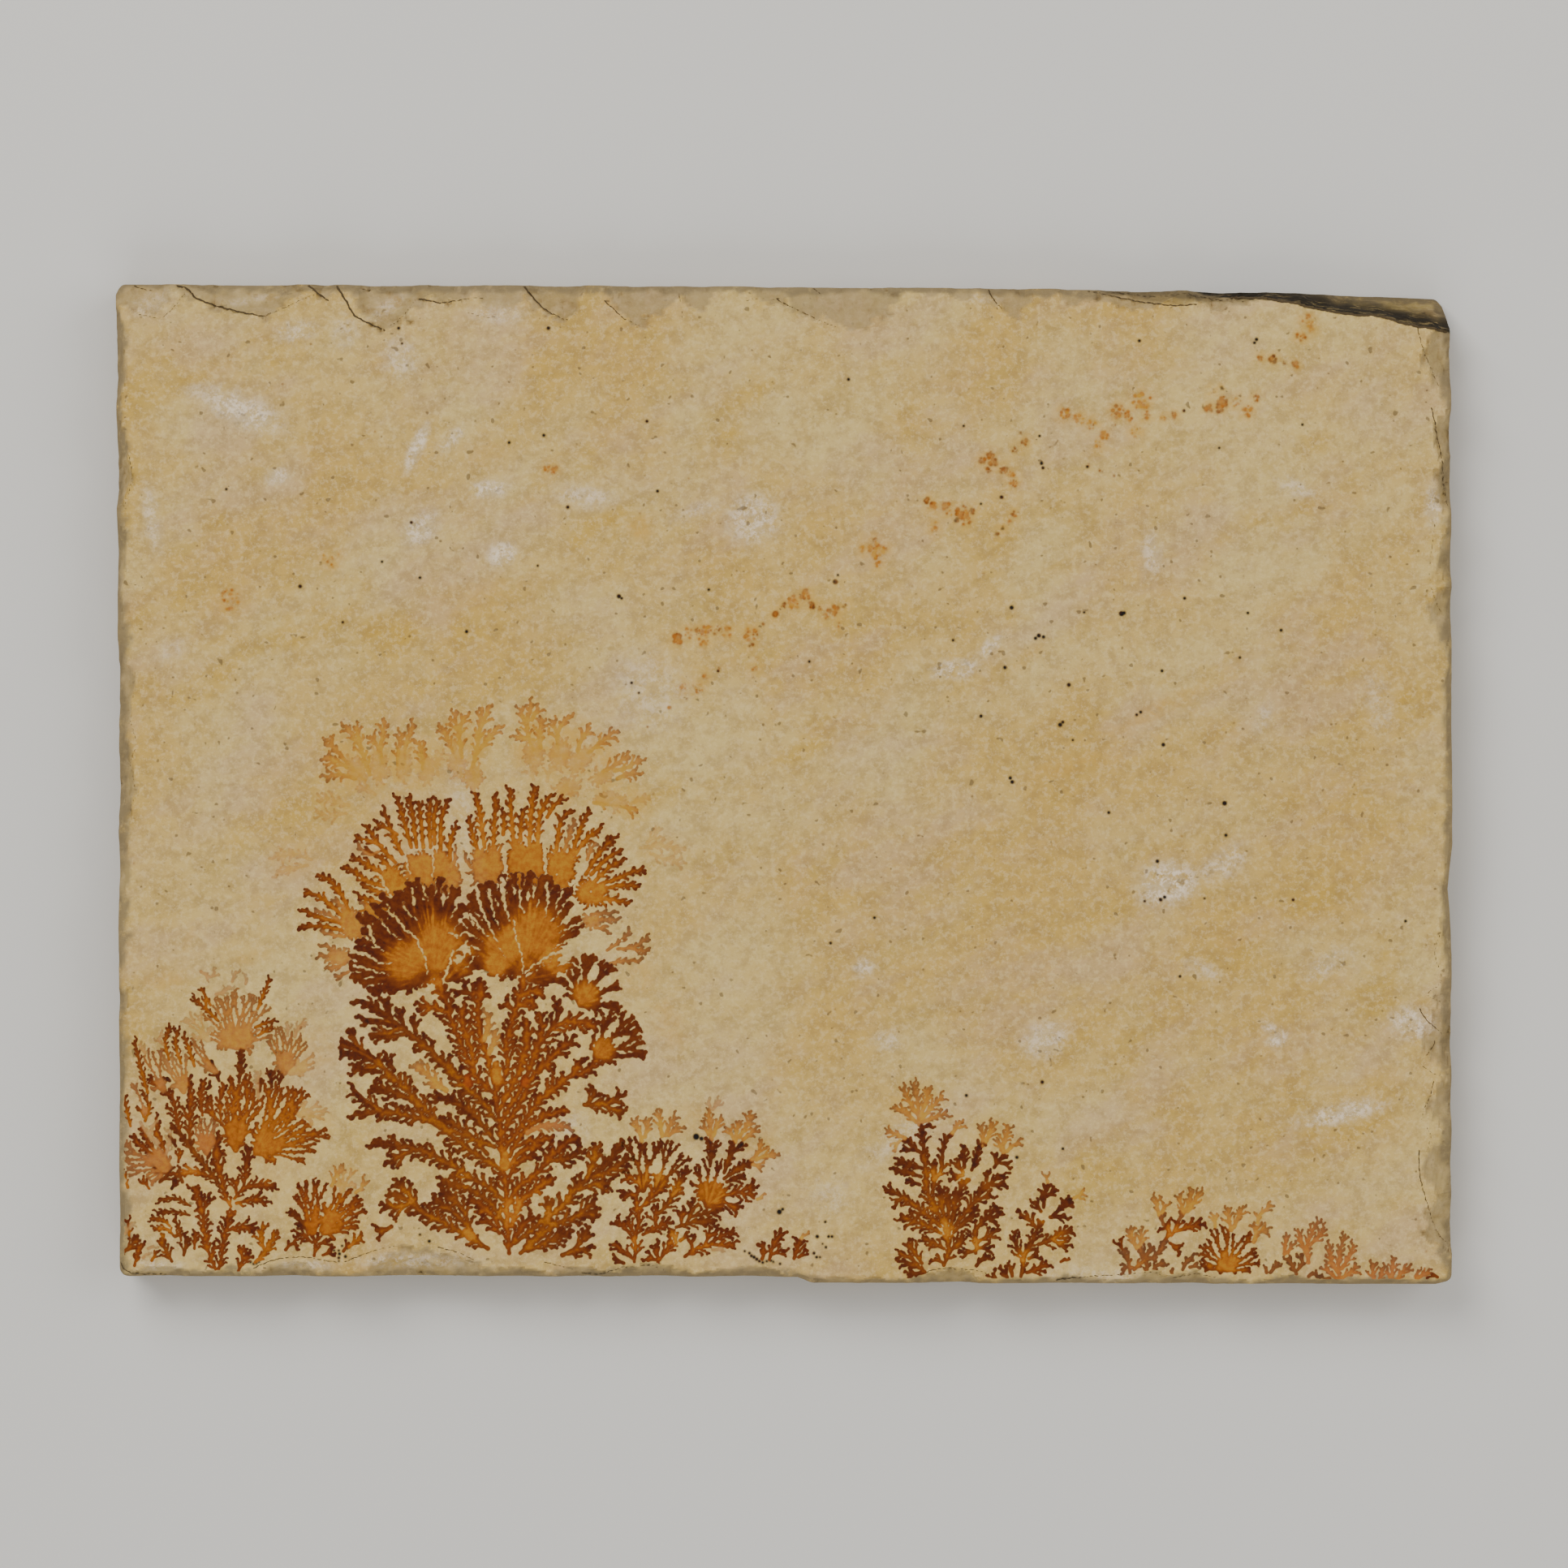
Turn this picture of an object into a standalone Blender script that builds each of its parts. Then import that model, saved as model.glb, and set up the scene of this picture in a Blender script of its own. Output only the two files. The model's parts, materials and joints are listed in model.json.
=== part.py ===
# Dendrite slab: one natural plate of platy limestone, lying on its back with the dendrite face up.
# Metres, +Z up. The origin is at the middle of the underside, +X runs along the long edge
# and +Y runs towards the edge that is the top one when the growths stand upright.

import math

import bmesh
import bpy
from mathutils import Vector, noise

MM = 0.001

# Driving dimensions, in millimetres
THICKNESS = 10.0
HALF_LENGTH = 100.5
HALF_WIDTH = 75.2
STATION_STEP = 2.7
UNDERSIDE_BEVEL = 0.8
EDGE_WEAR = 0.5
LEAST_HEIGHT = 0.6

# The broken outline as (x, y, corner radius), anticlockwise from the lower left
OUTLINE = [
    (-99.9, -74.0, 1.4),
    (2.0, -74.1, 1.0),
    (4.2, -75.0, 1.0),
    (98.0, -HALF_WIDTH, 0.0),
    (100.4, -74.6, 1.2),
    (100.4, -22.0, 0.0),
    (99.8, -15.6, 0.0),
    (HALF_LENGTH, -9.0, 0.0),
    (100.3, 68.0, 0.4),
    (99.7, 72.4, 0.0),
    (98.9, 73.6, 1.0),
    (72.0, 74.1, 0.0),
    (28.0, 74.6, 0.0),
    (-33.0, 75.0, 0.0),
    (-99.8, HALF_WIDTH, 1.2),
    (-HALF_LENGTH, 73.6, 1.0),
    (-100.1, 8.0, 0.0),
]
CORNER_STEPS = 3

# Spalls along the rim: (middle along the edge, half length, reach inwards, drop at the edge)
SPALLS = {
    "top": [
        (-94.9, 5.8, 5.2, 2.0),
        (-78.6, 11.4, 5.2, 3.0),
        (-69.5, 1.9, 2.7, 2.5),
        (-60.2, 7.0, 7.1, 3.5),
        (-50.4, 5.6, 3.0, 2.6),
        (-43.0, 4.4, 4.9, 1.2),
        (-33.0, 5.8, 5.6, 3.2),
        (-22.3, 6.8, 5.9, 2.4),
        (-12.2, 3.8, 3.7, 1.8),
        (-2.2, 4.3, 2.7, 2.4),
        (11.8, 12.0, 6.5, 2.2),
        (26.7, 3.4, 2.2, 1.6),
        (35.0, 4.9, 4.5, 2.4),
        (43.2, 4.6, 2.7, 2.0),
        (53.9, 8.5, 3.2, 4.5),
        (65.5, 7.9, 2.9, 5.0),
    ],
    "left": [
        (62.1, 8.8, 1.6, 3.0),
        (45.9, 7.1, 2.4, 4.0),
        (34.9, 6.1, 1.6, 2.5),
        (15.4, 9.5, 2.6, 3.5),
        (-0.5, 8.5, 2.7, 3.5),
        (-12.1, 6.1, 2.1, 2.5),
        (-32.0, 2.7, 1.5, 2.0),
        (-45.6, 9.8, 0.8, 1.5),
        (-65.0, 7.3, 0.8, 1.5),
    ],
    "right": [
        (64.1, 6.1, 4.6, 3.5),
        (53.2, 5.5, 2.9, 4.0),
        (44.0, 5.5, 3.2, 3.5),
        (33.0, 4.6, 2.2, 3.0),
        (26.3, 4.4, 3.9, 2.8),
        (8.0, 12.8, 0.9, 1.5),
        (-23.0, 6.1, 1.5, 1.8),
        (-32.2, 3.3, 2.9, 2.0),
        (-39.5, 5.9, 4.6, 3.0),
        (-48.9, 4.1, 4.1, 2.6),
        (-57.2, 5.1, 4.9, 2.4),
        (-67.0, 5.6, 4.6, 2.8),
    ],
    "bottom": [
        (-93.0, 5.5, 1.7, 2.0),
        (-73.5, 4.9, 2.4, 2.4),
        (-56.5, 12.0, 4.4, 3.0),
        (-40.0, 5.9, 1.5, 2.0),
        (-30.9, 5.1, 1.8, 2.2),
        (-19.0, 7.6, 2.1, 2.6),
        (-4.6, 7.3, 1.7, 2.2),
        (26.5, 5.6, 2.6, 3.0),
        (41.7, 9.1, 1.1, 1.5),
        (54.5, 3.7, 1.8, 2.0),
        (61.8, 4.3, 2.1, 2.2),
        (75.2, 6.7, 1.2, 1.5),
        (90.5, 8.5, 0.8, 1.0),
    ],
}
SPALL_ROUNDNESS = 2.2
SPALL_LIP = 0.35
SPALL_LIP_WIDTH = 0.12

# The slanting break across the upper right corner, from its line on the face outwards
BREAK_START = (70.4, 72.9)
BREAK_END = (100.2, 67.9)
BREAK_SLOPE = 1.8

# Rings of the skin: inset from the outline across the face, and share of the height down the side
FACE_RINGS = [0.0, 0.7, 1.6, 2.7, 4.0, 5.6, 7.6]
SIDE_RINGS = [0.0, 0.09, 0.34, 0.40, 0.66, 0.72]
LEDGE_DEPTH = 0.55
LEDGE_LENGTH = 13.0


def rounded_corner(before, corner, after, radius):
    """The corner's points: an arc tangent to both edges, or the corner itself where the radius is 0."""
    here = Vector(corner)
    if radius <= 0.0:
        return [here]
    back = (Vector(before) - here).normalized()
    ahead = (Vector(after) - here).normalized()
    opening = back.angle(ahead)
    reach = radius / math.tan(opening / 2)
    centre = here + (back + ahead).normalized() * radius / math.sin(opening / 2)
    start = here + back * reach - centre
    end = here + ahead * reach - centre
    turn = start.angle_signed(end)
    points = []
    for step in range(CORNER_STEPS + 1):
        angle = -turn * step / CORNER_STEPS
        x = start.x * math.cos(angle) - start.y * math.sin(angle)
        y = start.x * math.sin(angle) + start.y * math.cos(angle)
        points.append(centre + Vector((x, y)))
    return points


def stations():
    """Points round the outline, with every corner kept and the straight runs cut into even steps."""
    corners = []
    count = len(OUTLINE)
    for i, (x, y, radius) in enumerate(OUTLINE):
        before = OUTLINE[i - 1][:2]
        after = OUTLINE[(i + 1) % count][:2]
        corners += rounded_corner(before, (x, y), after, radius)
    points = []
    for i, here in enumerate(corners):
        there = corners[(i + 1) % len(corners)]
        steps = max(1, round((there - here).length / STATION_STEP))
        points += [here.lerp(there, step / steps) for step in range(steps)]
    return points


def outline_reach(side, along):
    """How far the outline reaches out on one side at a place along it, read between its corners."""
    axis = 0 if side in ("top", "bottom") else 1
    across = 1 - axis
    sign = 1.0 if side in ("top", "right") else -1.0
    reach = 0.0
    for i, corner in enumerate(OUTLINE):
        after = OUTLINE[(i + 1) % len(OUTLINE)]
        low, high = sorted((corner, after), key=lambda point: point[axis])
        if low[axis] <= along <= high[axis] and high[axis] > low[axis]:
            share = (along - low[axis]) / (high[axis] - low[axis])
            reach = max(reach, sign * (low[across] + share * (high[across] - low[across])))
    return reach


def spall_drop(side, along, inward):
    """How far the rim's spalls on one side lower the face: a short steep lip, then an even fall outwards."""
    deepest = 0.0
    for middle, half, reach, drop in SPALLS[side]:
        inside = 1.0 - abs((along - middle) / half) ** SPALL_ROUNDNESS - inward / reach
        if inside > 0.0:
            lip = SPALL_LIP * min(1.0, inside / SPALL_LIP_WIDTH)
            deepest = max(deepest, lip + (drop - SPALL_LIP) * inside)
    return deepest


def corner_break_drop(x, y):
    """How far the slanting break lowers the face, growing evenly with the distance beyond its line."""
    start, end = Vector(BREAK_START), Vector(BREAK_END)
    along = (end - start).normalized()
    outwards = Vector((-along.y, along.x))
    return BREAK_SLOPE * max(0.0, (Vector((x, y)) - start).dot(outwards))


def face_height(x, y):
    """The height of the dendrite face at a point: the bedding plane, less its deepest break there."""
    inward = {
        "top": outline_reach("top", x) - y,
        "bottom": outline_reach("bottom", x) + y,
        "right": outline_reach("right", y) - x,
        "left": outline_reach("left", y) + x,
    }
    drop = corner_break_drop(x, y)
    for side, distance in inward.items():
        along = x if side in ("top", "bottom") else y
        distance = max(0.0, distance)
        drop = max(drop, spall_drop(side, along, distance), EDGE_WEAR - distance)
    return max(LEAST_HEIGHT, THICKNESS - drop)


def inset_point(point, inset):
    """The point moved inwards by the inset on both axes, so that every ring keeps the outline's shape."""
    return Vector((point.x * (1 - inset / HALF_LENGTH), point.y * (1 - inset / HALF_WIDTH)))


def ledge_inset(point, layer):
    """How far one bedding layer stands back from the outline: smooth noise along the edge."""
    wave = noise.noise(Vector((point.x / LEDGE_LENGTH, point.y / LEDGE_LENGTH, 7.3 * layer)))
    return LEDGE_DEPTH * min(1.0, max(0.0, 0.5 + wave))


def slab_rings():
    """Every ring of the skin, from the underside's rim up the side and across the face."""
    around = stations()
    rings = []
    for level, share in enumerate(SIDE_RINGS):
        ring = []
        for point in around:
            inset = UNDERSIDE_BEVEL if level == 0 else ledge_inset(point, level // 2)
            spot = inset_point(point, inset)
            ring.append((spot.x, spot.y, share * face_height(point.x, point.y)))
        rings.append(ring)
    for inset in FACE_RINGS:
        ring = []
        for point in around:
            spot = inset_point(point, inset)
            ring.append((spot.x, spot.y, face_height(spot.x, spot.y)))
        rings.append(ring)
    rings[-1] = [(x, y, THICKNESS) for x, y, _ in rings[-1]]
    return rings


def limestone_material():
    """Fine platy limestone, split along its bedding: matt, warm cream to yellow-beige."""
    material = bpy.data.materials.new("split_platy_limestone")
    material.use_nodes = True
    shader = material.node_tree.nodes["Principled BSDF"]
    shader.inputs["Base Color"].default_value = (0.47, 0.38, 0.21, 1.0)
    shader.inputs["Roughness"].default_value = 0.85
    shader.inputs["Metallic"].default_value = 0.0
    return material


def build_slab():
    """The slab: rings joined by quads, with a flat cap on the underside and one on the face."""
    mesh_builder = bmesh.new()
    rings = [
        [mesh_builder.verts.new(Vector(place) * MM) for place in ring] for ring in slab_rings()
    ]
    count = len(rings[0])
    for lower, upper in zip(rings, rings[1:]):
        for i in range(count):
            after = (i + 1) % count
            mesh_builder.faces.new((lower[i], lower[after], upper[after], upper[i]))
    mesh_builder.faces.new(list(reversed(rings[0])))
    mesh_builder.faces.new(rings[-1])
    bmesh.ops.recalc_face_normals(mesh_builder, faces=mesh_builder.faces)
    bmesh.ops.triangulate(mesh_builder, faces=mesh_builder.faces)
    mesh = bpy.data.meshes.new("limestone_slab")
    mesh_builder.to_mesh(mesh)
    mesh_builder.free()
    mesh.materials.append(limestone_material())
    slab = bpy.data.objects.new("limestone_slab", mesh)
    bpy.context.scene.collection.objects.link(slab)
    return slab


def main():
    for old in list(bpy.data.objects):
        bpy.data.objects.remove(old, do_unlink=True)
    build_slab()


main()
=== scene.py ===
# Dendrite slab: one plate of platy limestone with branching oxide stains on its face.
# Metres in the meshes, millimetres in the named sizes. The plate lies on its back, face up; +X runs
# along the long edge, and +Y towards the edge that is the top one when the growths stand upright.

import json
import math

import bpy
import numpy as np
from bpy.props import FloatProperty, FloatVectorProperty
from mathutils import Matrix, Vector

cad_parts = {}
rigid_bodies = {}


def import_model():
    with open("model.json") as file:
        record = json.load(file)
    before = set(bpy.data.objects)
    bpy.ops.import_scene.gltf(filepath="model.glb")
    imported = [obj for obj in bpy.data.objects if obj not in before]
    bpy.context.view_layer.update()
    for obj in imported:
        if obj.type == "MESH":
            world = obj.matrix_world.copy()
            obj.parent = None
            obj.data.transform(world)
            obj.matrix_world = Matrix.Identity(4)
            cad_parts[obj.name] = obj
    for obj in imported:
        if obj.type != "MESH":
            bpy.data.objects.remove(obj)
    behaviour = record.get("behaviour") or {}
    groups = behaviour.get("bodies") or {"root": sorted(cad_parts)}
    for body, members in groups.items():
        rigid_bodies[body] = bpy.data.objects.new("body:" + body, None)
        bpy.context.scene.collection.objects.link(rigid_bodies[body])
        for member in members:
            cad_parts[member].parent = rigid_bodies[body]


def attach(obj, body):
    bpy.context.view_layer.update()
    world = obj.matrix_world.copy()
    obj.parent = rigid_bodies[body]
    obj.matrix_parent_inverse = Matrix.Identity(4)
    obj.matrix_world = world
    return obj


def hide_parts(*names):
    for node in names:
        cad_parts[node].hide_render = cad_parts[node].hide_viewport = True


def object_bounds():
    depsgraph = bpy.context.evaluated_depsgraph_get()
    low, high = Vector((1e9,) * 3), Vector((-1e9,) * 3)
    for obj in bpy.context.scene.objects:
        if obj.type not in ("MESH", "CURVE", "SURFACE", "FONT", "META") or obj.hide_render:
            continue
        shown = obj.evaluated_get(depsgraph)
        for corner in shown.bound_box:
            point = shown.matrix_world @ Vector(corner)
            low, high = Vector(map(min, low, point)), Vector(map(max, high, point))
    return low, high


bl_info = {
    "name": "Dendrite slab",
    "version": (1, 0, 0),
    "blender": (4, 5, 0),
    "location": "3D View > Sidebar > Dendrite slab",
    "description": "A limestone plate with oxide dendrites, built around its packed frame",
    "category": "Object",
}

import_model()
CAD_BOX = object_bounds()
MM = 0.001

# The plate, in millimetres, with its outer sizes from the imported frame

THICKNESS = round(CAD_BOX[1][2] / MM, 1)
HALF_LENGTH = round(CAD_BOX[1][0] / MM, 1)
HALF_WIDTH = round(-CAD_BOX[0][1] / MM, 1)
EDGE_WEAR = 0.45
LEAST_HEIGHT = 0.6
UNDERSIDE_BEVEL = 0.8
FACE_LEVEL = 9.90
SIDE_LAYERS = 8
LEDGE_DEPTH = 0.5
UNDERSIDE_RINGS = (3.0, 9.0, 24.0)

# The broken outline as (x, y, corner radius), anticlockwise from the lower left
OUTLINE = [
    (-99.9, -74.0, 1.4),
    (2.0, -74.1, 1.0),
    (4.2, -75.0, 1.0),
    (98.0, -HALF_WIDTH, 0.0),
    (100.4, -74.6, 1.2),
    (100.4, -22.0, 0.0),
    (99.8, -15.6, 0.0),
    (HALF_LENGTH, -9.0, 0.0),
    (100.3, 68.0, 0.4),
    (99.7, 72.4, 0.0),
    (98.9, 73.6, 1.0),
    (72.0, 74.1, 0.0),
    (28.0, 74.6, 0.0),
    (-33.0, 75.0, 0.0),
    (-99.8, HALF_WIDTH, 1.2),
    (-HALF_LENGTH, 73.6, 1.0),
    (-100.1, 8.0, 0.0),
]

# Spalls along the rim: (middle along the edge, half length, reach inwards, drop at the edge)
SPALLS = {
    "top": [
        (-94.9, 5.8, 5.2, 2.0), (-78.6, 11.4, 5.2, 3.0), (-69.5, 1.9, 2.7, 2.5), (-60.2, 7.0, 7.1, 3.5),
        (-50.4, 5.6, 3.0, 2.6), (-43.0, 4.4, 4.9, 1.2), (-33.0, 5.8, 5.6, 3.2), (-22.3, 6.8, 5.9, 2.4),
        (-12.2, 3.8, 3.7, 1.8), (-2.2, 4.3, 2.7, 2.4), (11.8, 12.0, 6.5, 2.2), (26.7, 3.4, 2.2, 1.6),
        (35.0, 4.9, 4.5, 2.4), (43.2, 4.6, 2.7, 2.0), (53.9, 8.5, 3.2, 4.5), (65.5, 7.9, 2.9, 5.0),
    ],
    "left": [
        (62.1, 8.8, 1.6, 3.0), (45.9, 7.1, 2.4, 4.0), (34.9, 6.1, 1.6, 2.5), (15.4, 9.5, 2.6, 3.5),
        (-0.5, 8.5, 2.7, 3.5), (-12.1, 6.1, 2.1, 2.5), (-32.0, 2.7, 1.5, 2.0), (-45.6, 9.8, 0.8, 1.5),
        (-65.0, 7.3, 0.8, 1.5),
    ],
    "right": [
        (64.1, 6.1, 4.6, 3.5), (53.2, 5.5, 2.9, 4.0), (44.0, 5.5, 3.2, 3.5), (33.0, 4.6, 2.2, 3.0),
        (26.3, 4.4, 3.9, 2.8), (8.0, 12.8, 0.9, 1.5), (-23.0, 6.1, 1.5, 1.8), (-32.2, 3.3, 2.9, 2.0),
        (-39.5, 5.9, 4.6, 3.0), (-48.9, 4.1, 4.1, 2.6), (-57.2, 5.1, 4.9, 2.4), (-67.0, 5.6, 4.6, 2.8),
    ],
    "bottom": [
        (-93.0, 5.5, 1.7, 2.0), (-73.5, 4.9, 2.4, 2.4), (-56.5, 12.0, 4.4, 3.0), (-40.0, 5.9, 1.5, 2.0),
        (-30.9, 5.1, 1.8, 2.2), (-19.0, 7.6, 2.1, 2.6), (-4.6, 7.3, 1.7, 2.2), (26.5, 5.6, 2.6, 3.0),
        (41.7, 9.1, 1.1, 1.5), (54.5, 3.7, 1.8, 2.0), (61.8, 4.3, 2.1, 2.2), (75.2, 6.7, 1.2, 1.5),
        (90.5, 8.5, 0.8, 1.0),
    ],
}
SPALL_ROUNDNESS = 1.45
SPALL_LIP = 0.35
SPALL_LIP_WIDTH = 0.12

# The slanting break across the upper right corner, from its line on the face outwards
BREAK_START = (70.4, 72.9)
BREAK_END = (100.2, 67.9)
BREAK_SLOPE = 1.8
# How far beyond the break's line its line of painted shadow lies
BREAK_SHADOW_OFFSET = 0.12

# The wedge of broken stone along the top edge before it, under part of the painted shade: (x, y) of its
# lower line
WEDGE = [
    (37.0, 76.5), (42.0, 75.2), (50.0, 73.6), (55.0, 72.5), (59.0, 71.8), (66.0, 72.5), (70.0, 72.7),
    (74.0, 74.5),
]

# How wide the strip of painted shade along each edge is, for the worn edge turned from the light
EDGE_SHADE_STRIPS = {"left": 1.7, "right": 1.7, "top": 1.3, "bottom": 1.2}

# Lines of painted shadow where flakes have come off the rim: width at the start, at the end, and the line's
# points as x, y, x, y ...
RIM_LIP_SHADOWS = [
    (0.3, 0.18, (-91.5, 75.1, -89.5, 74.3, -88.6, 73.2, -86.3, 72.2, -82.7, 71.2, -78.4, 70.3)),
    (0.13, 0.11, (-78.4, 70.3, -74.8, 71.7, -72.5, 72.8, -70.6, 73.5)),
    (0.3, 0.18, (-71.5, 75, -70.2, 73.9, -68.4, 72.6)),
    (0.33, 0.2, (-67.3, 75, -66.2, 73.2, -65.7, 72.4, -64.9, 70.9, -64.1, 70.1, -62.1, 69.1,
     -59.9, 68.2)), (0.12, 0.1, (-59.2, 68.9, -57.2, 70.4, -55.4, 72.9)),
    (0.24, 0.1, (-54.9, 73, -53.6, 72.7, -51.5, 72.3, -49.6, 72.6, -47, 73, -45, 73.1)),
    (0.3, 0.11, (-39.2, 75, -38.6, 74.2, -37.5, 72.9, -36, 71.4, -33.8, 70.2, -32.4, 69.7)),
    (0.12, 0.1, (-47.5, 70.8, -45, 70.2, -43, 70.2, -40.5, 70)),
    (0.18, 0.1, (-27, 72.6, -25.4, 71.2, -24.1, 70, -21.5, 68.8)),
    (0.12, 0.1, (-15.8, 73.8, -15.5, 71.9, -15.3, 70)),
    (0.12, 0.1, (-97.5, 70.7, -95.6, 70.3, -93.5, 70.1, -91.4, 72, -90, 73.8)),
    (0.15, 0.1, (-1, 72.9, 0.5, 72, 3.5, 70.6, 5.5, 69.6, 8, 68.6)),
    (0.18, 0.11, (4, 75, 4.8, 74.3, 5.5, 73.8)),
    (0.24, 0.11, (30.5, 74.9, 31.2, 73.4, 32, 72.2, 32.9, 71.2)),
    (0.18, 0.11, (-97.8, 75, -96.5, 74.5, -95, 74.3)),
    (0.12, 0.1, (-6, 72.6, -3.8, 73, -2, 72.8, -0.4, 73.2)),
    (0.12, 0.21, (40, 74.6, 45, 74.3, 50, 73.4, 55, 72.4, 58.4, 71.9, 62, 72.1)),
    (0.18, 0.11, (61, 73.6, 66, 72.9, 69.6, 72.6)), (0.18, 0.1, (47, 74.6, 52, 73.9, 57, 73.5, 61, 73.8)),
    (0.15, 0.11, (95.2, 68.4, 96, 65.5, 96.8, 63.7, 98.5, 59.5)),
    (0.18, 0.14, (97.3, 56.5, 98.2, 52.5, 99, 48, 99.9, 41.8)),
    (0.12, 0.1, (97.8, 39, 97, 31.5, 98, 27.5, 99.2, 25.4)),
    (0.12, 0.1, (98.6, -22.4, 97.8, -25.5, 98.8, -29.5, 96.7, -31.6, 99, -32.8)),
    (0.18, 0.11, (95.5, -33.8, 96.6, -35.5, 98.4, -37, 99, -37.8)),
    (0.18, 0.11, (98.2, -38.2, 97.6, -39.6, 96.4, -40.8)),
    (0.12, 0.1, (96, -42.4, 97.6, -43.5, 99.2, -44.1)),
    (0.15, 0.11, (97.6, -44.6, 97, -47.2, 96.1, -49, 95.9, -50.5)),
    (0.12, 0.1, (96.5, -51.5, 97.2, -53, 96.6, -55.2)),
    (0.18, 0.11, (95.4, -55, 95.6, -59, 96.8, -63.5, 98.2, -67.2, 99.7, -69)),
    (0.12, 0.1, (-98.6, 50, -98, 47, -98.4, 44, -99.2, 41.6)),
    (0.12, 0.1, (-99.4, 30.2, -97.6, 30, -96.2, 29.4)),
    (0.12, 0.1, (-98.2, 9.5, -97.4, 6, -98.2, 3, -97.6, -1, -98.4, -4.5)),
    (0.16, 0.13, (-79.8, -72.8, -77.5, -71.8, -75, -71.2, -72, -71.1, -69.5, -71.5, -67, -71.9)),
    (0.15, 0.11, (-66, -71.8, -63.5, -70.8, -60.8, -69.9, -58, -69.4)),
    (0.16, 0.11, (-52, -69.6, -49, -70.4, -46.5, -71.6)),
    (0.18, 0.13, (-100, -71, -99.4, -72.6, -97.5, -73.6, -93, -73.8)),
    (0.15, 0.11, (-36, -71.8, -33, -72.6, -31, -72.8)),
    (0.16, 0.11, (-30.5, -73.6, -28, -73.8, -25.5, -73, -23, -72.6, -20, -72.4, -18, -73.2)),
    (0.15, 0.11, (21, -73.5, 23, -72.9, 26, -72.9, 29.5, -73.2, 31.4, -74.3)),
    (0.16, 0.11, (41, -74.6, 44, -74.2, 47, -73.9, 51, -73.7, 55, -73.4, 57, -73.9)),
    (0.13, 0.11, (58.4, -74.4, 60.2, -73.9, 62.4, -73.7, 65, -74.2)),
]

# White calcite-like patches on the face: x, y, half length, half width, turn in degrees, strength
PALE_PATCHES = [
    (-81.5, 56.2, 6, 2.2, -24, 0.9), (-86, 58.6, 4, 1.2, -10, 0.5), (-55.2, 50.6, 3.6, 0.9, 66, 1),
    (-49.8, 52, 3.2, 0.9, 40, 0.6), (-44.3, 44.3, 2.6, 1.2, 5, 1), (-76, 46.2, 1.8, 1.2, 10, 0.7),
    (-42.4, 34.5, 2, 1.6, 20, 1), (-54.6, 38.3, 3, 1.8, 40, 0.8), (-30, 43.2, 4.2, 1.4, -4, 0.6),
    (-4.6, 39.8, 3.6, 3.4, 0, 0.8), (-57.7, 64, 2.6, 3, 20, 0.5), (-73.5, 68, 3, 1.6, 10, 0.5),
    (-13, 41, 4, 1, 20, 0.45), (57.6, -15, 4.4, 3, 10, 1), (66, -12, 4, 2, 30, 0.6),
    (39.3, -38.3, 3.6, 2.6, 20, 0.6), (74.2, -38.4, 1.4, 1, 30, 1), (73, -36.5, 1.6, 0.9, -40, 0.7),
    (94.6, -36, 2.2, 3.4, 80, 0.9), (83.5, -49.5, 6.6, 1.4, 12, 0.9), (55.4, 34.6, 1.6, 3, 10, 0.6),
    (77, 44.6, 2.6, 1, -20, 0.6), (25.9, 17.3, 3.4, 1.3, 8, 0.9), (30.9, 20.6, 2.2, 0.9, 40, 0.8),
    (63, -28, 3, 1, -25, 0.5), (82, -27, 4, 1.6, 30, 0.5), (12, -27.5, 1.4, 1.2, 0, 0.8),
    (-55.2, -71.7, 8, 1.2, 0, 0.7), (-72, -72.4, 4, 0.8, 0, 0.5), (-94, -72.4, 3.6, 0.9, 0, 0.5),
    (15.6, -38.5, 2.4, 1.2, 0, 0.5), (97.6, 42, 1.2, 3, 0, 0.7), (72, 10, 2.6, 1, 70, 0.4),
    (89.5, 12, 2, 4.6, 10, 0.35), (-95, 40, 1.2, 5, 10, 0.5), (-92, 20, 2.6, 1.4, 30, 0.3),
    (19, -52, 9, 1.8, 35, 0.35), (-32, -52, 2.6, 2.6, 0, 0.35), (46, -75, 8, 3, 0, 0.35),
    (-20, 14, 5, 6, 30, 0.35), (-48.5, -4, 2, 8, 0, 0.3), (7, -62, 3, 3, 0, 0.3),
    (-95, 72.6, 3.4, 1.8, 20, 0.5), (-80, 72.9, 5, 0.7, 10, 0.5), (-59.6, 71.8, 3.2, 1.4, 35, 0.6),
    (-43, 70.8, 3.8, 1.6, 0, 0.5), (-66, 68, 2, 2.4, 0, 0.35), (30, 73, 3, 0.8, 0, 0.4),
]

# Stone bleached to cream round the growths, as soft ellipses like the patches
HALOS = [
    (-42, -42, 26, 30, 0, 0.9), (-84, -58, 20, 18, 0, 0.9), (-2, -60, 26, 14, 0, 0.8),
    (26, -60, 16, 18, 0, 0.7), (62, -70, 32, 9, 0, 0.7), (-45, -2, 22, 12, 0, 0.5),
    (-90, -20, 10, 18, 0, 0.5), (-28, 8, 22, 7, 25, 0.5), (8, 28, 22, 5, 25, 0.4),
    (60, 55, 30, 7, 12, 0.35),
]

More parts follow.
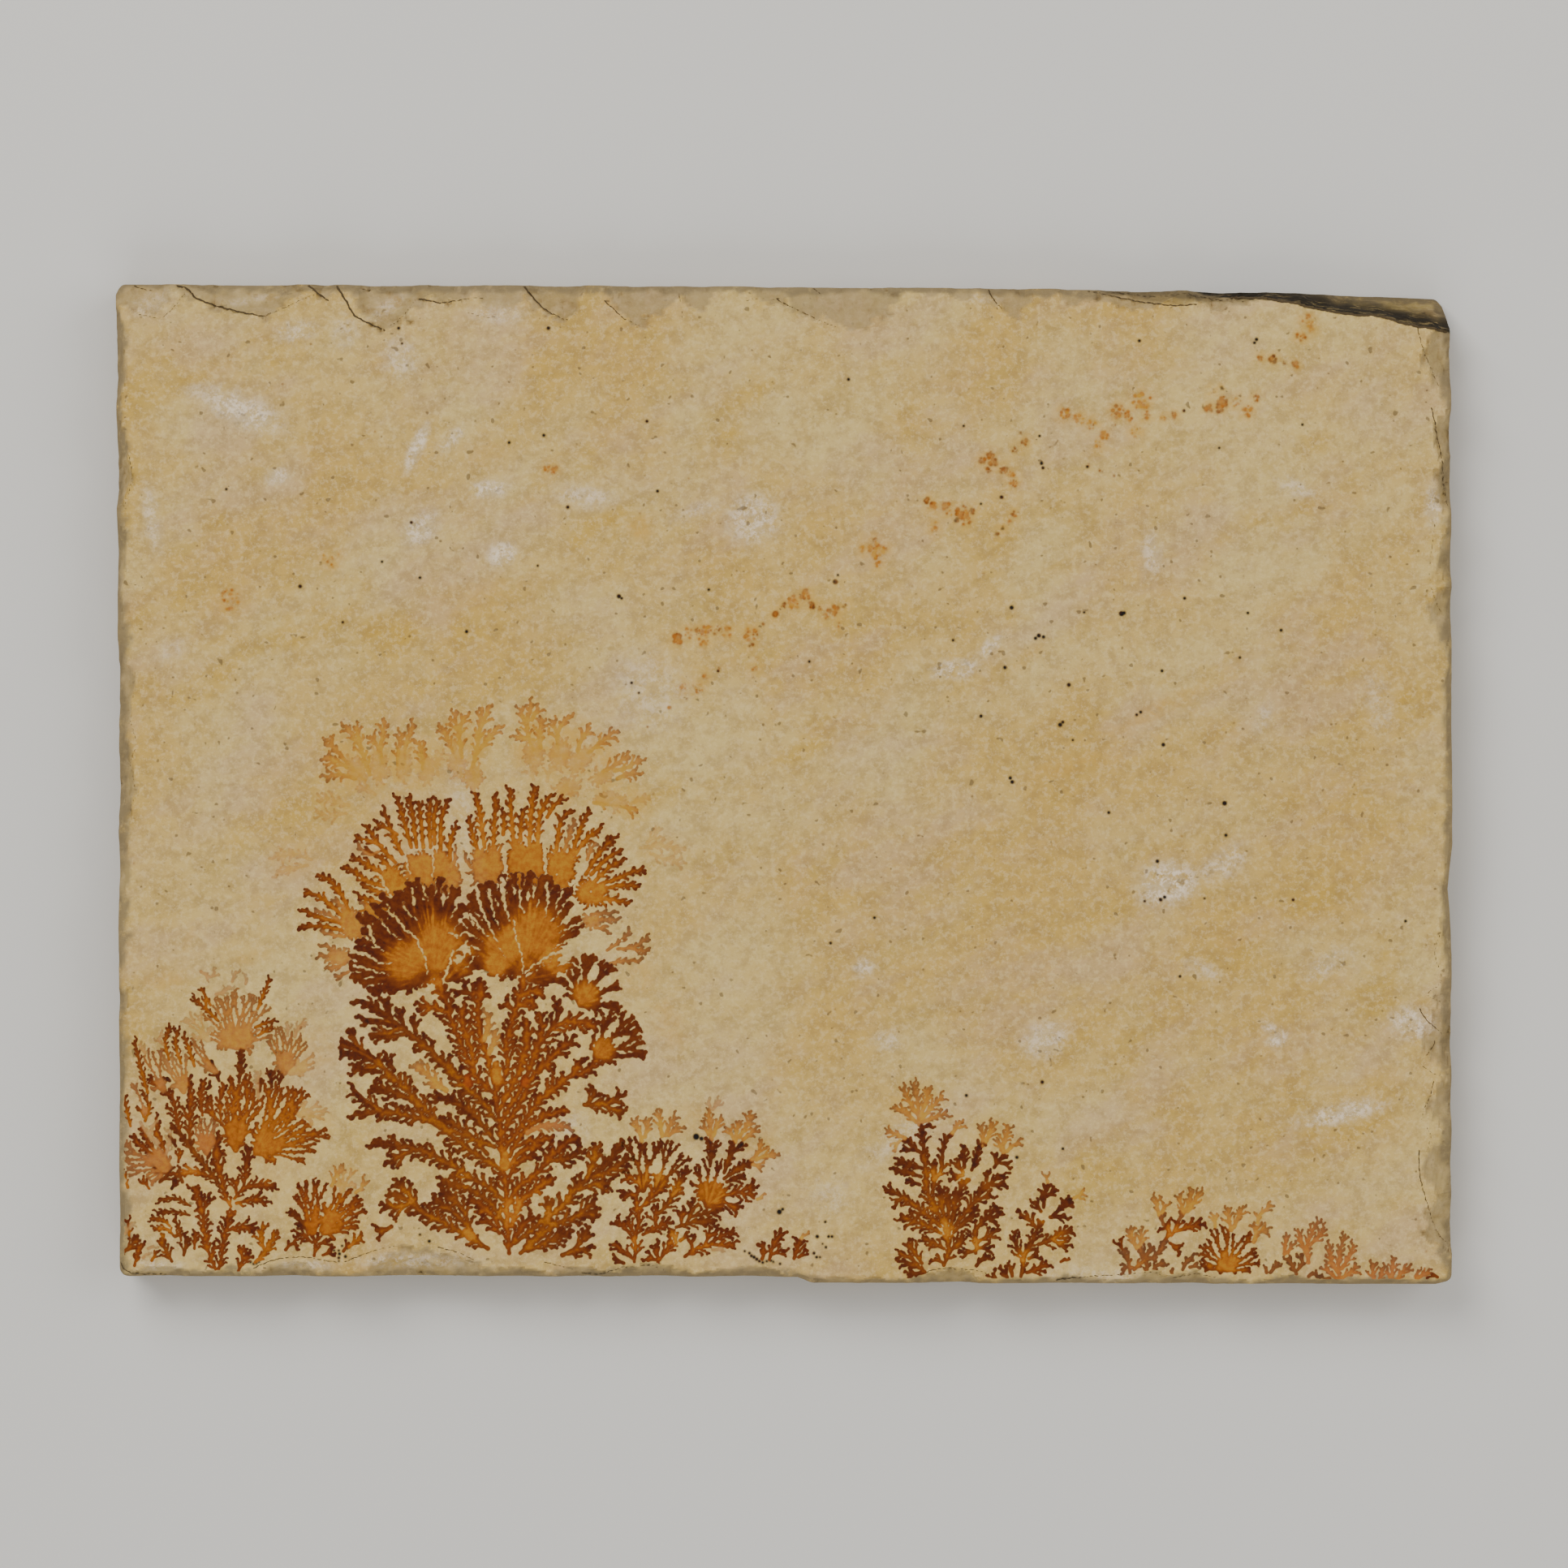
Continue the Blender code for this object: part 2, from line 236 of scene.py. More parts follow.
# Faint golden washes of iron oxide in the stone, as soft ellipses like the patches
WASHES = [
    (-58.5, 2.4, 8, 4, 6, 1), (-65.5, 2.8, 4.6, 3.4, 120, 0.9), (-48, 4.8, 3.4, 5, 0, 0.9),
    (-38, 6.4, 3, 5, 0, 0.95), (-33.4, 5.2, 3.8, 4.8, -30, 1), (-28.6, 3.6, 4.6, 3.6, 20, 0.9),
    (-25.4, -2, 5, 2.8, -10, 0.9), (-32.4, -1, 2.4, 2, 0, 0.8), (-18.8, -9.4, 4.4, 2, -6, 0.5),
    (-67, -3, 4.4, 2.4, -20, 0.5), (-73.4, -11.6, 4, 2.6, 20, 0.45), (-61, -4, 4, 4, 0, 0.4),
    (-93, -29.5, 3.4, 1.4, 0, 0.6), (-80, -26, 2.6, 1, 10, 0.5), (-89.5, -23.5, 2.2, 0.5, 70, 0.4),
    (-21.8, -29, 2.6, 3, 40, 0.5), (-17.6, -35.6, 2.2, 4.6, 20, 0.5), (-71, -40, 3.4, 4, 0, 0.45),
    (-86, -33.6, 4, 3, 0, 0.4), (-69.8, -51, 2.6, 3, 0, 0.4), (-16, -50.6, 7, 2.4, 10, 0.4),
    (-4.2, -53.4, 3.4, 3.4, 30, 0.4), (19.4, -47.6, 4.4, 2.6, 20, 0.5), (31.4, -52.4, 3.4, 2.4, 10, 0.4),
    (60.4, -62.4, 3.6, 2.2, 0, 0.4), (68.4, -65.2, 3.4, 2, 0, 0.4), (-66.6, -58.8, 2.6, 2.2, 30, 0.4),
    (-84, -52, 12, 13, 0, 0.4), (-44, -44, 14, 20, 0, 0.3), (24, -61, 7, 9, 0, 0.25),
    (-47, -8, 22, 9, 0, 0.3), (57, 11.6, 7, 1.1, 28, 0.7), (43, 2.6, 7, 1.2, 12, 0.6),
    (36.4, 19, 3.4, 1, 40, 0.5), (-83, 27.4, 3.2, 2.4, 0, 0.5), (-67.8, 33.8, 2.2, 2.2, 0, 0.4),
    (-44.8, 49.8, 3.6, 2.4, 0, 0.4), (-21.6, 38.4, 1.8, 1.8, 0, 0.9), (-10, 18.2, 4, 1.4, 10, 0.35),
    (-18.6, 17.8, 2.2, 1.4, 0, 0.35), (67.4, -23.6, 2.6, 1.2, 10, 0.5), (-42, 29, 9, 3, 20, 0.3),
]

# The stains' growth, in millimetres and radians

GROWTH_STEP = 0.12
LONGEST_GROWTH = 400
DARKEST_STAIN = 0.98
LIGHTEST_GLOW = 0.15
# The cells of the ground, which remember the twig that grew there first
CELL = 0.08
GROUND_HALF_LENGTH = 101.0
GROUND_HALF_WIDTH = 76.0
MOST_TWIGS = 600000
# The share of a dab's radius whose cells it takes
HELD = 0.9
# A tip looks to both sides, this far round and this far beyond its reach, and turns away this hard
STEERING = ((0.9, 0.05, 0.16), (0.7, 0.35, 0.05))
# It stops where something lies ahead, within this angle, or on both sides at this one
AHEAD = 0.45
BESIDE = 1.3
# It splits only where these directions are free
SPLIT_LOOKS = (1.57, -1.57, 0.8, -0.8)
# A side twig bends back to this share of its starting angle
BEND_BACK = 0.55
# How fast a twig's width beats along it, and a whole turn of a random phase
LOBE_BEAT = 6.0
TURN = 6.28
# A place along a twig that it never comes to
NEVER = 99.0

# What a growing tip knows: its place, heading and aim, the length left and gone, the length since its
# last split (young), its size and tones, the side of its next twig, and where it buds and splits next
TIP = np.dtype(
    [(key, "f8") for key in ("x", "y", "heading", "aim", "left", "gone", "young", "size", "dark", "red",
                             "veil", "side", "twig_at", "split_at", "wave")]
    + [(key, "i4") for key in ("own", "parent", "habit")])
# What a habit says: radii at the start and the tip, the gap kept to neighbours, how it wanders and is
# pulled to its aim, how lobed it is, its side twigs, its splits, how much its tip darkens, and the
# length (grace) within which it doesn't avoid its own kin
HABIT = np.dtype(
    [(key, "f8") for key in ("radius", "tip_radius", "gap", "wander", "pull", "lobed", "twig_every",
                             "twig_angle", "twig_length", "split_every", "split_angle", "split_room",
                             "darken", "grace")]
    + [("twig_habit", "i4")])
HABITS = {
    "barb": dict(
        radius=0.24, tip_radius=0.29, gap=0.16, wander=0.05, pull=0.06, lobed=0.18, darken=0.25, grace=1.0,
        twig_habit="lobe", twig_every=0.60, twig_angle=0.80, twig_length=0.45),
    "lobe": dict(
        radius=0.20, tip_radius=0.25, gap=0.15, wander=0.04, pull=0.02, lobed=0.05, darken=0.15, grace=0.6),
    "short_barb": dict(
        radius=0.20, tip_radius=0.22, gap=0.20, wander=0.05, pull=0.05, lobed=0.15, darken=0.45, grace=0.8,
        twig_habit="speck_lobe", twig_every=0.55, twig_angle=0.8, twig_length=0.38),
    "speck_lobe": dict(
        radius=0.17, tip_radius=0.20, gap=0.16, wander=0.04, pull=0.02, darken=0.2, grace=0.5),
    "finger": dict(
        radius=0.42, tip_radius=0.48, gap=0.23, wander=0.05, pull=0.10, lobed=0.14, grace=1.9,
        twig_habit="finger_lobe", twig_every=0.8, twig_angle=0.6, twig_length=0.9,
        split_every=1.4, split_angle=0.34, split_room=1.05),
    "finger_lobe": dict(
        radius=0.25, tip_radius=0.30, gap=0.20, wander=0.05, pull=0.03, lobed=0.05, grace=1.0),
    "feather": dict(
        radius=0.24, tip_radius=0.28, gap=0.25, wander=0.04, pull=0.10, lobed=0.18, darken=0.45, grace=1.9,
        twig_habit="speck_lobe", twig_every=0.56, twig_angle=0.65, twig_length=0.45,
        split_every=1.8, split_angle=0.30, split_room=1.10),
}

# Looks of stems: radius at the base, at the tip, barbs' length, their habit, darkness, what the tip is
# darker by, redness, cover
LOOKS = {
    "brown": (0.34, 0.34, 1.9, "barb", 0.74, 0.18, 0.2, 1.0),
    "reddish": (0.32, 0.32, 1.8, "barb", 0.66, 0.22, 0.5, 1.0),
    "slim": (0.28, 0.24, 1.1, "barb", 0.62, 0.2, 0.5, 1.0),
    "club": (0.34, 0.44, 1.2, "barb", 0.94, 0.1, 0.15, 1.0),
    "twig": (0.26, 0.30, 0.8, "short_barb", 0.72, 0.15, 0.3, 1.0),
    "faded_club": (0.32, 0.38, 1.0, "barb", 0.74, 0.12, 0.4, 0.92),
    "orange": (0.34, 0.30, 1.6, "barb", 0.42, 0.25, 0.3, 1.0),
    "heart": (0.8, 0.5, 1.2, "barb", 0.35, 0.1, 0.3, 1.0),
    "red_heart": (0.8, 0.5, 1.0, "barb", 0.62, 0.0, 1.0, 1.0),
    "plume": (0.30, 0.26, 0.9, "short_barb", 0.36, 0.5, 0.3, 1.0),
    "thin_plume": (0.24, 0.20, 0.7, "short_barb", 0.30, 0.4, 0.4, 0.85),
    "golden": (0.34, 0.24, 1.3, "short_barb", 0.0, 0.35, 0.1, 0.8),
    "gold_plume": (0.40, 0.24, 1.4, "short_barb", 0.12, 0.40, 0.15, 0.85),
    "rosy_plume": (0.38, 0.24, 1.3, "short_barb", 0.22, 0.40, 0.8, 0.85),
    "rosy": (0.32, 0.26, 1.2, "short_barb", 0.36, 0.1, 1.0, 0.5),
    "faint": (0.28, 0.22, 1.2, "short_barb", 0.0, 0.1, 0.2, 0.4),
}


def finger(x, y, start, end, reaches, hearts, **sizes):
    """A fan of broad fingers round a focus, from the first angle to the last in degrees. Its fingers
    and its solid heart reach these distances, spread evenly over the angles."""
    return "finger", dict(sizes, focus=(x, y), start=start, end=end, reaches=reaches, hearts=hearts)


def feather(x, y, start, end, reaches, hearts, spacing=0.56, ragged=0.4, **sizes):
    """A fan of finer, feathery plumes, set closer together on a more ragged heart."""
    _, fan = finger(x, y, start, end, reaches, hearts, spacing=spacing, ragged=ragged, **sizes)
    return "feather", fan


def blot(x, y, half_length, half_width, **tones):
    """A solid blot: its middle, its half sizes, and its turn in degrees and its tones."""
    return dict(tones, x=x, y=y, half_length=half_length, half_width=half_width)


# The tall plant in the middle left, stem by stem. In every table of stems the look comes first, and
# then each stem's own points from its root on, as x, y, x, y ...
TALL_STEMS = [
    ("reddish", [
        (-41.3, -70.5, -41.6, -66, -41.8, -61, -42.3, -57, -42.6, -52, -43.2, -48, -43.5, -44),
        (-42.8, -66.5, -44, -64.5, -46, -62.8, -47.5, -62.5), (-42.8, -67.5, -44, -66.1, -45.6, -65.5),
        (-43.5, -46.5, -46.2, -44.2, -47.6, -41, -49, -38, -50.2, -35, -51, -32, -52.3, -29),
        (-50.3, -34.6, -52.5, -33.6, -54.7, -33.3), (-46.4, -44, -47, -40, -48.3, -36.5, -48.5, -33.8),
        (-43.6, -45, -44.6, -41, -45.7, -37, -46, -33.5, -45.4, -30),
        (-46, -33, -47.5, -31.3, -49.5, -31.3),
        (-43, -46, -41.5, -42.5, -41.9, -39.5, -41, -36.5, -40.3, -34, -39.5, -31.5, -39.1, -28.5),
        (-40.4, -34.5, -41.2, -33.4, -42.1, -33.2), (-40.3, -33.8, -39, -32.8, -37.6, -32.6),
        (-39.7, -32, -38.2, -31.2, -36.3, -31.2),
        (-42.8, -49, -40.2, -44, -39, -41, -38.5, -38, -38.7, -35.3),
        (-42.4, -50.5, -39.3, -45.5, -38.2, -42.5, -37.3, -40, -36.3, -37.3, -36.8, -34.4),
        (-37.3, -40, -35.3, -37.2, -34, -35, -34.2, -32.8),
        (-35.2, -37, -32.5, -35.6, -30.5, -35.8, -28.4, -36.3),
        (-42.5, -53, -40, -48.5, -37.6, -43.8, -35.3, -41.4, -33.4, -39.7, -31.8, -38.5),
        (-42.4, -55.5, -39.8, -51.8, -37.3, -48.3, -34.8, -45.9, -32.3, -44, -29.6, -43.2, -28.3, -41.5),
        (-32.6, -44.2, -31.2, -43, -30.7, -41.6), (-41.3, -57.5, -39.3, -55, -36.6, -54.2),
        (-41.3, -59, -39.8, -56.6, -37.2, -55.7),
        (-41.6, -63.5, -39.9, -60.4, -37.5, -58.8, -35.6, -56.8, -33.6, -54.6, -31.1, -53),
        (-41, -66.5, -39.6, -62.7, -37, -60.6, -34.8, -59.2), (-41, -69.3, -39, -66, -37.6, -65),
    ]),
    ("slim", [
        (-41.2, -56, -40.2, -53.9, -38.4, -51.6, -35.6, -49.8, -32.6, -48.9),
        (-40, -54.4, -37.6, -53.6, -34.6, -53.1),
    ]),
    ("rosy_plume", [
        (-38.6, -52.4, -36, -51.3, -32.2, -51.6),
    ]),
    ("club", [
        (-58.6, -35.9, -60.6, -34.5, -63.4, -32.7), (-58.4, -36.4, -60.8, -35.7, -63, -35.6),
        (-57.2, -37.6, -59.6, -38, -62, -37.8), (-59, -35.2, -59.6, -33.8, -60, -32.6),
        (-57.2, -36.2, -57.6, -34.9, -57.8, -34.1), (-55.3, -37.4, -55.6, -36.2, -55.9, -35.2),
        (-61.6, -41.2, -64, -39.8, -66.4, -38.7), (-61.8, -41.6, -64.4, -40.7, -66.5, -40.4),
        (-60.6, -43.3, -62.6, -43, -64.6, -42.7), (-58.6, -43, -59.4, -41.8, -59.9, -41),
        (-61.6, -48.7, -63.2, -47.6, -64.6, -46.2), (-61.6, -49.3, -63, -49.6, -64.3, -49.4),
        (-59.6, -46.4, -61.8, -45.9),
    ]),
    ("gold_plume", [
        (-50.8, -46, -52.6, -44.6, -54.2, -43.2, -55.6, -42.2), (-51.6, -45.6, -53.4, -44.9),
        (-45.2, -38.6, -44.4, -36.4, -44.6, -34.4), (-44.4, -40.6, -43.6, -38.8, -43.4, -37),
    ]),
    ("brown", [
        (-44.5, -69.8, -47.5, -68, -51, -66, -54, -64.5, -56.5, -62.5, -59.3, -61.5),
        (-47, -67, -49.5, -64.5, -52.7, -62.2), (-47, -67.2, -48.6, -63.5, -51.5, -61),
        (-55, -63.5, -56.5, -61.5, -58.2, -60), (-56, -63, -58, -63.6, -60, -63.5),
        (-42, -66, -43.8, -63.5, -46, -61.5, -48.5, -60.5, -51.3, -59.8),
        (-42.2, -62.5, -44.5, -60.5, -47, -59.2, -50, -57.2, -53.5, -55.5, -57, -54.5, -61.8, -54),
        (-56, -55.2, -57.8, -56, -59.2, -57),
        (-42.5, -58, -46.8, -55.3, -50, -52.8, -53, -50.8, -57, -49.7, -60.5, -49.2, -64.5, -49.6),
        (-60.5, -49, -63, -47.5, -65, -45.7),
        (-52, -51.5, -54.5, -49.5, -56, -47.5, -59, -46.2, -62, -45.5),
        (-43.5, -54.5, -47, -53.2, -51, -51.5, -54, -48.8, -57.5, -45.2, -60.5, -42.5, -63.5, -40.3,
         -66.5, -39.2), (-61, -42.2, -63, -42.8, -64.8, -43), (-63, -40.3, -64.3, -39, -65, -37.6),
        (-43.3, -50.5, -45.5, -47.6, -48.5, -45, -51, -42.3, -53.5, -39.6, -56.5, -37.4, -59.5, -35,
         -62, -33.2, -64.3, -32.5), (-57.5, -36.8, -60, -37.4, -62.3, -37.7),
        (-58.5, -35.8, -61, -35.6, -63.3, -35.4),
        (-43.6, -53.5, -45.5, -51, -47.6, -48.8, -50.2, -47.3, -52.7, -47.1),
        (-44.6, -55.6, -47, -52.9, -49.2, -51.4, -51.4, -50.4), (-47.6, -44.6, -49.6, -43.4, -51.6, -41),
        (-30, -48.2, -27.5, -48.2, -25.6, -47.7, -24.6, -46.6), (-29.5, -48, -28.8, -47, -28.4, -46.1),
        (-27.2, -48.2, -25.5, -49, -24.3, -49.4), (-35, -56.6, -32.7, -56.4, -30.6, -55.2),
        (-40.5, -69, -37, -66.3, -33.6, -63.6, -31.6, -61.4, -29.5, -59.3, -27.2, -57.6, -25.5, -55.8,
         -25, -54.2), (-29.8, -59.5, -28.6, -57, -28.1, -54.6), (-28.7, -59.2, -26, -58, -23.3, -56.2),
        (-31, -61, -28.5, -60.2, -26.3, -60), (-39, -69.6, -36.6, -67.3, -35.3, -64.8, -35.4, -62.9),
        (-35.4, -65, -34, -63.9, -33.6, -62.6),
        (-39.6, -70.5, -36.5, -68, -34.5, -66.2, -31.2, -65, -28.2, -64.2),
        (-31, -65, -29.9, -63.9, -28.6, -62.8), (-38.5, -70.2, -35, -68.5, -32.2, -67.5),
        (-33.3, -70.8, -31.5, -70.1, -29.3, -70), (-31.6, -70, -30.4, -68.6, -29.3, -67.4),
        (-59, -66.5, -60.3, -67.2, -61.3, -67),
    ]),
    ("heart", [
        (-42, -57.5, -42, -55.5), (-43.1, -44.5, -43.3, -42), (-47, -68, -48, -67.2),
    ]),
    ("red_heart", [
        (-47.5, -45, -47.6, -44), (-39, -45, -38.8, -44),
    ]),
]
TALL_FANS = [
    finger(-52.4, -28.6, 50, 206, [5.9, 8.2, 13, 14.4, 14.6, 14, 13.6, 13.2, 12.9, 12.9, 12.6, 10, 7],
        [4.4, 6.4, 10.4, 11.4, 11.6, 11.2, 10.8, 10.4, 10.2, 10, 9.6, 8, 5.4], inner=0, dark=0.95),
    finger(-50.6, -29.4, 8, 56, [3, 4.2, 4.4], [2.2, 2.8, 2.8], dark=0.94),
    finger(-39.2, -28.4, 36, 176, [9.6, 11.4, 13.2, 14.4, 14.8, 14.9, 14.8, 11.9, 9.4, 8.2, 7.6],
        [6.8, 8.4, 10, 11.2, 11.6, 11.6, 11.2, 9.4, 7.2, 6.2, 5.6], dark=0.95),
    finger(-38.4, -29.3, -14, 30, [4.4, 6.8, 8.4], [2.8, 4.6, 5.4], dark=0.94),
    finger(-30.6, -33.2, -10, 118, [5.6, 6, 6.8, 7.6, 8.4, 6.4], [2.6, 3.2, 3.6, 3.6, 3.4, 2.6],
        dark=0.94, size=0.76, spacing=1.05),
    finger(-28.4, -41, -10, 80, [7.2, 8.2, 9.2, 8.6, 5.6], [2.6, 3.2, 3.4, 3.2, 2.4], dark=0.94,
        size=0.72, spacing=1.05),
]
# Where the oxide is iron-rich and glows orange through the brown: x, y, radius, strength
TALL_GLOWS = [
    (-52, -23.8, 5.4, 0.72), (-57, -26.8, 4.4, 0.7), (-48.6, -27.2, 2, 0.5), (-37.4, -22.4, 6.4, 0.74),
    (-42.6, -24.8, 4.4, 0.66), (-43.4, -27.6, 2.4, 0.6), (-34.2, -26.8, 3.2, 0.6), (-29.8, -31.6, 3, 0.7),
    (-27.2, -39.8, 2.6, 0.7), (-42, -56.5, 2.6, 0.14), (-43.2, -43, 2.6, 0.12), (-47.6, -67.6, 2, 0.2),
    (-57.6, -62.5, 3, 0.25), (-41, -64, 3, 0.3), (-53, -31, 2.6, 0.4), (-35, -63, 4, 0.25),
    (-49, -60, 3, 0.2), (-51.8, -28.6, 2.6, 0.4), (-47.4, -25, 1.6, 0.4), (-38.8, -28.4, 2.6, 0.4),
]
# Thin clefts of bare stone between the caps' fingers: width at the start, at the end, and the points
TALL_CLEFTS = [
    (0.36, 0.2, (-60.2, -18.6, -58.2, -20.2, -56.9, -21.9, -55.4, -23, -54.6, -24.8, -53.9, -26.2,
     -53.6, -28.6)), (0.3, 0.14, (-57.3, -17.8, -56.6, -19.2, -55, -20.6)),
    (0.44, 0.14, (-54.4, -14.2, -54.1, -16, -53.4, -17.6)),
    (0.36, 0.16, (-52.4, -13.8, -52.4, -15.2, -52.2, -16.6)),
    (0.4, 0.16, (-50.2, -14.6, -50.4, -16.2, -50.6, -17.4)),
    (0.36, 0.16, (-49, -17, -49.3, -18.6, -50.2, -20.2)),
    (0.46, 0.16, (-62.4, -21.4, -61.8, -23.2, -61.2, -24.4, -60, -25.1)),
    (0.5, 0.14, (-65.2, -25.2, -63, -25.5, -61.6, -26.4, -60.2, -27, -58.8, -26.8)),
    (0.36, 0.14, (-64.6, -27.3, -62.5, -27.8, -61, -28.3, -59.3, -28.6)),
    (0.3, 0.14, (-56, -15.6, -55.7, -16.8, -55.3, -18.2)),
    (0.26, 0.14, (-60.6, -20.4, -59.6, -21.8, -58.6, -22.8, -57.4, -23.4)),
    (0.3, 0.18, (-49.8, -25, -50.3, -27.2, -51, -29.2)),
    (0.7, 0.18, (-42.4, -14.2, -42.2, -16.4, -42, -18, -41.2, -20.6)),
    (0.4, 0.2, (-39.8, -13.6, -39.7, -16, -39.6, -18.2, -39, -19.4)),
    (0.36, 0.14, (-44.4, -15.8, -43.9, -18.2, -43.4, -20.2, -42.6, -21.8)),
    (0.44, 0.18, (-46.2, -16, -45.5, -18.6, -44.6, -20.6, -43.9, -22.2, -43, -23.8)),
    (0.4, 0.16, (-47.2, -19.6, -46.2, -20.8, -45.2, -22.2, -44.4, -23)),
    (0.44, 0.2, (-37.5, -14.4, -37.6, -16, -37.6, -17.2)),
    (0.4, 0.16, (-35.7, -14.8, -35.5, -17.5, -35.9, -20)),
    (0.3, 0.14, (-33.2, -16.2, -34, -17.6, -34.5, -19.2)),
    (0.44, 0.14, (-30.6, -19, -32.4, -20.4, -33.8, -21.2)),
    (0.4, 0.14, (-29.6, -20.6, -31.8, -21.4, -33.9, -22.4)),
    (0.4, 0.14, (-28.9, -22.9, -31.6, -23.2, -33.4, -24, -34.8, -24.8)),
    (0.46, 0.22, (-29.3, -25.2, -31.6, -25, -33.6, -25.2, -35.4, -25.8, -36.8, -26.8, -38, -27.5,
     -39, -28.6)), (0.22, 0.22, (-40.6, -20.5, -40.3, -23, -39.7, -24.8, -39.3, -26.4, -39.2, -28.6)),
    (0.14, 0.1, (-42.8, -24.6, -42.2, -25.5, -41.4, -26.4)),
    (0.26, 0.12, (-30.6, -27.6, -32, -26.9, -33.2, -26.6)),
    (0.4, 0.14, (-49.2, -22.8, -49.9, -22.4, -50.6, -22.6)),
]

# The ring of plumes behind its two dark caps: solid blots, and plumes that stand on them
RING_BLOTS = [
    blot(-54.4, -12.9, 2.6, 2.2, dark=0.36, veil=0.95),
    blot(-51.6, -12.6, 1.3, 2.6, dark=0.34, veil=0.95), blot(-49.9, -14, 0.8, 2, dark=0.3, veil=0.9),
    blot(-58.6, -15, 2.7, 1.4, turn=125, dark=0.34), blot(-61.6, -19, 1.6, 1, turn=150, dark=0.26),
    blot(-65.2, -21, 2.4, 1.2, turn=110, dark=0.26, veil=0.9),
    blot(-66.9, -26.1, 1.5, 0.8, turn=175, dark=0.24, veil=0.8),
    blot(-45.6, -12.6, 3, 0.9, turn=96, dark=0.34, veil=0.9),
    blot(-43.8, -12.2, 2.8, 1.1, turn=88, dark=0.34, veil=0.95),
    blot(-39.6, -12, 3.4, 1.5, turn=92, dark=0.38), blot(-37.4, -11.8, 3.2, 1.2, turn=88, dark=0.38),
    blot(-33.6, -12.8, 3, 1.8, turn=78, dark=0.36), blot(-28.9, -16.3, 2.2, 1.5, turn=10, dark=0.34),
    blot(-28.9, -20.6, 1.1, 0.8, dark=0.24, veil=0.8),
]
RING_CLEFTS = [
    (0.9, 0.5, (-48.7, -8.6, -48.5, -11.6, -47.9, -15)),
    (0.55, 0.35, (-42.1, -9.4, -41.9, -12, -41.8, -15.4)),
    (0.5, 0.3, (-36, -8.8, -35.9, -11.6, -35.7, -15)),
    (0.5, 0.3, (-30.2, -11.4, -31, -13.8, -31.6, -16.2)),
    (0.4, 0.2, (-57, -9.8, -56.6, -12.2, -56.2, -13.6)),
    (0.3, 0.2, (-52.9, -9.6, -52.7, -12.2, -52.8, -14)),
    (0.4, 0.2, (-60.6, -14, -59.6, -16, -58.6, -17.4)),
]
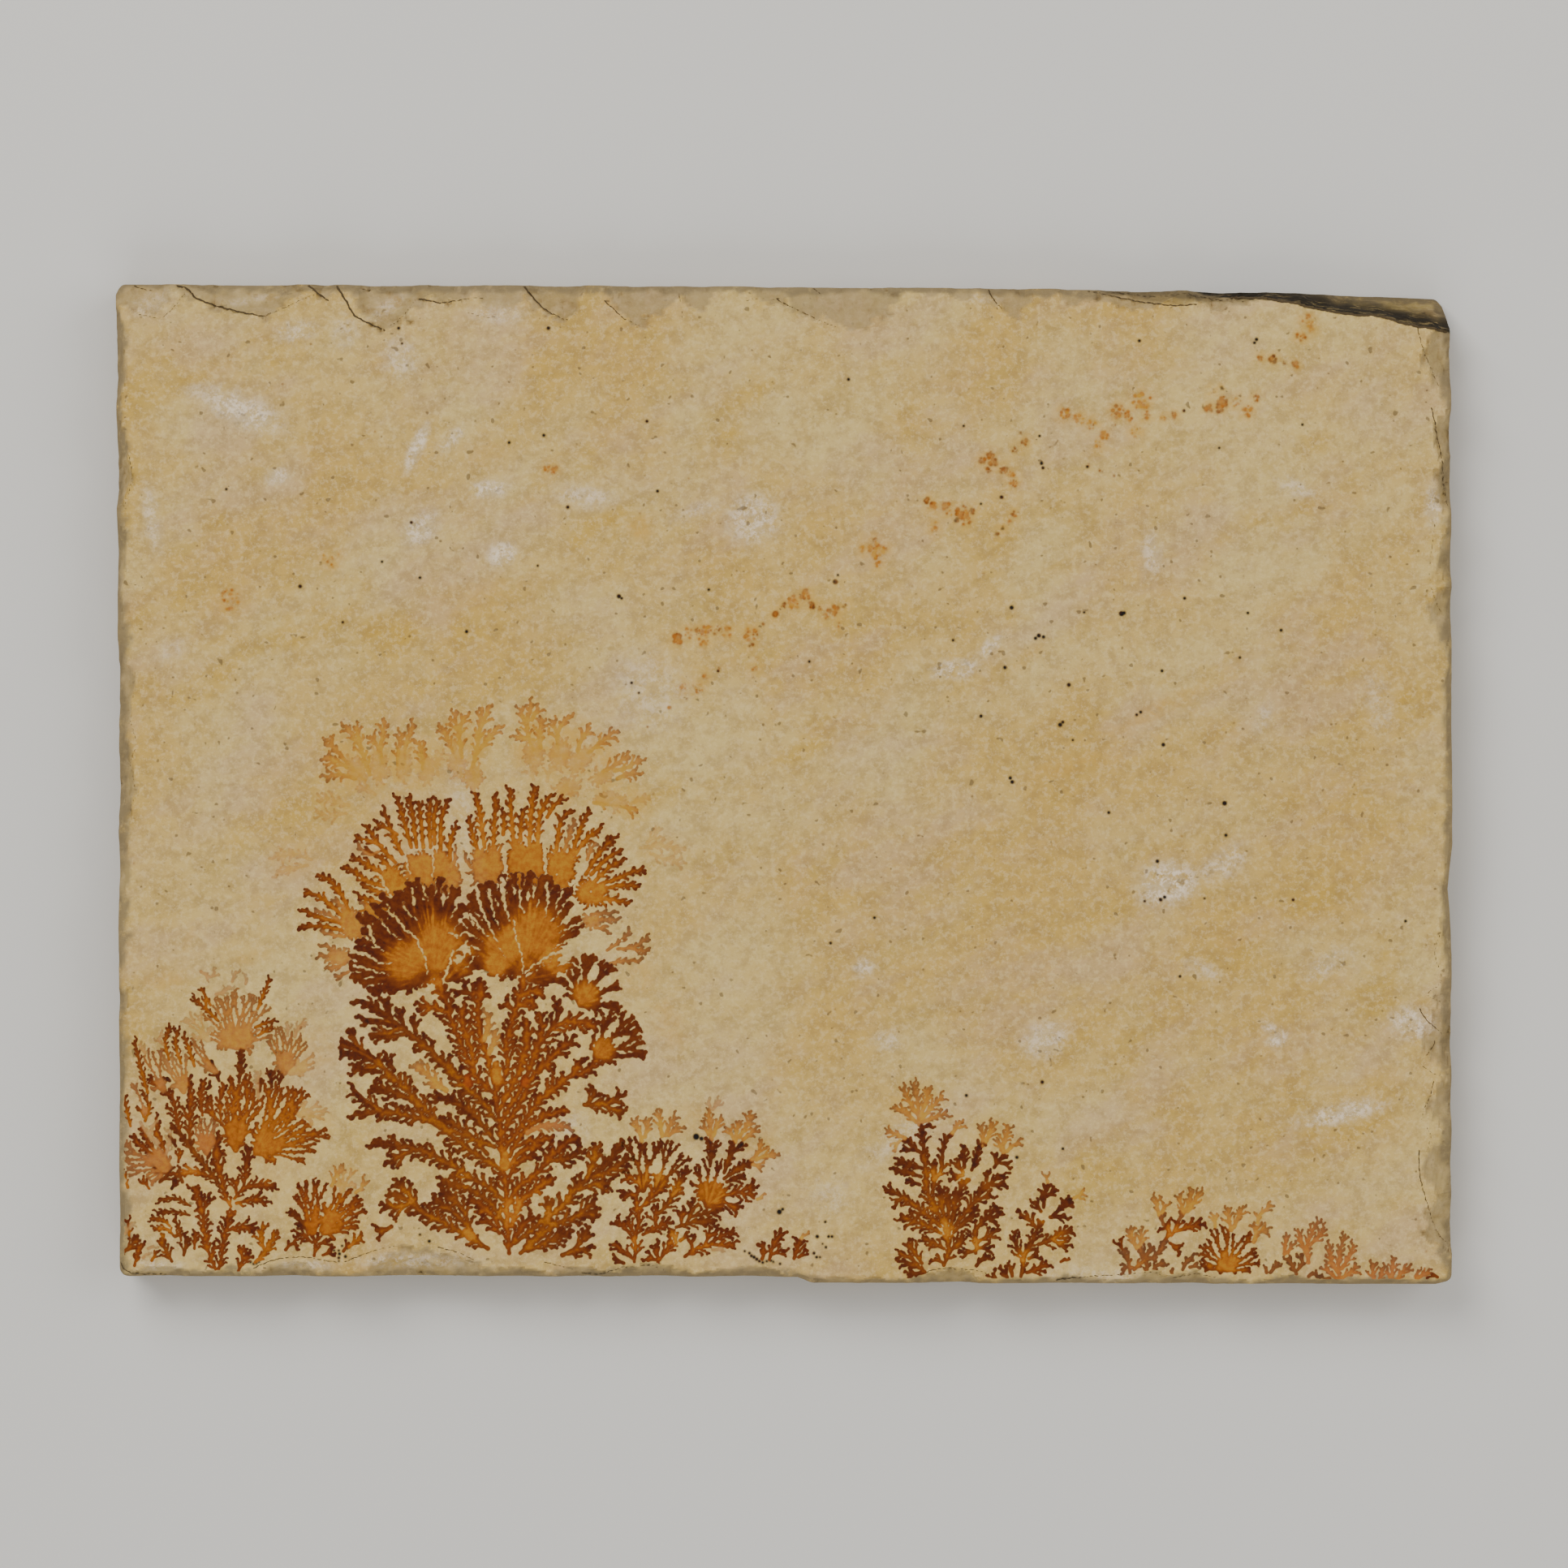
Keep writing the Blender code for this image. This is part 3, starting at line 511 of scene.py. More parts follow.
RING_STEMS = [
    ("plume", [
        (-56, -9.5, -57, -6, -58.2, -1.9), (-55.2, -9.5, -55.7, -5.5, -56.3, -1.9),
        (-54.2, -9.5, -54.6, -5, -54.9, -2.6), (-53.1, -9.5, -53.3, -5.5, -53.1, -2.2),
        (-52.5, -9, -52.6, -5, -52.1, -2.5), (-51.6, -10, -51.5, -5.5, -50.5, -2.3),
        (-50.2, -11.5, -50.1, -8.5, -49.2, -6.3), (-57.4, -10.5, -58.6, -8, -60.1, -4.2),
        (-58.2, -7.6, -59.5, -6.7, -61, -6.2), (-58.4, -11.8, -60.6, -9.4, -62.9, -6.2),
        (-60.4, -9.3, -62.2, -8.6, -64.3, -8.2), (-59, -12.8, -60.8, -11, -62.9, -9.9),
        (-59.5, -14, -62, -12.4, -65, -10.9), (-59.8, -15.5, -62.5, -14.6, -64.4, -13.2, -66.2, -12.4),
        (-59.4, -16.6, -61.5, -16, -63.6, -15), (-60.5, -18, -62.3, -17.4, -63.9, -16.9),
        (-65.2, -19.5, -66.4, -16.8, -68.2, -14.6, -70.1, -13.6),
        (-66.2, -20, -68.4, -17.9, -70.3, -16.7, -72.1, -16.4), (-66.4, -21, -69.4, -20.1, -72.4, -18.9),
        (-66.4, -22, -69.4, -21.4, -72.9, -21.5), (-46, -10, -46.8, -7.5, -47.4, -4.9),
        (-45, -9.5, -45.5, -5.5, -46.4, -1.4), (-43.7, -9.5, -43.5, -5.5, -43.4, -1.5),
        (-42.2, -7.6, -42.1, -6, -42.1, -4.2), (-40.6, -9, -41, -4.5, -41.2, -0.7),
        (-39.6, -8.5, -39.5, -5.5, -39, -3.7), (-38.3, -9, -38, -4.5, -37.5, -0.3),
        (-37, -9, -36.7, -5, -35.7, -2.6, -34.9, -1.5), (-35.6, -5, -34.5, -3.2, -33.3, -2.2),
        (-34.2, -10, -33.6, -5.8, -32, -3.8), (-31.8, -10.5, -30.6, -6.6, -29.2, -3.9),
        (-31.4, -10.6, -29.8, -8.4, -27.4, -6.5), (-29.8, -13.6, -27.7, -10.3, -25.5, -8),
        (-29, -13.6, -26.2, -10.9, -24.5, -10.1), (-28.4, -14.6, -26, -12.3, -24.2, -11.5),
        (-27.6, -15, -25.2, -14.3, -22.8, -13.2, -20.8, -13), (-27.4, -15.9, -24.5, -15.2, -21.7, -15.4),
        (-27.6, -17.2, -25.5, -17.4, -23.3, -17.9),
    ]),
    ("thin_plume", [
        (-33, -10, -32.1, -7.2, -31.3, -5.3), (-29.6, -11.4, -29, -9.8, -28.2, -8.8),
        (-61, -10.2, -62.4, -10.6, -64, -9.3), (-61, -19.4, -62.2, -18.8, -63.1, -18.2),
        (-66, -18.6, -67, -17.9, -67.6, -17.4), (-66.6, -20.6, -69, -19.4, -70.6, -19.1),
        (-66, -23, -67.6, -22.7, -69.4, -22.3), (-66.6, -26, -68, -24.8, -69.2, -24.2),
        (-66.9, -26.4, -68.5, -25.9, -69.9, -25.8), (-66, -27, -67.2, -27.5, -68.4, -27.8),
        (-65.4, -28.2, -66.6, -28.8, -67.6, -29), (-49.6, -12, -49.3, -10.6, -49, -9.4),
        (-29, -19.6, -27.5, -19.4, -25.9, -19.5), (-29, -20.5, -27.2, -20.3, -24.9, -20.4),
        (-28.4, -21.6, -27.4, -21.7, -26.4, -22.1), (-26.6, -25, -24.6, -23.6, -23.2, -22.1),
        (-25, -24.8, -22.6, -24.5, -20.4, -23), (-23, -24.7, -21.5, -25, -20.2, -25),
        (-26.4, -27, -24, -26.6, -21.6, -26.6), (-48.3, -12.2, -48.5, -10.6, -48.9, -9.2),
        (-47, -12.6, -47.8, -11.4, -48.4, -10.6),
    ]),
]
RING_GLOWS = [
    (-54, -11.4, 3.6, 0.14), (-58.8, -14.4, 2.8, 0.12), (-44.6, -10.8, 3, 0.12), (-38.6, -9.8, 3.4, 0.16),
    (-33.4, -11.4, 3.2, 0.14), (-28.8, -16, 2.6, 0.16), (-65.2, -21, 2.4, 0.1),
]

# The pale golden ring around it
GOLD_BLOTS = [
    blot(-46.6, 0.9, 1.7, 0.8, turn=90, dark=0.02, veil=0.6),
    blot(-32.6, -0.6, 1.6, 0.7, turn=20, dark=0.02, veil=0.5),
    blot(-27.4, 1, 1.2, 0.6, turn=20, dark=0.02, veil=0.5),
    blot(-60.8, 2.6, 2.4, 0.7, turn=95, dark=0.04, veil=0.4),
    blot(-57.2, 3.2, 2.2, 0.7, turn=85, dark=0.04, veil=0.4),
    blot(-64.2, 2, 2, 0.7, turn=130, dark=0.04, veil=0.45),
    blot(-53.6, 2, 1.8, 0.6, turn=90, dark=0.04, veil=0.35),
    blot(-49.2, 3.2, 2.2, 0.6, turn=100, dark=0.04, veil=0.4),
    blot(-37.6, 4.4, 2.4, 0.8, turn=90, dark=0.04, veil=0.5),
    blot(-33.6, 4.4, 2.2, 0.8, turn=80, dark=0.04, veil=0.5),
    blot(-30.6, 3.6, 2.2, 0.7, turn=50, dark=0.04, veil=0.45),
    blot(-25.8, -2.6, 2.2, 0.7, turn=-15, dark=0.04, veil=0.4),
]
GOLD_STEMS = [
    ("golden", [
        (-63, 0.6, -65.6, 3.2, -67.2, 5, -68.6, 6.8), (-64.6, 1.8, -66.8, 3.2, -69, 3.9),
        (-64.4, 0.8, -66.8, 1.4, -68.8, 1), (-62.2, 1.4, -63.4, 4.8, -64.2, 8.6),
        (-63.6, 5.6, -64.8, 7.2, -65.8, 8.8), (-60.3, 2, -60.6, 5.4, -59.9, 9.4),
        (-60.6, 4.6, -61.4, 6.2, -62.2, 7.2), (-57, 2.8, -56.8, 5.6, -55.7, 9),
        (-58, 2.8, -57.9, 5, -57.4, 7.6), (-54.2, 2.2, -54.4, 4.6, -54.8, 6.4),
        (-48.9, 3, -50.1, 5.8, -51.4, 8.6), (-48.4, 4, -48.9, 7.4, -49.6, 10.7),
        (-48.8, 7, -48.6, 8.8, -47.9, 10.3), (-46.8, 2.4, -45.9, 6.8, -45.3, 11.4),
        (-45.7, 8.2, -44.9, 10, -44.3, 11.8), (-46.2, 4.6, -44.6, 6.6, -42.8, 8.8),
        (-37.6, 5, -38.6, 8.2, -38, 12.1), (-38.5, 8.4, -39.2, 9.8, -39.7, 11.3),
        (-37.6, 6.6, -39.2, 7, -40.3, 7), (-36.6, 5.4, -36.8, 7.4, -36.3, 9.7),
        (-37.9, 9.6, -37.4, 10.6, -36.9, 11.4), (-33.8, 4.8, -34, 7.6, -32.3, 10.4),
        (-33.9, 7.2, -34.4, 8.4, -34.7, 9.5), (-31, 5, -30.4, 6.8, -29.1, 8.5),
        (-29.6, 4.6, -27.8, 6, -25.5, 8), (-27.2, 1.8, -25.4, 2.8, -23.4, 4.3),
        (-25.4, 2, -23.8, 2.4, -21.6, 3.7), (-25, 0.8, -23.6, 1.5, -22.2, 1.7),
        (-28.6, -2.8, -25.4, -3.2, -22, -3.9),
    ]),
    ("faint", [
        (-37.6, 0.6, -37.9, 1.8, -38.1, 3), (-35.6, 0.4, -35.4, 1.4, -35, 2.4),
        (-21.6, -9.6, -18.4, -9.2, -14.8, -9.9), (-20.6, -8.8, -19.4, -7.8, -18.8, -6.6),
        (-20, -10.4, -17.6, -11.4, -15.6, -12), (-23, -3, -21.4, -2.2, -20.2, -1.8),
        (-65.4, -3.2, -68, -2.4, -69.8, -2), (-65.8, -4.4, -68.4, -4.8, -70.4, -4.2),
        (-71, -11.4, -74, -10.4, -76.6, -10.8), (-71.6, -12.2, -74.4, -12.8, -76.4, -13.6),
        (-52, 1.4, -52.2, 3, -51.8, 4.6), (-61.4, -1.6, -62.6, -0.8, -64.2, -0.4),
    ]),
]

# The shrub at the left end
LEFT_STEMS = [
    ("reddish", [
        (-85.2, -73.3, -86.2, -71, -86.9, -68.5, -87.2, -66, -87.4, -64, -88, -62, -88.8, -60.6),
        (-87.3, -64.5, -86.9, -63, -86.3, -62.2),
        (-85, -73, -84.5, -71, -84.3, -69, -84, -67.3, -83.4, -65.5, -82.9, -64.2),
        (-83.1, -63.5, -84, -61.8, -84.6, -59, -85.2, -56.8, -85.3, -54.5, -84.8, -52.8),
        (-82.3, -63, -80.5, -62.6, -79, -62.4, -77.9, -63),
        (-82.6, -62.3, -81, -60.6, -78.6, -60.2, -76.4, -60.4), (-82.3, -61.5, -82.4, -59.6),
        (-81.2, -60.5, -80.8, -57.5, -80.5, -54.6), (-82, -73.2, -81.3, -71.6, -80.7, -70.3),
        (-81.4, -71.4, -81.6, -69.7), (-83.9, -67.2, -82, -66.6, -80.6, -66.5, -79.5, -67),
        (-85.6, -59.3, -88.5, -58.2, -91.5, -58.6, -94.5, -58.3),
        (-89.3, -53.5, -89.3, -50, -89.2, -47, -89.5, -44.2),
        (-90.6, -53, -91.3, -50, -91.8, -47.4, -93.2, -46), (-93.1, -46, -94.3, -45.3, -95.4, -44.3),
    ]),
    ("club", [
        (-84.3, -61, -86.3, -58.2, -88.6, -55.4, -90.4, -53, -92, -51.3), (-89, -55.3, -89.3, -53.5),
        (-93.8, -59.8, -92.6, -58.7, -92.1, -57.6), (-92, -60.8, -91.3, -59.6),
        (-86.6, -56.2, -86.3, -55.4), (-92.3, -44.6, -92.7, -44.3), (-86.7, -45.8, -86.2, -45.4),
        (-81.9, -44.8, -81.6, -42, -81.7, -39.4), (-84.9, -44.6, -85.5, -43, -86.1, -41.6),
        (-77, -45.5, -77.1, -43.2), (-75.9, -45, -75.2, -43.2),
    ]),
    ("twig", [
        (-89.3, -64.8, -91.5, -64.3, -94.2, -64.4), (-89.2, -63.4, -91.4, -62.3, -94, -62.5),
        (-91.6, -68, -92.7, -66.9, -94.8, -66.8), (-92.3, -66.4, -93.5, -65.4, -95.2, -65.3),
        (-90.6, -68.6, -90.9, -66.8, -91.6, -65.4),
    ]),
    ("brown", [
        (-92, -71.7, -93, -69.8, -93.7, -68.3), (-90.2, -70.8, -89.8, -69, -89.6, -68.1),
        (-91.5, -68, -90.8, -67.6), (-99.2, -70.3, -98.2, -69.4, -97.1, -68.4),
    ]),
    ("rosy", [
        (-99, -67.6, -98, -65.9), (-95.5, -69.8, -94.7, -69.4), (-96.3, -71.2, -95.8, -70.6),
        (-94.3, -50.6, -95.3, -52.6, -94, -54), (-93, -56, -92.2, -53.3, -92.6, -51.9),
        (-96.7, -50.8, -95.9, -52.2, -94.8, -53.6), (-85.4, -31.6, -84.2, -31.2, -83.2, -30.4),
        (-87.6, -28.2, -86.2, -29, -85.5, -28.2), (-82.9, -29.7, -82.4, -28.2),
        (-80.9, -30, -80.6, -29.1), (-73.5, -38, -73, -36.6, -71.8, -35.8), (-74.6, -37.8, -74.5, -36.2),
        (-93.2, -39.2, -94, -38.4, -93.3, -37.6), (-96, -40.4, -96.9, -39.2), (-79, -47, -79.1, -43.2),
    ]),
    ("orange", [
        (-79.5, -71.9, -78, -70.4, -77.2, -69, -76.6, -67.8), (-78.1, -70, -78.7, -67.8, -78.1, -66.3),
    ]),
    ("plume", [
        (-79.1, -33.8, -78.1, -31.3, -77.3, -29.3),
        (-85, -35.6, -86.8, -33.9, -88.3, -32.6, -88.9, -31.9), (-86.8, -33.9, -87, -31.6),
        (-79.5, -36.6, -77.9, -35.9, -76.5, -35.5), (-79, -37.8, -77.8, -37, -76.9, -36.4),
        (-96.2, -50, -96.7, -49, -97.2, -49.1), (-96, -50.6, -95.4, -48.6, -96.2, -46.4),
        (-95.6, -46.4, -96.4, -43.6, -97, -41, -97.6, -38.6), (-92.4, -41.4, -93, -38.8, -92.2, -36.4),
        (-90.6, -42, -91.4, -39.4, -91.2, -37), (-88.6, -42.4, -89.4, -39.8, -90.2, -37.8),
        (-98.2, -51.4, -98.8, -48.8, -99.2, -46.8), (-98.6, -60.6, -99.4, -58, -99.6, -55.4),
        (-98.4, -67.8, -98.6, -65.6), (-95, -71.6, -94.2, -70.2), (-86.2, -33.2, -87.6, -30.6),
    ]),
    ("slim", [
        (-93.6, -57.6, -94.6, -55.2, -95.8, -53.2, -96.6, -51.6),
        (-94.8, -55.6, -96.6, -54.4, -97.8, -53), (-92.6, -57, -93.2, -54.6, -94.2, -52.4, -94.4, -50.2),
        (-91, -56.8, -90.8, -54.8), (-97.6, -72.4, -97.2, -70.6, -96.6, -69), (-100, -72, -99.6, -70.4),
        (-87.4, -49.8, -87.6, -47.4, -87.2, -44.6), (-84.6, -50.4, -84.8, -47.8, -84.2, -45),
        (-95.4, -60.8, -96.4, -59.4), (-86.4, -71.4, -85.4, -69.4), (-88.6, -69.8, -88.4, -67.4),
    ]),
    ("club", [
        (-91.4, -54.4, -92.4, -52.8), (-90.4, -52.8, -91.8, -51.4), (-93.4, -58.4, -94.6, -57.6),
        (-90.4, -59.8, -91, -58.2), (-78.8, -46.2, -78.6, -44.4),
    ]),
]
LEFT_FANS = [
    feather(-82.4, -55, 62, 122, [9.6, 11, 11.4, 12, 10.6, 9.6], [3.6, 4.6, 4.8, 4.6, 4, 3.2], dark=0.53,
        red=0.45, spacing=0.6),
    feather(-79.4, -55.4, -10, 80, [6.8, 8.6, 10, 11, 12.2, 11.2, 11], [3, 4.2, 4.8, 5, 4.8, 4.6, 4],
        dark=0.44, red=0.4, spacing=0.6),
    feather(-92.4, -57.6, 112, 226, [7.4, 8.2, 7.6, 6.6, 6.4, 6.2], [2.6, 3.4, 3.2, 3, 2.8, 2.2],
        dark=0.46, red=0.6, veil=0.85, spacing=0.6),
    feather(-82.3, -39.6, 14, 166, [5.2, 5.4, 6.6, 7.8, 8.8, 9, 8.6, 8.4, 7.6, 6.4, 5.6],
        [2.4, 2.8, 3.2, 3.6, 3.8, 3.8, 3.6, 3.2, 2.8, 2.6], dark=0.34, red=0.35, veil=0.85, size=0.85),
    feather(-85.4, -43.2, 112, 160, [5, 6.8, 6.4, 5.6], [1.6, 2.4, 2.4, 1.8], dark=0.44, red=0.5,
        veil=0.85, size=0.85),
    feather(-86.6, -38.4, 104, 150, [4.4, 5, 4.6], [1.6, 2, 1.6], dark=0.15, red=0.2, veil=0.5, size=0.8),
    feather(-90.2, -46.2, 78, 136, [5.2, 6.6, 5.6], [2.2, 2.8, 2.4], dark=0.34, red=0.5, veil=0.8,
        size=0.85),
    feather(-93.2, -46, 92, 146, [5.6, 6.4, 5.4], [1.8, 2.2, 1.8], dark=0.42, red=0.7, veil=0.85,
        size=0.85),
    feather(-75, -43.4, 46, 122, [4.8, 6.2, 7.2, 5.2], [2.4, 3, 3.4, 2.4], dark=0.4, red=0.4, veil=0.85,
        size=0.85),
    feather(-74.2, -43.4, 2, 46, [3.2, 4, 4.4], [1.8, 2.4, 2.4], dark=0.08, red=0.1, veil=0.6, size=0.8),
    feather(-72.8, -49.7, -16, 40, [3.4, 4, 3.6], [1.4, 1.8, 1.6], dark=0.08, red=0.2, veil=0.55,
        size=0.8),
    feather(-96, -49.4, 60, 150, [3.6, 4.4, 3.4], [0.8, 1, 0.8], dark=0.36, red=0.8, veil=0.8, size=0.8),
    feather(-86.8, -55.4, 60, 126, [4.8, 5.6, 4.4], [2.4, 2.8, 2.4], dark=0.42, red=0.9, veil=0.85,
        size=0.8),
    feather(-71, -68.4, 72, 112, [6.4, 9, 8.4, 6.4], [3.4, 4.4, 4, 3.2], dark=0.55, red=0.55, spacing=0.6,
        inner=1),
    feather(-69.6, -67.4, -2, 72, [3.8, 5.8, 7, 8, 8.6, 8.8], [2.2, 3.4, 4, 4.2, 3.8], dark=0.49,
        red=0.45, spacing=0.6, inner=0.4),
    feather(-66.4, -61, 50, 120, [3.4, 4, 3], [1.2, 1.6, 1.2], dark=0.06, red=0.2, veil=0.6, size=0.8),
]
# The small plant beside it, whose fans are the last three above
LEFT_SMALL = [
    ("reddish", [
        (-70.6, -70.9, -70.4, -69.3, -70.8, -67.8), (-70.5, -69.4, -70, -68),
        (-70.9, -68.9, -72.3, -67.8, -73.2, -67.6), (-69.9, -69.1, -68.3, -68.7),
        (-74.9, -70, -74, -69.1, -73, -69.4), (-69.3, -70.8, -68, -70.3), (-66.2, -70.2, -65.4, -69),
    ]),
    ("club", [
        (-71.7, -66.6, -72.7, -65.5, -74.2, -64.3), (-71.4, -66.9, -73, -66.2),
    ]),
    ("orange", [
        (-65.4, -69.6, -64.4, -68.7, -63.5, -68.4),
    ]),
    ("golden", [
        (-68, -60.4, -67.2, -58.6, -66.2, -57.6), (-64.4, -61.4, -63.4, -60.6, -63, -59.6),
    ]),
]

# The group left of the middle
MID_STEMS = [
    ("reddish", [
        (-22.5, -71.8, -22.3, -69.5, -22.5, -68, -21.8, -66, -22, -64, -22.2, -62, -21.6, -60.2),
        (-22.8, -68, -24, -66.6, -25.3, -65.7), (-22.6, -67.4, -23.5, -65.8), (-22, -61.7, -24.2, -61.6),
        (-21.8, -60, -23.7, -58.9), (-22.5, -71.5, -24, -70.3, -25.6, -69.1),
        (-21.7, -63.8, -20.4, -62.6, -19.2, -61.2, -18.3, -60.7),
        (-21.2, -67.7, -19.4, -66.8, -17.4, -65.8), (-19.2, -66.5, -19.4, -65.1, -19.2, -63.7),
        (-18.9, -72.4, -19, -71, -19.3, -69.2), (-18.7, -71.5, -17.5, -69.8, -16.9, -68.6),
        (-19, -71.6, -20.4, -71.1), (-14.9, -71, -13.5, -70, -11.6, -69.4, -9.7, -68.1, -7.5, -67.1),
        (-13.8, -69.9, -13.9, -68.7), (-12, -69.5, -11.2, -67.9, -10.2, -67.3),
        (-10.8, -69.2, -7.5, -69.3), (-15.4, -66.2, -15.5, -64.4),
        (-3.3, -71.4, -2.9, -70.2, -3.3, -69.4), (-2.2, -71.5, -1.7, -69.6, -1, -68.2, -0.5, -67.5),
        (-1.8, -70.7, -0.4, -70), (1.5, -71.3, 2, -70, 2.4, -68.5), (2.2, -71.1, 2.9, -70.6),
        (-8.9, -61.8, -6.7, -61.3, -4.5, -60.4), (-6.7, -61.4, -4.4, -61.9), (-9, -62.8, -6.9, -63.8),
    ]),
    ("brown", [
        (-18.9, -64.6, -17.4, -63.1, -16.5, -61.5, -15.7, -60, -15.1, -58.9, -14.4, -57.9),
        (-16.2, -66.6, -14.5, -66.1, -12.6, -65.7, -10.5, -66), (-14.6, -65.9, -13.9, -64.4, -14, -62.9),
        (-14, -65, -12, -64.6, -9.9, -64.3), (-16.2, -68.9, -16.8, -67), (-15.6, -68.6, -14.5, -67.9),
    ]),
    ("club", [
        (-24.1, -72, -25.6, -71.3), (-11.1, -57.4, -11, -55.2, -11.2, -53.5), (-10.9, -55, -10.2, -54.3),
        (-9, -58.4, -8, -56, -7.6, -53.8), (-7.8, -55.5, -6.3, -54),
        (-9, -59.3, -6.8, -57.8, -4.8, -56.8), (-8.6, -59.8, -5.9, -58.8),
    ]),
    ("golden", [
        (-4, -62.4, -3.3, -62.2), (2.6, -68.3, 2.9, -67.6),
    ]),
    ("gold_plume", [
        (-21.4, -53.6, -21.8, -52, -22.4, -50.6), (-20.9, -53, -20.5, -51.4, -20.3, -50.2),
        (-18.3, -52.9, -18.6, -51.2, -18.8, -49.5), (-17.8, -52.8, -17.1, -51.2, -16.4, -50),
        (-17.3, -52.8, -15.6, -51.5), (-10.9, -53.4, -11.1, -51.6, -11.3, -49.9, -11.2, -48.7),
        (-10.6, -52.8, -10, -51.2, -9.3, -50.2), (-11.3, -52.6, -12.1, -51.4),
        (-7.3, -53.8, -7.1, -52, -6.7, -50.6), (-7.6, -53.2, -8.3, -51.8),
        (-6.7, -53, -5.6, -51.4, -4.8, -49.8), (-6.1, -53.4, -4.3, -52),
        (-4.9, -56.6, -3.8, -55.2, -3.3, -53.4), (-4.2, -56.4, -2.6, -55.8, -1.3, -55.5),
        (-4.7, -57.1, -3.4, -57.7),
    ]),
    ("rosy", [
        (-11, -48.8, -11.4, -47.6), (-10.7, -48.9, -9.6, -47.6), (-10.7, -70, -9.2, -69.9),
    ]),
]
MID_FANS = [
    feather(-21.2, -61.2, 68, 112, [7.8, 8.6, 8.8, 7.4], [2.7, 3.1, 3, 2.3], dark=0.85, red=0.3,
        inner=0.2, fringe=0.9, size=1.1, spacing=1.05, ragged=0.16),
    feather(-19.2, -60.8, 28, 88, [5.8, 7.6, 7.8, 8.2], [2, 2.3, 2.3, 2.3], dark=0.85, red=0.2, inner=0,
        fringe=0.6, size=1, spacing=1.05, ragged=0.16),
    feather(-11.6, -63.4, -4, 112, [4.4, 4.4, 5.4, 6.6, 6.8, 7.4, 7.2, 7, 6.4],
        [2.5, 2.8, 3.3, 3.7, 3.7, 3.7, 3.7, 3.6, 3.4], dark=0.9, red=0.4, inner=0, size=1.05,
        spacing=1.05, ragged=0.16),
]

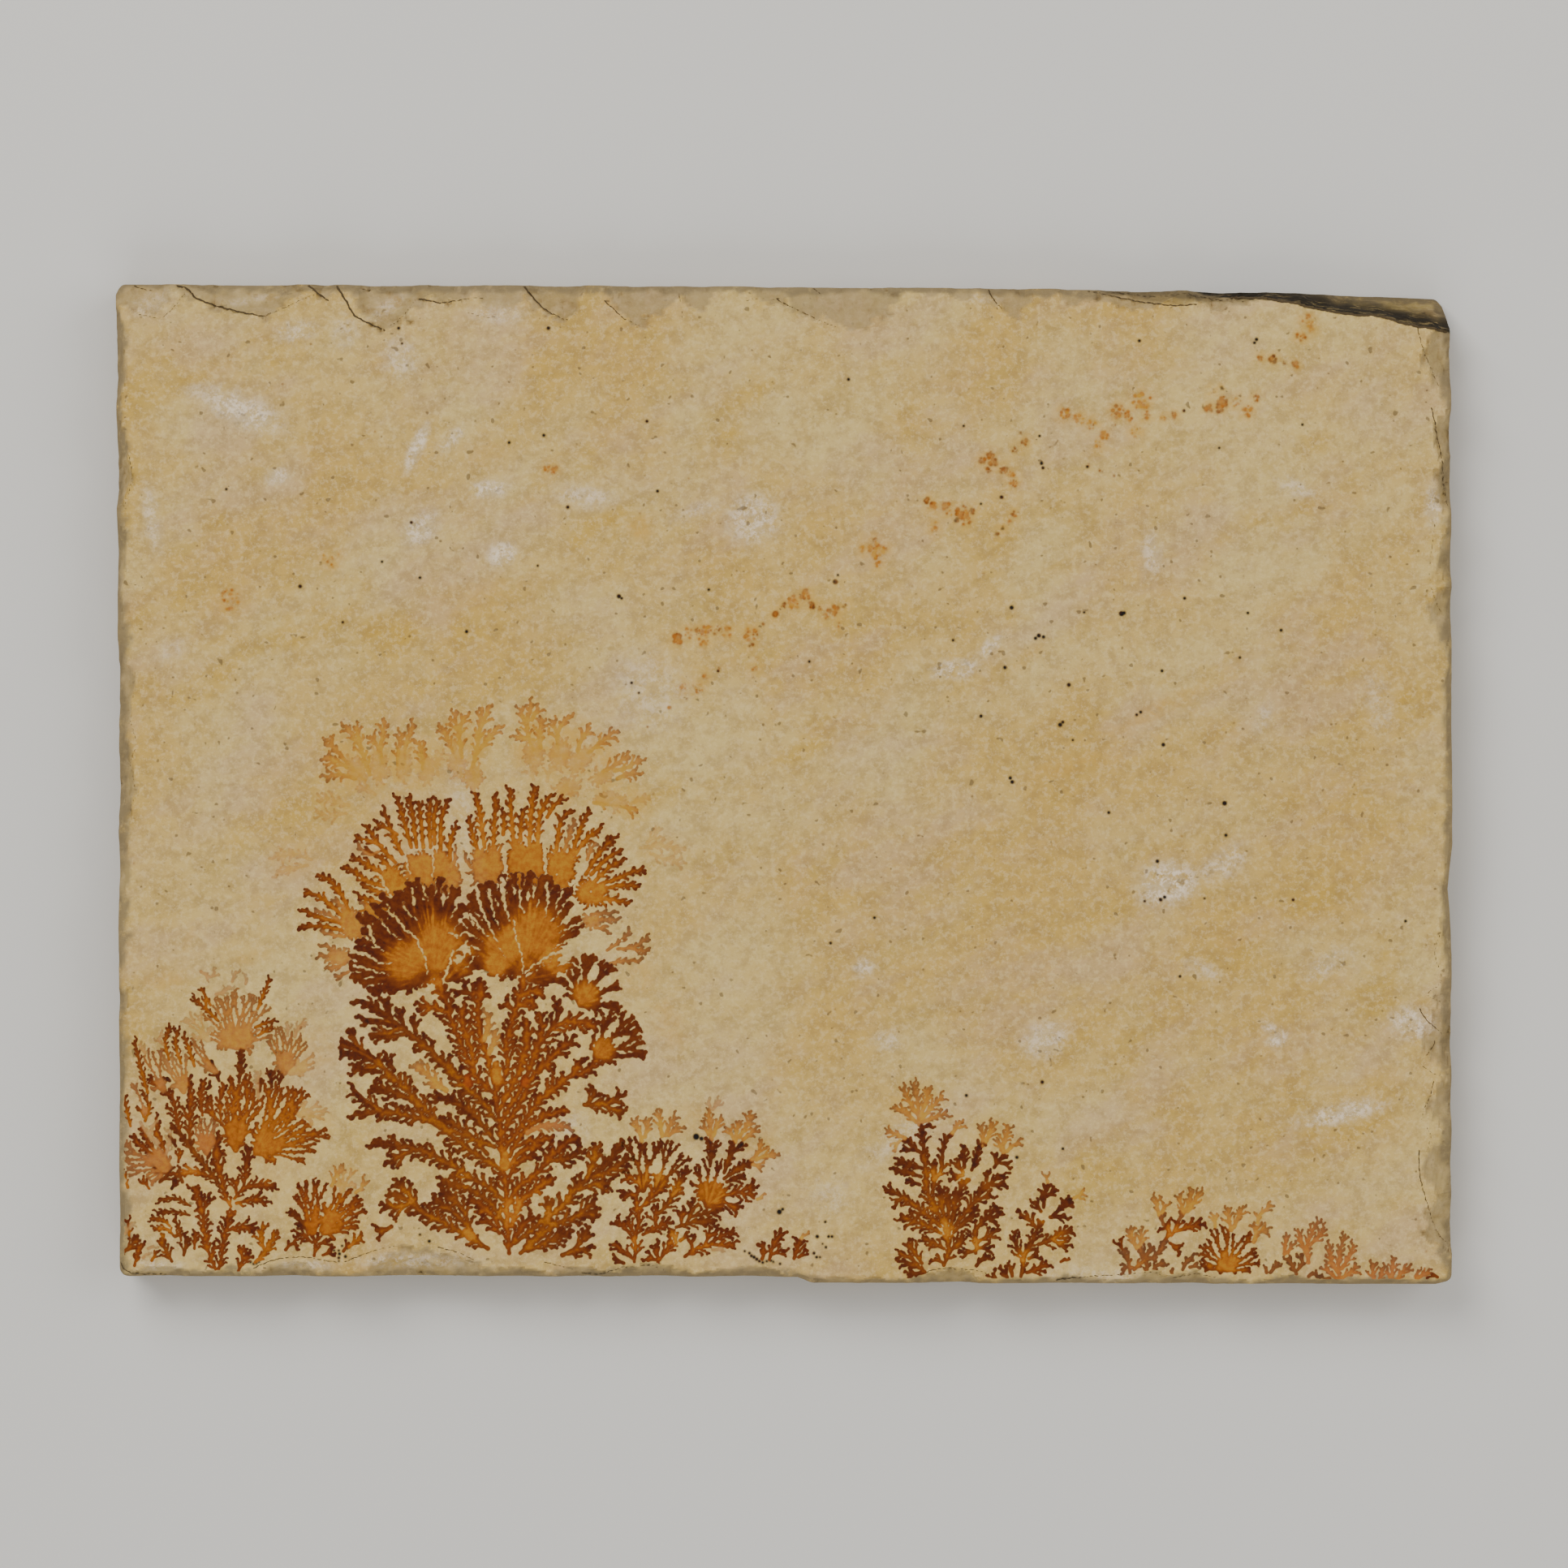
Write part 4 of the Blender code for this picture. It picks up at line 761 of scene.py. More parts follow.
# The plants right of the middle, up to the lower right corner
RIGHT_STEMS = [
    ("brown", [
        (24, -72.3, 24.8, -70.5, 24.6, -68.5, 24.3, -66.5, 23.3, -64.8, 22, -62.5, 21.3, -60, 21.2, -57.5,
         21, -55), (23.5, -66.5, 21.5, -64.8, 19.5, -63.3, 17.8, -62, 16, -61.2, 15.1, -61),
        (17.8, -62.2, 16.8, -62.9), (23.6, -67.5, 21.5, -66.5, 19.3, -65.6, 17.5, -65.3),
        (24.3, -66, 23.8, -63.5, 23.7, -61), (24.6, -66, 24.7, -63.5, 24.4, -61.4),
        (22.3, -61.5, 22.6, -59.5, 22.3, -57), (22.7, -59.5, 23.7, -58, 23.8, -56.2),
        (25, -66.7, 25.4, -65, 25.8, -63, 26.5, -61, 27.1, -59.6), (26.9, -58.8, 25.4, -59),
        (26.9, -58.3, 26, -57), (25.3, -66.8, 27.3, -64.5, 28.7, -62.7, 29.8, -61, 30.7, -60),
        (28.7, -62.8, 31, -61.6), (25.5, -67.4, 27, -65.8, 28.5, -64.6), (24, -72, 22.7, -71.3),
        (24.8, -70.6, 26, -68.9, 27, -67.8), (24, -69.8, 22.4, -69, 20.9, -68.2),
        (35.6, -74, 35.9, -72.5, 36, -71, 37, -69.5, 37.8, -67.5, 38.5, -65.7),
        (38, -66.8, 36.8, -65.4, 35.5, -64.7), (36, -71, 35, -69.5, 34.5, -68),
        (38.2, -69.2, 40.3, -68.5, 41.8, -67.4, 43.3, -67), (40.3, -68.5, 42.5, -69.6),
        (36.8, -71.3, 38.1, -70.8), (33.7, -74.6, 33.1, -73.1), (34.3, -74, 34.1, -72.5),
        (32, -74.6, 31.3, -73.5), (28.8, -70.5, 29, -69, 28.6, -67.2, 29.8, -65.9, 30.7, -64.9),
        (29, -69.7, 30.9, -69.8), (28.6, -70.2, 27, -70.5), (29.4, -68.6, 31, -67.8, 31.6, -67),
        (21.2, -73.3, 20.1, -72.4, 18.8, -71.1, 17.3, -70.6), (20.7, -72, 19.6, -70.3, 18.7, -69),
        (20.3, -72.7, 17.8, -71.6),
    ]),
    ("club", [
        (21, -55.5, 20.9, -53, 20.6, -51.2), (21, -51.6, 21.9, -51.2),
        (20.7, -55.5, 19.5, -54.6, 18.6, -53.5), (19.6, -55, 18, -54.9),
        (21, -57.8, 19, -57.2, 17.3, -56.7), (20.6, -59, 18.7, -58.4, 16.8, -58.2),
        (20.4, -60.2, 18.4, -59.5), (23.8, -56.6, 23.9, -55, 24.4, -53.3, 25.2, -52.7),
        (27.1, -57.6, 27, -55.8, 27.1, -54.4), (28.2, -58, 28.8, -56.5, 29.3, -54.6, 29.9, -54),
        (31, -60.1, 32.2, -59, 33, -58.9), (31.2, -60.3, 33.2, -60.2), (30.4, -59.6, 30.6, -58.2),
        (31.6, -57.6, 32.3, -56.6, 33, -55.8), (32.6, -57, 33.7, -57), (31.9, -57, 31.7, -55.8),
        (30.2, -65.6, 31.3, -64.3, 31.9, -63.5), (31, -65.4, 32.7, -64.4), (31, -65.6, 31.9, -65.9),
        (31.2, -67.3, 31.5, -66.9), (28.9, -72.4, 29.7, -71.5, 30.8, -71), (21.2, -73.4, 18.6, -73.7),
        (39, -63.6, 39.2, -61.8, 39.6, -60.4), (39.4, -62, 40.8, -61), (38.6, -64.2, 37.7, -62.8),
        (40.2, -65, 41.8, -63.6, 43, -62.4), (42, -63.6, 43.3, -62.9), (40, -65.1, 42.2, -65),
    ]),
    ("faded_club", [
        (54.6, -73.8, 54.4, -71.6, 53.6, -69.6), (55.2, -73.6, 56, -72.4, 57.2, -72),
        (52.8, -72.8, 51.6, -72.6, 50.8, -73), (54.4, -71.2, 55.2, -69.6),
        (52, -73.4, 51.7, -71.7, 51, -70), (52.6, -73, 54, -71.7, 56, -71.1),
        (55.4, -71.2, 56.7, -69.8, 57.2, -68.6), (53.9, -71.4, 53.4, -69.8), (57, -66.2, 56.6, -64.9),
        (59.3, -65.6, 59.9, -64.5), (58.4, -73.9, 58.2, -73.2), (59.9, -73, 60.5, -71.8, 61.4, -71.1),
        (61, -72.6, 62, -72.4), (73.1, -73.4, 74.3, -72), (72.5, -73.4, 72.4, -72.6),
        (77, -73.6, 76.2, -72, 75.7, -71.4), (77.2, -73, 77.9, -72, 77.7, -71.2),
        (78.8, -74, 79.5, -73.4), (81.3, -74.6, 80.5, -74), (81.4, -74.4, 82, -74.3),
    ]),
    ("reddish", [
        (57.3, -68.4, 58, -67.4, 57.3, -66.2), (58.2, -67.8, 59, -66.8, 59.3, -65.6),
        (59, -67.2, 61, -66.5, 62.5, -65.9), (58, -69, 59.4, -69.8), (50.9, -70, 50.3, -69),
        (98.2, -74.1, 97.2, -73.5), (36.5, -73.4, 38, -73, 39.5, -72.1), (41.6, -71.8, 42.2, -71.4),
    ]),
    ("golden", [
        (17.4, -53.6, 16.6, -54.6), (39.6, -59.8, 39.3, -58.8), (43.6, -62.2, 45, -61.6),
        (64.8, -66.5, 64.7, -64.9), (71.2, -66, 71.5, -64.7, 73.3, -63.2),
    ]),
    ("gold_plume", [
        (20.3, -51.2, 20.2, -49, 19.9, -46.8, 19.5, -44.8), (20.3, -50, 18.9, -47.8, 17.9, -45.6),
        (20.5, -49.8, 21.4, -47.6, 21.7, -45.6), (20.6, -50.4, 22.2, -48.6, 23.9, -46.8),
        (20.8, -50.8, 22.8, -50, 24.4, -49.6), (19.9, -50.8, 18.2, -49.4, 16.4, -48.5),
        (18.2, -53.2, 16.8, -52.6, 15.5, -52.2), (25.2, -52.6, 25.9, -51.6, 26.4, -50.6),
        (29.8, -54.3, 29.9, -52.8, 29.5, -51.4), (30.3, -53.8, 31, -52.2, 31.4, -50.8),
        (33, -55.4, 33, -53.8, 33.9, -51.6), (33.5, -55.2, 34.6, -54.2, 35.6, -54),
        (32.7, -55, 32.2, -53.6), (60, -64.6, 59.7, -63.2, 59.2, -62),
        (60.3, -64.2, 61, -62.6, 61.2, -61.2), (60.7, -64.2, 61.8, -62.6, 62.3, -61.4),
        (56.4, -64.8, 56, -63.4, 55.9, -62.2), (56.8, -64.4, 57.4, -63.2),
        (53, -69.8, 52.4, -68.4, 51.9, -67), (53.4, -69.6, 53.7, -68.2, 53.6, -66.9),
        (67.2, -67, 66.8, -65.2, 66.7, -63.6), (67.6, -66.6, 68.4, -64.8, 69, -63.4),
        (70.6, -68.8, 71.3, -67.4, 72.8, -67.2), (70.8, -68.4, 71, -66.4),
    ]),
    ("rosy_plume", [
        (78.8, -71.9, 78.6, -69.6, 79.3, -67.4, 80.3, -65.6), (78.4, -70.4, 77.6, -68.4, 77.2, -66.8),
        (79.1, -69.2, 80.6, -67.8, 81.2, -66.6), (75.2, -70.6, 75.3, -69.2, 75.6, -67.9),
        (75.7, -70.4, 76.4, -69.2), (83.5, -74.6, 83.3, -72.4, 83.6, -70, 84.4, -67.6),
        (83.2, -73.4, 82.1, -71.4, 82, -69.2), (83.8, -72.8, 85, -71, 85.6, -69.2),
        (83.9, -74.2, 85.4, -73.2, 86.1, -72.4), (83.1, -74.4, 81.8, -73.2, 81.3, -72.2),
        (88.7, -75.2, 88.5, -73.6, 88.6, -72), (89.1, -75, 89.8, -73.8, 90, -72.6),
        (91.6, -75.2, 91.4, -73.4, 91.7, -71.2), (92, -74.6, 93, -73.2, 94, -72.6),
        (91.2, -74.4, 90.6, -73), (95, -74.4, 96, -73.8, 97.4, -73.4), (95, -74, 95.3, -73),
    ]),
]
RIGHT_FANS = [
    feather(66.6, -73, -10, 190, [3.2, 3.8, 5, 5.6, 6.4, 6.8, 6.4, 6, 5.4, 4, 3.2],
        [1.2, 1.5, 2, 2.2, 2.4, 2.5, 2.4, 2.2, 1.8, 1.4, 1.2], dark=0.6, red=0.35, inner=0, fringe=0.5,
        spacing=0.62),
]

# Where these plants glow orange: x, y, radius, strength
LEFT_GLOWS = [
    (-82.8, -63.6, 2.4, 0.35), (-89.4, -58.6, 2.4, 0.4), (-81.6, -51.4, 4, 0.03), (-77.4, -52.4, 4, 0.04),
    (-94.4, -57, 3, 0.06), (-82.3, -38, 3, 0.06), (-69, -65, 3.2, 0.06), (-93, -67, 2, 0.4),
    (-77.4, -59.2, 1.6, 0.4), (-88.6, -54.4, 2, 0.2),
]
MID_GLOWS = [
    (-20.4, -59.2, 3, 0.35), (-18.4, -58.4, 1.8, 0.3), (-16.2, -60.8, 2, 0.35), (-11, -61.2, 3.4, 0.58),
    (-22.2, -69, 1.6, 0.3), (-16.2, -68.4, 1.8, 0.45), (-12.4, -69.4, 2.2, 0.2), (-21.8, -63.6, 1.6, 0.2),
]
RIGHT_GLOWS = [
    (24.4, -67, 1.9, 0.4), (22.8, -58.6, 1.6, 0.4), (27.2, -59.2, 1.9, 0.5), (28.9, -69.2, 1.6, 0.45),
    (66.8, -71.6, 2.6, 0.2), (36, -71, 1.8, 0.4), (39, -65.2, 1.6, 0.45), (41.4, -68, 1.8, 0.4),
    (58.4, -67.3, 1.9, 0.4), (30.6, -60.2, 1.4, 0.3), (24.6, -63, 2.4, 0.15), (53, -72.2, 1.6, 0.2),
    (21.4, -63.4, 2, 0.12),
]

# The trail of rust speckles across the face: x, y, reach, number, radius, dark
SPECKLES = [
    (-20.5, 8.6, 0, 1, 0.35, 0.45), (-17.3, 11.5, 0.2, 2, 0.42, 0.25), (-15.2, 14.6, 0.5, 4, 0.35, 0.2),
    (-14.6, 12.8, 0.1, 1, 0.28, 0.55), (-13, 14.4, 0.7, 4, 0.3, 0.15), (-11.7, 16.1, 0.4, 3, 0.34, 0.2),
    (-9.7, 17.3, 0.2, 2, 0.22, 0.6), (-16, 21.9, 0.7, 9, 0.45, 0.35), (-14.4, 22.7, 0.7, 6, 0.32, 0.25),
    (-12.9, 22.9, 0.6, 6, 0.36, 0.3), (-11.6, 23.4, 0.6, 6, 0.36, 0.22), (-10, 23, 0.6, 6, 0.28, 0.5),
    (-8.5, 22.7, 0.7, 5, 0.34, 0.15), (-12, 21.6, 0.8, 6, 0.34, 0.12), (-5, 22.5, 0.9, 11, 0.36, 0.22),
    (-5, 20.9, 0.3, 3, 0.3, 0.75), (-4.2, 19, 0.4, 2, 0.25, 0.1), (-4.3, 17.6, 0.5, 3, 0.28, 0.2),
    (-4.6, 16, 0.2, 2, 0.22, 0.45), (-3.1, 24.1, 0.1, 2, 0.34, 0.45), (-1.4, 25.5, 0.2, 3, 0.5, 0.45),
    (0, 26.8, 0.3, 4, 0.36, 0.55), (1.4, 27.3, 0.8, 9, 0.4, 0.15), (3.2, 28.3, 0.8, 9, 0.38, 0.28),
    (4.2, 26.9, 0.5, 6, 0.38, 0.62), (5.3, 26.4, 0.3, 3, 0.26, 0.5), (7.4, 26, 0.7, 7, 0.38, 0.38),
    (9, 26.8, 0.3, 3, 0.26, 0.8), (6.3, 25.3, 0.4, 4, 0.28, 0.2), (8.4, 24, 0.4, 3, 0.24, 0.4),
    (7.7, 30.4, 0.1, 2, 0.38, 0.85), (13.6, 36.6, 0.3, 3, 0.3, 0.55), (13.9, 35.2, 1.1, 12, 0.42, 0.1),
    (15.3, 35.4, 0.3, 3, 0.25, 0.5), (12.1, 35.3, 0.5, 4, 0.32, 0.05), (14.3, 32.9, 0.4, 3, 0.34, 0.12),
    (21.5, 42.6, 0.3, 4, 0.42, 0.5), (22.4, 41.8, 0.4, 5, 0.42, 0.25), (24.3, 41.8, 0.5, 6, 0.38, 0.32),
    (24.8, 40.7, 0.4, 3, 0.28, 0.15), (26.7, 40.9, 0.9, 10, 0.42, 0.25), (28.3, 41.1, 0.4, 5, 0.36, 0.7),
    (25.9, 39.7, 0.2, 3, 0.36, 0.85), (27.2, 39.6, 0.7, 8, 0.36, 0.3), (22.6, 38.6, 0.7, 5, 0.28, 0.15),
    (29.7, 48.7, 0.4, 5, 0.38, 0.62), (31, 49.5, 0.5, 6, 0.4, 0.5), (31.4, 48.3, 0.5, 6, 0.4, 0.55),
    (30.8, 47.3, 0.4, 4, 0.34, 0.55), (33, 47.1, 0.5, 6, 0.38, 0.48), (34, 46.4, 0.4, 4, 0.34, 0.2),
    (34.5, 45.3, 0.5, 6, 0.36, 0.32), (35.5, 52.7, 0.1, 1, 0.3, 0.8), (36.2, 51.3, 0.4, 5, 0.36, 0.42),
    (34.8, 50.2, 0.4, 4, 0.26, 0.55), (34.6, 40.5, 0.4, 4, 0.34, 0.42), (33.8, 39.6, 0.4, 3, 0.28, 0.2),
    (32.9, 38.5, 0.2, 3, 0.32, 0.85), (32.1, 37.5, 0.2, 3, 0.32, 0.75), (42.1, 55.6, 0.8, 9, 0.38, 0.15),
    (44.4, 54.8, 0.7, 6, 0.34, 0.05), (46.3, 54, 0.7, 6, 0.32, 0.05), (48.1, 52.3, 0.5, 6, 0.36, 0.2),
    (47.3, 51, 0.6, 4, 0.28, 0.08), (50.1, 56, 0.9, 10, 0.36, 0.22), (51.8, 55.3, 0.6, 7, 0.36, 0.28),
    (49.6, 54, 0.2, 2, 0.26, 0.6), (52.9, 52.9, 0.7, 5, 0.28, 0.08), (53.7, 57.7, 1.2, 11, 0.38, 0.08),
    (54.4, 55.4, 0.5, 5, 0.34, 0.22), (57, 55.1, 0.4, 3, 0.28, 0.1), (58.6, 55.4, 0.4, 5, 0.36, 0.5),
    (60, 56.1, 0.1, 1, 0.24, 0.95), (63.8, 56.4, 0.5, 6, 0.4, 0.42), (65.9, 57.4, 0.7, 10, 0.44, 0.42),
    (65.4, 56.3, 0.4, 5, 0.38, 0.5), (65.9, 59.5, 0.2, 3, 0.3, 1.1), (64.4, 59.1, 0.4, 3, 0.22, 0.9),
    (68, 57.3, 0.6, 4, 0.28, 0.1), (69.7, 56, 0.7, 9, 0.38, 0.15), (70.9, 57.9, 0.4, 4, 0.34, 0.32),
    (71.5, 64, 0.3, 4, 0.36, 0.45), (73.6, 63.8, 0.5, 6, 0.38, 0.68), (75.1, 63.3, 0.2, 2, 0.26, 0.75),
    (76.8, 63, 0.4, 6, 0.38, 0.38), (77.7, 67.2, 0.6, 6, 0.36, 0.28), (79.2, 68.4, 0.4, 4, 0.34, 0.2),
    (78.6, 69.6, 0.8, 6, 0.34, 0.08), (-35.1, 47.4, 0.8, 9, 0.34, 0.2),
    (-83.3, 27.6, 1.4, 11, 0.34, 0.05), (-68, 33.7, 1.2, 6, 0.28, 0.05), (45.7, 47.8, 0.3, 2, 0.24, 0.45),
    (47.6, 47.2, 0.3, 2, 0.24, 0.4), (49.6, 46.3, 0.1, 1, 0.28, 0.55),
]

# Black specks of oxide beside the growths and over the face: x, y, radius
BLACK_SPECKS = [
    (-13.2, -53, 0.5), (-12.4, -53.3, 0.35), (-0.7, -64.3, 0.4), (-0.2, -63.9, 0.25), (5, -68, 0.3),
    (6.7, -68, 0.24), (7.2, -68, 0.24), (4.5, -70.5, 0.26), (4.9, -71.1, 0.24), (5.4, -71.1, 0.18),
    (6.2, -65.8, 0.22), (6.3, -69.6, 0.22), (5.8, -69.1, 0.16), (-5.9, -70.2, 0.2), (-5.2, -70.5, 0.24),
    (-4.9, -70.9, 0.26), (-4.5, -71.1, 0.28), (-4.1, -71.4, 0.28), (-3.7, -71.7, 0.26),
    (-3.2, -71.9, 0.24), (-2.6, -71.7, 0.2), (-2, -71.6, 0.22), (-1.6, -71.8, 0.18), (-0.6, -72.1, 0.22),
    (-66.9, -70.1, 0.2), (-66.8, -70.6, 0.26), (-66.9, -71.2, 0.24), (-66.9, -71.7, 0.16),
    (-65.9, -71, 0.26), (-65.6, -69.8, 0.18), (-65.2, -69.4, 0.16), (-66.4, -69.4, 0.2),
    (-67.6, -70.1, 0.2), (-80.2, -71.8, 0.26), (-79.7, -72.1, 0.22), (-79.3, -72, 0.24),
    (-78.9, -71.8, 0.2), (-81, -73.4, 0.24), (-53.3, -68.7, 0.26), (-54.7, -67.7, 0.2),
    (34.2, 26.5, 0.34), (50.7, 25.6, 0.42), (51.1, 25.7, 0.3), (45.1, 25.8, 0.2), (38.3, 22.3, 0.34),
    (37.8, 21.9, 0.28), (39, 22.1, 0.28), (41.5, 8.9, 0.34), (41.9, 9.3, 0.26), (42.8, 14.9, 0.32),
    (34.3, 0.3, 0.32), (34, 0.9, 0.28), (48.8, -4.3, 0.26), (57, 5.9, 0.32), (66.2, -2.9, 0.38),
    (66.4, -7.7, 0.26), (53, 10.4, 0.24), (53.6, 10.8, 0.26), (29.6, 10.2, 0.28), (56.1, -11.6, 0.3),
    (69.7, 25.7, 0.24), (74.7, 23.1, 0.26), (25.4, 21.6, 0.22), (33.2, 17.5, 0.3), (56.8, 17, 0.26),
    (43.4, 6.6, 0.2), (68.5, 19, 0.22), (56.6, -17.4, 0.3), (57.2, -17, 0.28), (54.2, -17.6, 0.22),
    (76.5, -17.4, 0.26), (63.2, -17.2, 0.18), (59.5, -28.9, 0.24), (-57.9, 68.5, 0.26),
    (-57.4, 66.2, 0.2), (-35.4, 68.5, 0.3), (-41.3, 51.3, 0.24), (-36.1, 52.4, 0.26), (-60.4, 33.4, 0.22),
    (-72.7, 29.7, 0.3), (-54.7, 31, 0.24), (-32.5, 41.6, 0.28), (-37, 32.8, 0.2), (-47.7, 22.9, 0.28),
    (-66.3, 24.3, 0.22), (-83.8, 44.3, 0.22), (-24.8, 28.2, 0.35), (-24.4, 27.9, 0.24), (-56, 39.3, 0.26),
    (-20.6, 54.5, 0.26), (-22.9, 15.2, 0.24), (-21.8, 13.7, 0.2), (-11.3, 29.2, 0.22), (-9.9, 17, 0.24),
    (3.8, 18.4, 0.22), (8.1, 31.4, 0.2), (7.7, 30.4, 0.4), (27, 53.8, 0.2), (38.7, 48.2, 0.28),
    (38.9, 47.5, 0.26), (38.4, 52.3, 0.22), (32.7, 43.1, 0.3), (29.6, 42.1, 0.2), (53.4, 66.6, 0.26),
    (71, 66.8, 0.28), (70.7, 66.3, 0.24), (60.1, 56.1, 0.26), (45.6, 47.7, 0.26), (65.4, 50.5, 0.2),
    (77.9, 54, 0.22), (9.7, 60.8, 0.26), (-19, 44, 0.26), (93.4, -20.6, 0.24), (60.2, 27.9, 0.26),
    (38.8, -44.8, 0.3), (27.4, -46.8, 0.26), (35, -56.1, 0.28), (41.9, -54.8, 0.24), (13.6, -20.1, 0.24),
    (7, -23.9, 0.24),
]
SCATTERED_SPECKS = 150
SPECK_GROWTH = 0.12

# The films over the face, in millimetres

GOLD_LIFT = 0.015
RING_LIFT = 0.03
SPECK_LIFT = 0.035
GROWTH_LIFT = 0.045
SHADOW_LINE_LIFT = 0.02
RIM_GAP = 0.08
# How strongly a near dab's tones outweigh a far one's, and the darkest tone
TONE_PULL = 16.0
BLACKEST = 1.25
# How much paler a broad film is inside, and the share of the grid's spacing where a film is fine
INNER_EASE = 0.42
FINER = 0.8


# Growth of the stains


def smoothstep(low, high, value):
    """0 up to low, 1 from high on, and a cubic ease between them."""
    gap = np.where(np.abs(high - low) < 1e-9, 1e-9, high - low)
    share = np.clip((value - low) / gap, 0.0, 1.0)
    return share * share * (3.0 - 2.0 * share)


def habit_table():
    """The habits as one array, so that every tip can look its own up by number."""
    table = np.zeros(len(HABITS), HABIT)
    names = list(HABITS)
    for name, sizes in HABITS.items():
        for key, value in sizes.items():
            table[key][names.index(name)] = names.index(value) if key == "twig_habit" else value
        if "twig_habit" not in sizes:
            table["twig_habit"][names.index(name)] = -1
    return table


def habit_number(name):
    return list(HABITS).index(name)


def curve_through(points):
    """A smooth curve through the points, which are x, y, x, y ..., cut into even steps: x, y, heading
    and length so far. Between two points it is the cubic whose slopes come from their neighbours."""
    points = np.asarray(points, float).reshape(-1, 2)
    ends = np.vstack([2 * points[0] - points[1], points, 2 * points[-1] - points[-2]])
    t = np.linspace(0.0, 1.0, 40, endpoint=False)[:, None]
    pieces = []
    for a, b, c, d in zip(ends, ends[1:], ends[2:], ends[3:]):
        bend = 2 * a - 5 * b + 4 * c - d
        twist = 3 * b - a - 3 * c + d
        pieces.append(0.5 * (2 * b + (c - a) * t + bend * t ** 2 + twist * t ** 3))
    line = np.vstack(pieces + [points[-1:]])
    length = np.concatenate([[0.0], np.cumsum(np.hypot(*np.diff(line, axis=0).T))])
    gone = np.arange(0.0, max(length[-1], 2.5 * GROWTH_STEP), GROWTH_STEP)
    x = np.interp(gone, length, line[:, 0])
    y = np.interp(gone, length, line[:, 1])
    heading = np.unwrap(np.arctan2(np.gradient(y), np.gradient(x)))
    return x, y, heading, gone


class Ground:
    """Small square cells of the face, each held by the twig that grew there first."""

    def __init__(self):
        across = int(2 * GROUND_HALF_LENGTH / CELL)
        up = int(2 * GROUND_HALF_WIDTH / CELL)
        self.held = np.zeros((up, across), np.int32)
        self.parent_of = np.zeros(MOST_TWIGS, np.int32)
        self.count = 1

    def cells(self, x, y):
        rows, columns = self.held.shape
        column = np.clip(((x + GROUND_HALF_LENGTH) / CELL).astype(int), 0, columns - 1)
        row = np.clip(((y + GROUND_HALF_WIDTH) / CELL).astype(int), 0, rows - 1)
        return row, column

    def holder(self, x, y):
        return self.held[self.cells(x, y)]

    def new_names(self, parents):
        names = np.arange(self.count, self.count + len(parents))
        self.count += len(parents)
        self.parent_of[names] = parents
        return names

    def mark(self, x, y, radius, names):
        """The free cells under round dabs take the names of their twigs."""
        if not len(x):
            return
        steps = int(np.ceil(float(np.max(radius)) / CELL))
        offsets = np.arange(-steps, steps + 1) * CELL
        for up in offsets:
            for across in offsets:
                near = np.hypot(across, up) <= radius
                row, column = self.cells(x[near] + across, y[near] + up)
                free = self.held[row, column] == 0
                self.held[row[free], column[free]] = names[near][free]

    def stranger(self, tips, x, y, grace):
        """Whether another twig holds the place: not the tip's own, its child or, early on, its kin."""
        holder = self.holder(x, y)
        kin = (holder == tips["parent"]) | (self.parent_of[holder] == tips["parent"])
        kin &= tips["young"] < grace
        own = (holder == tips["own"]) | (self.parent_of[holder] == tips["own"])
        return (holder > 0) & ~own & ~kin


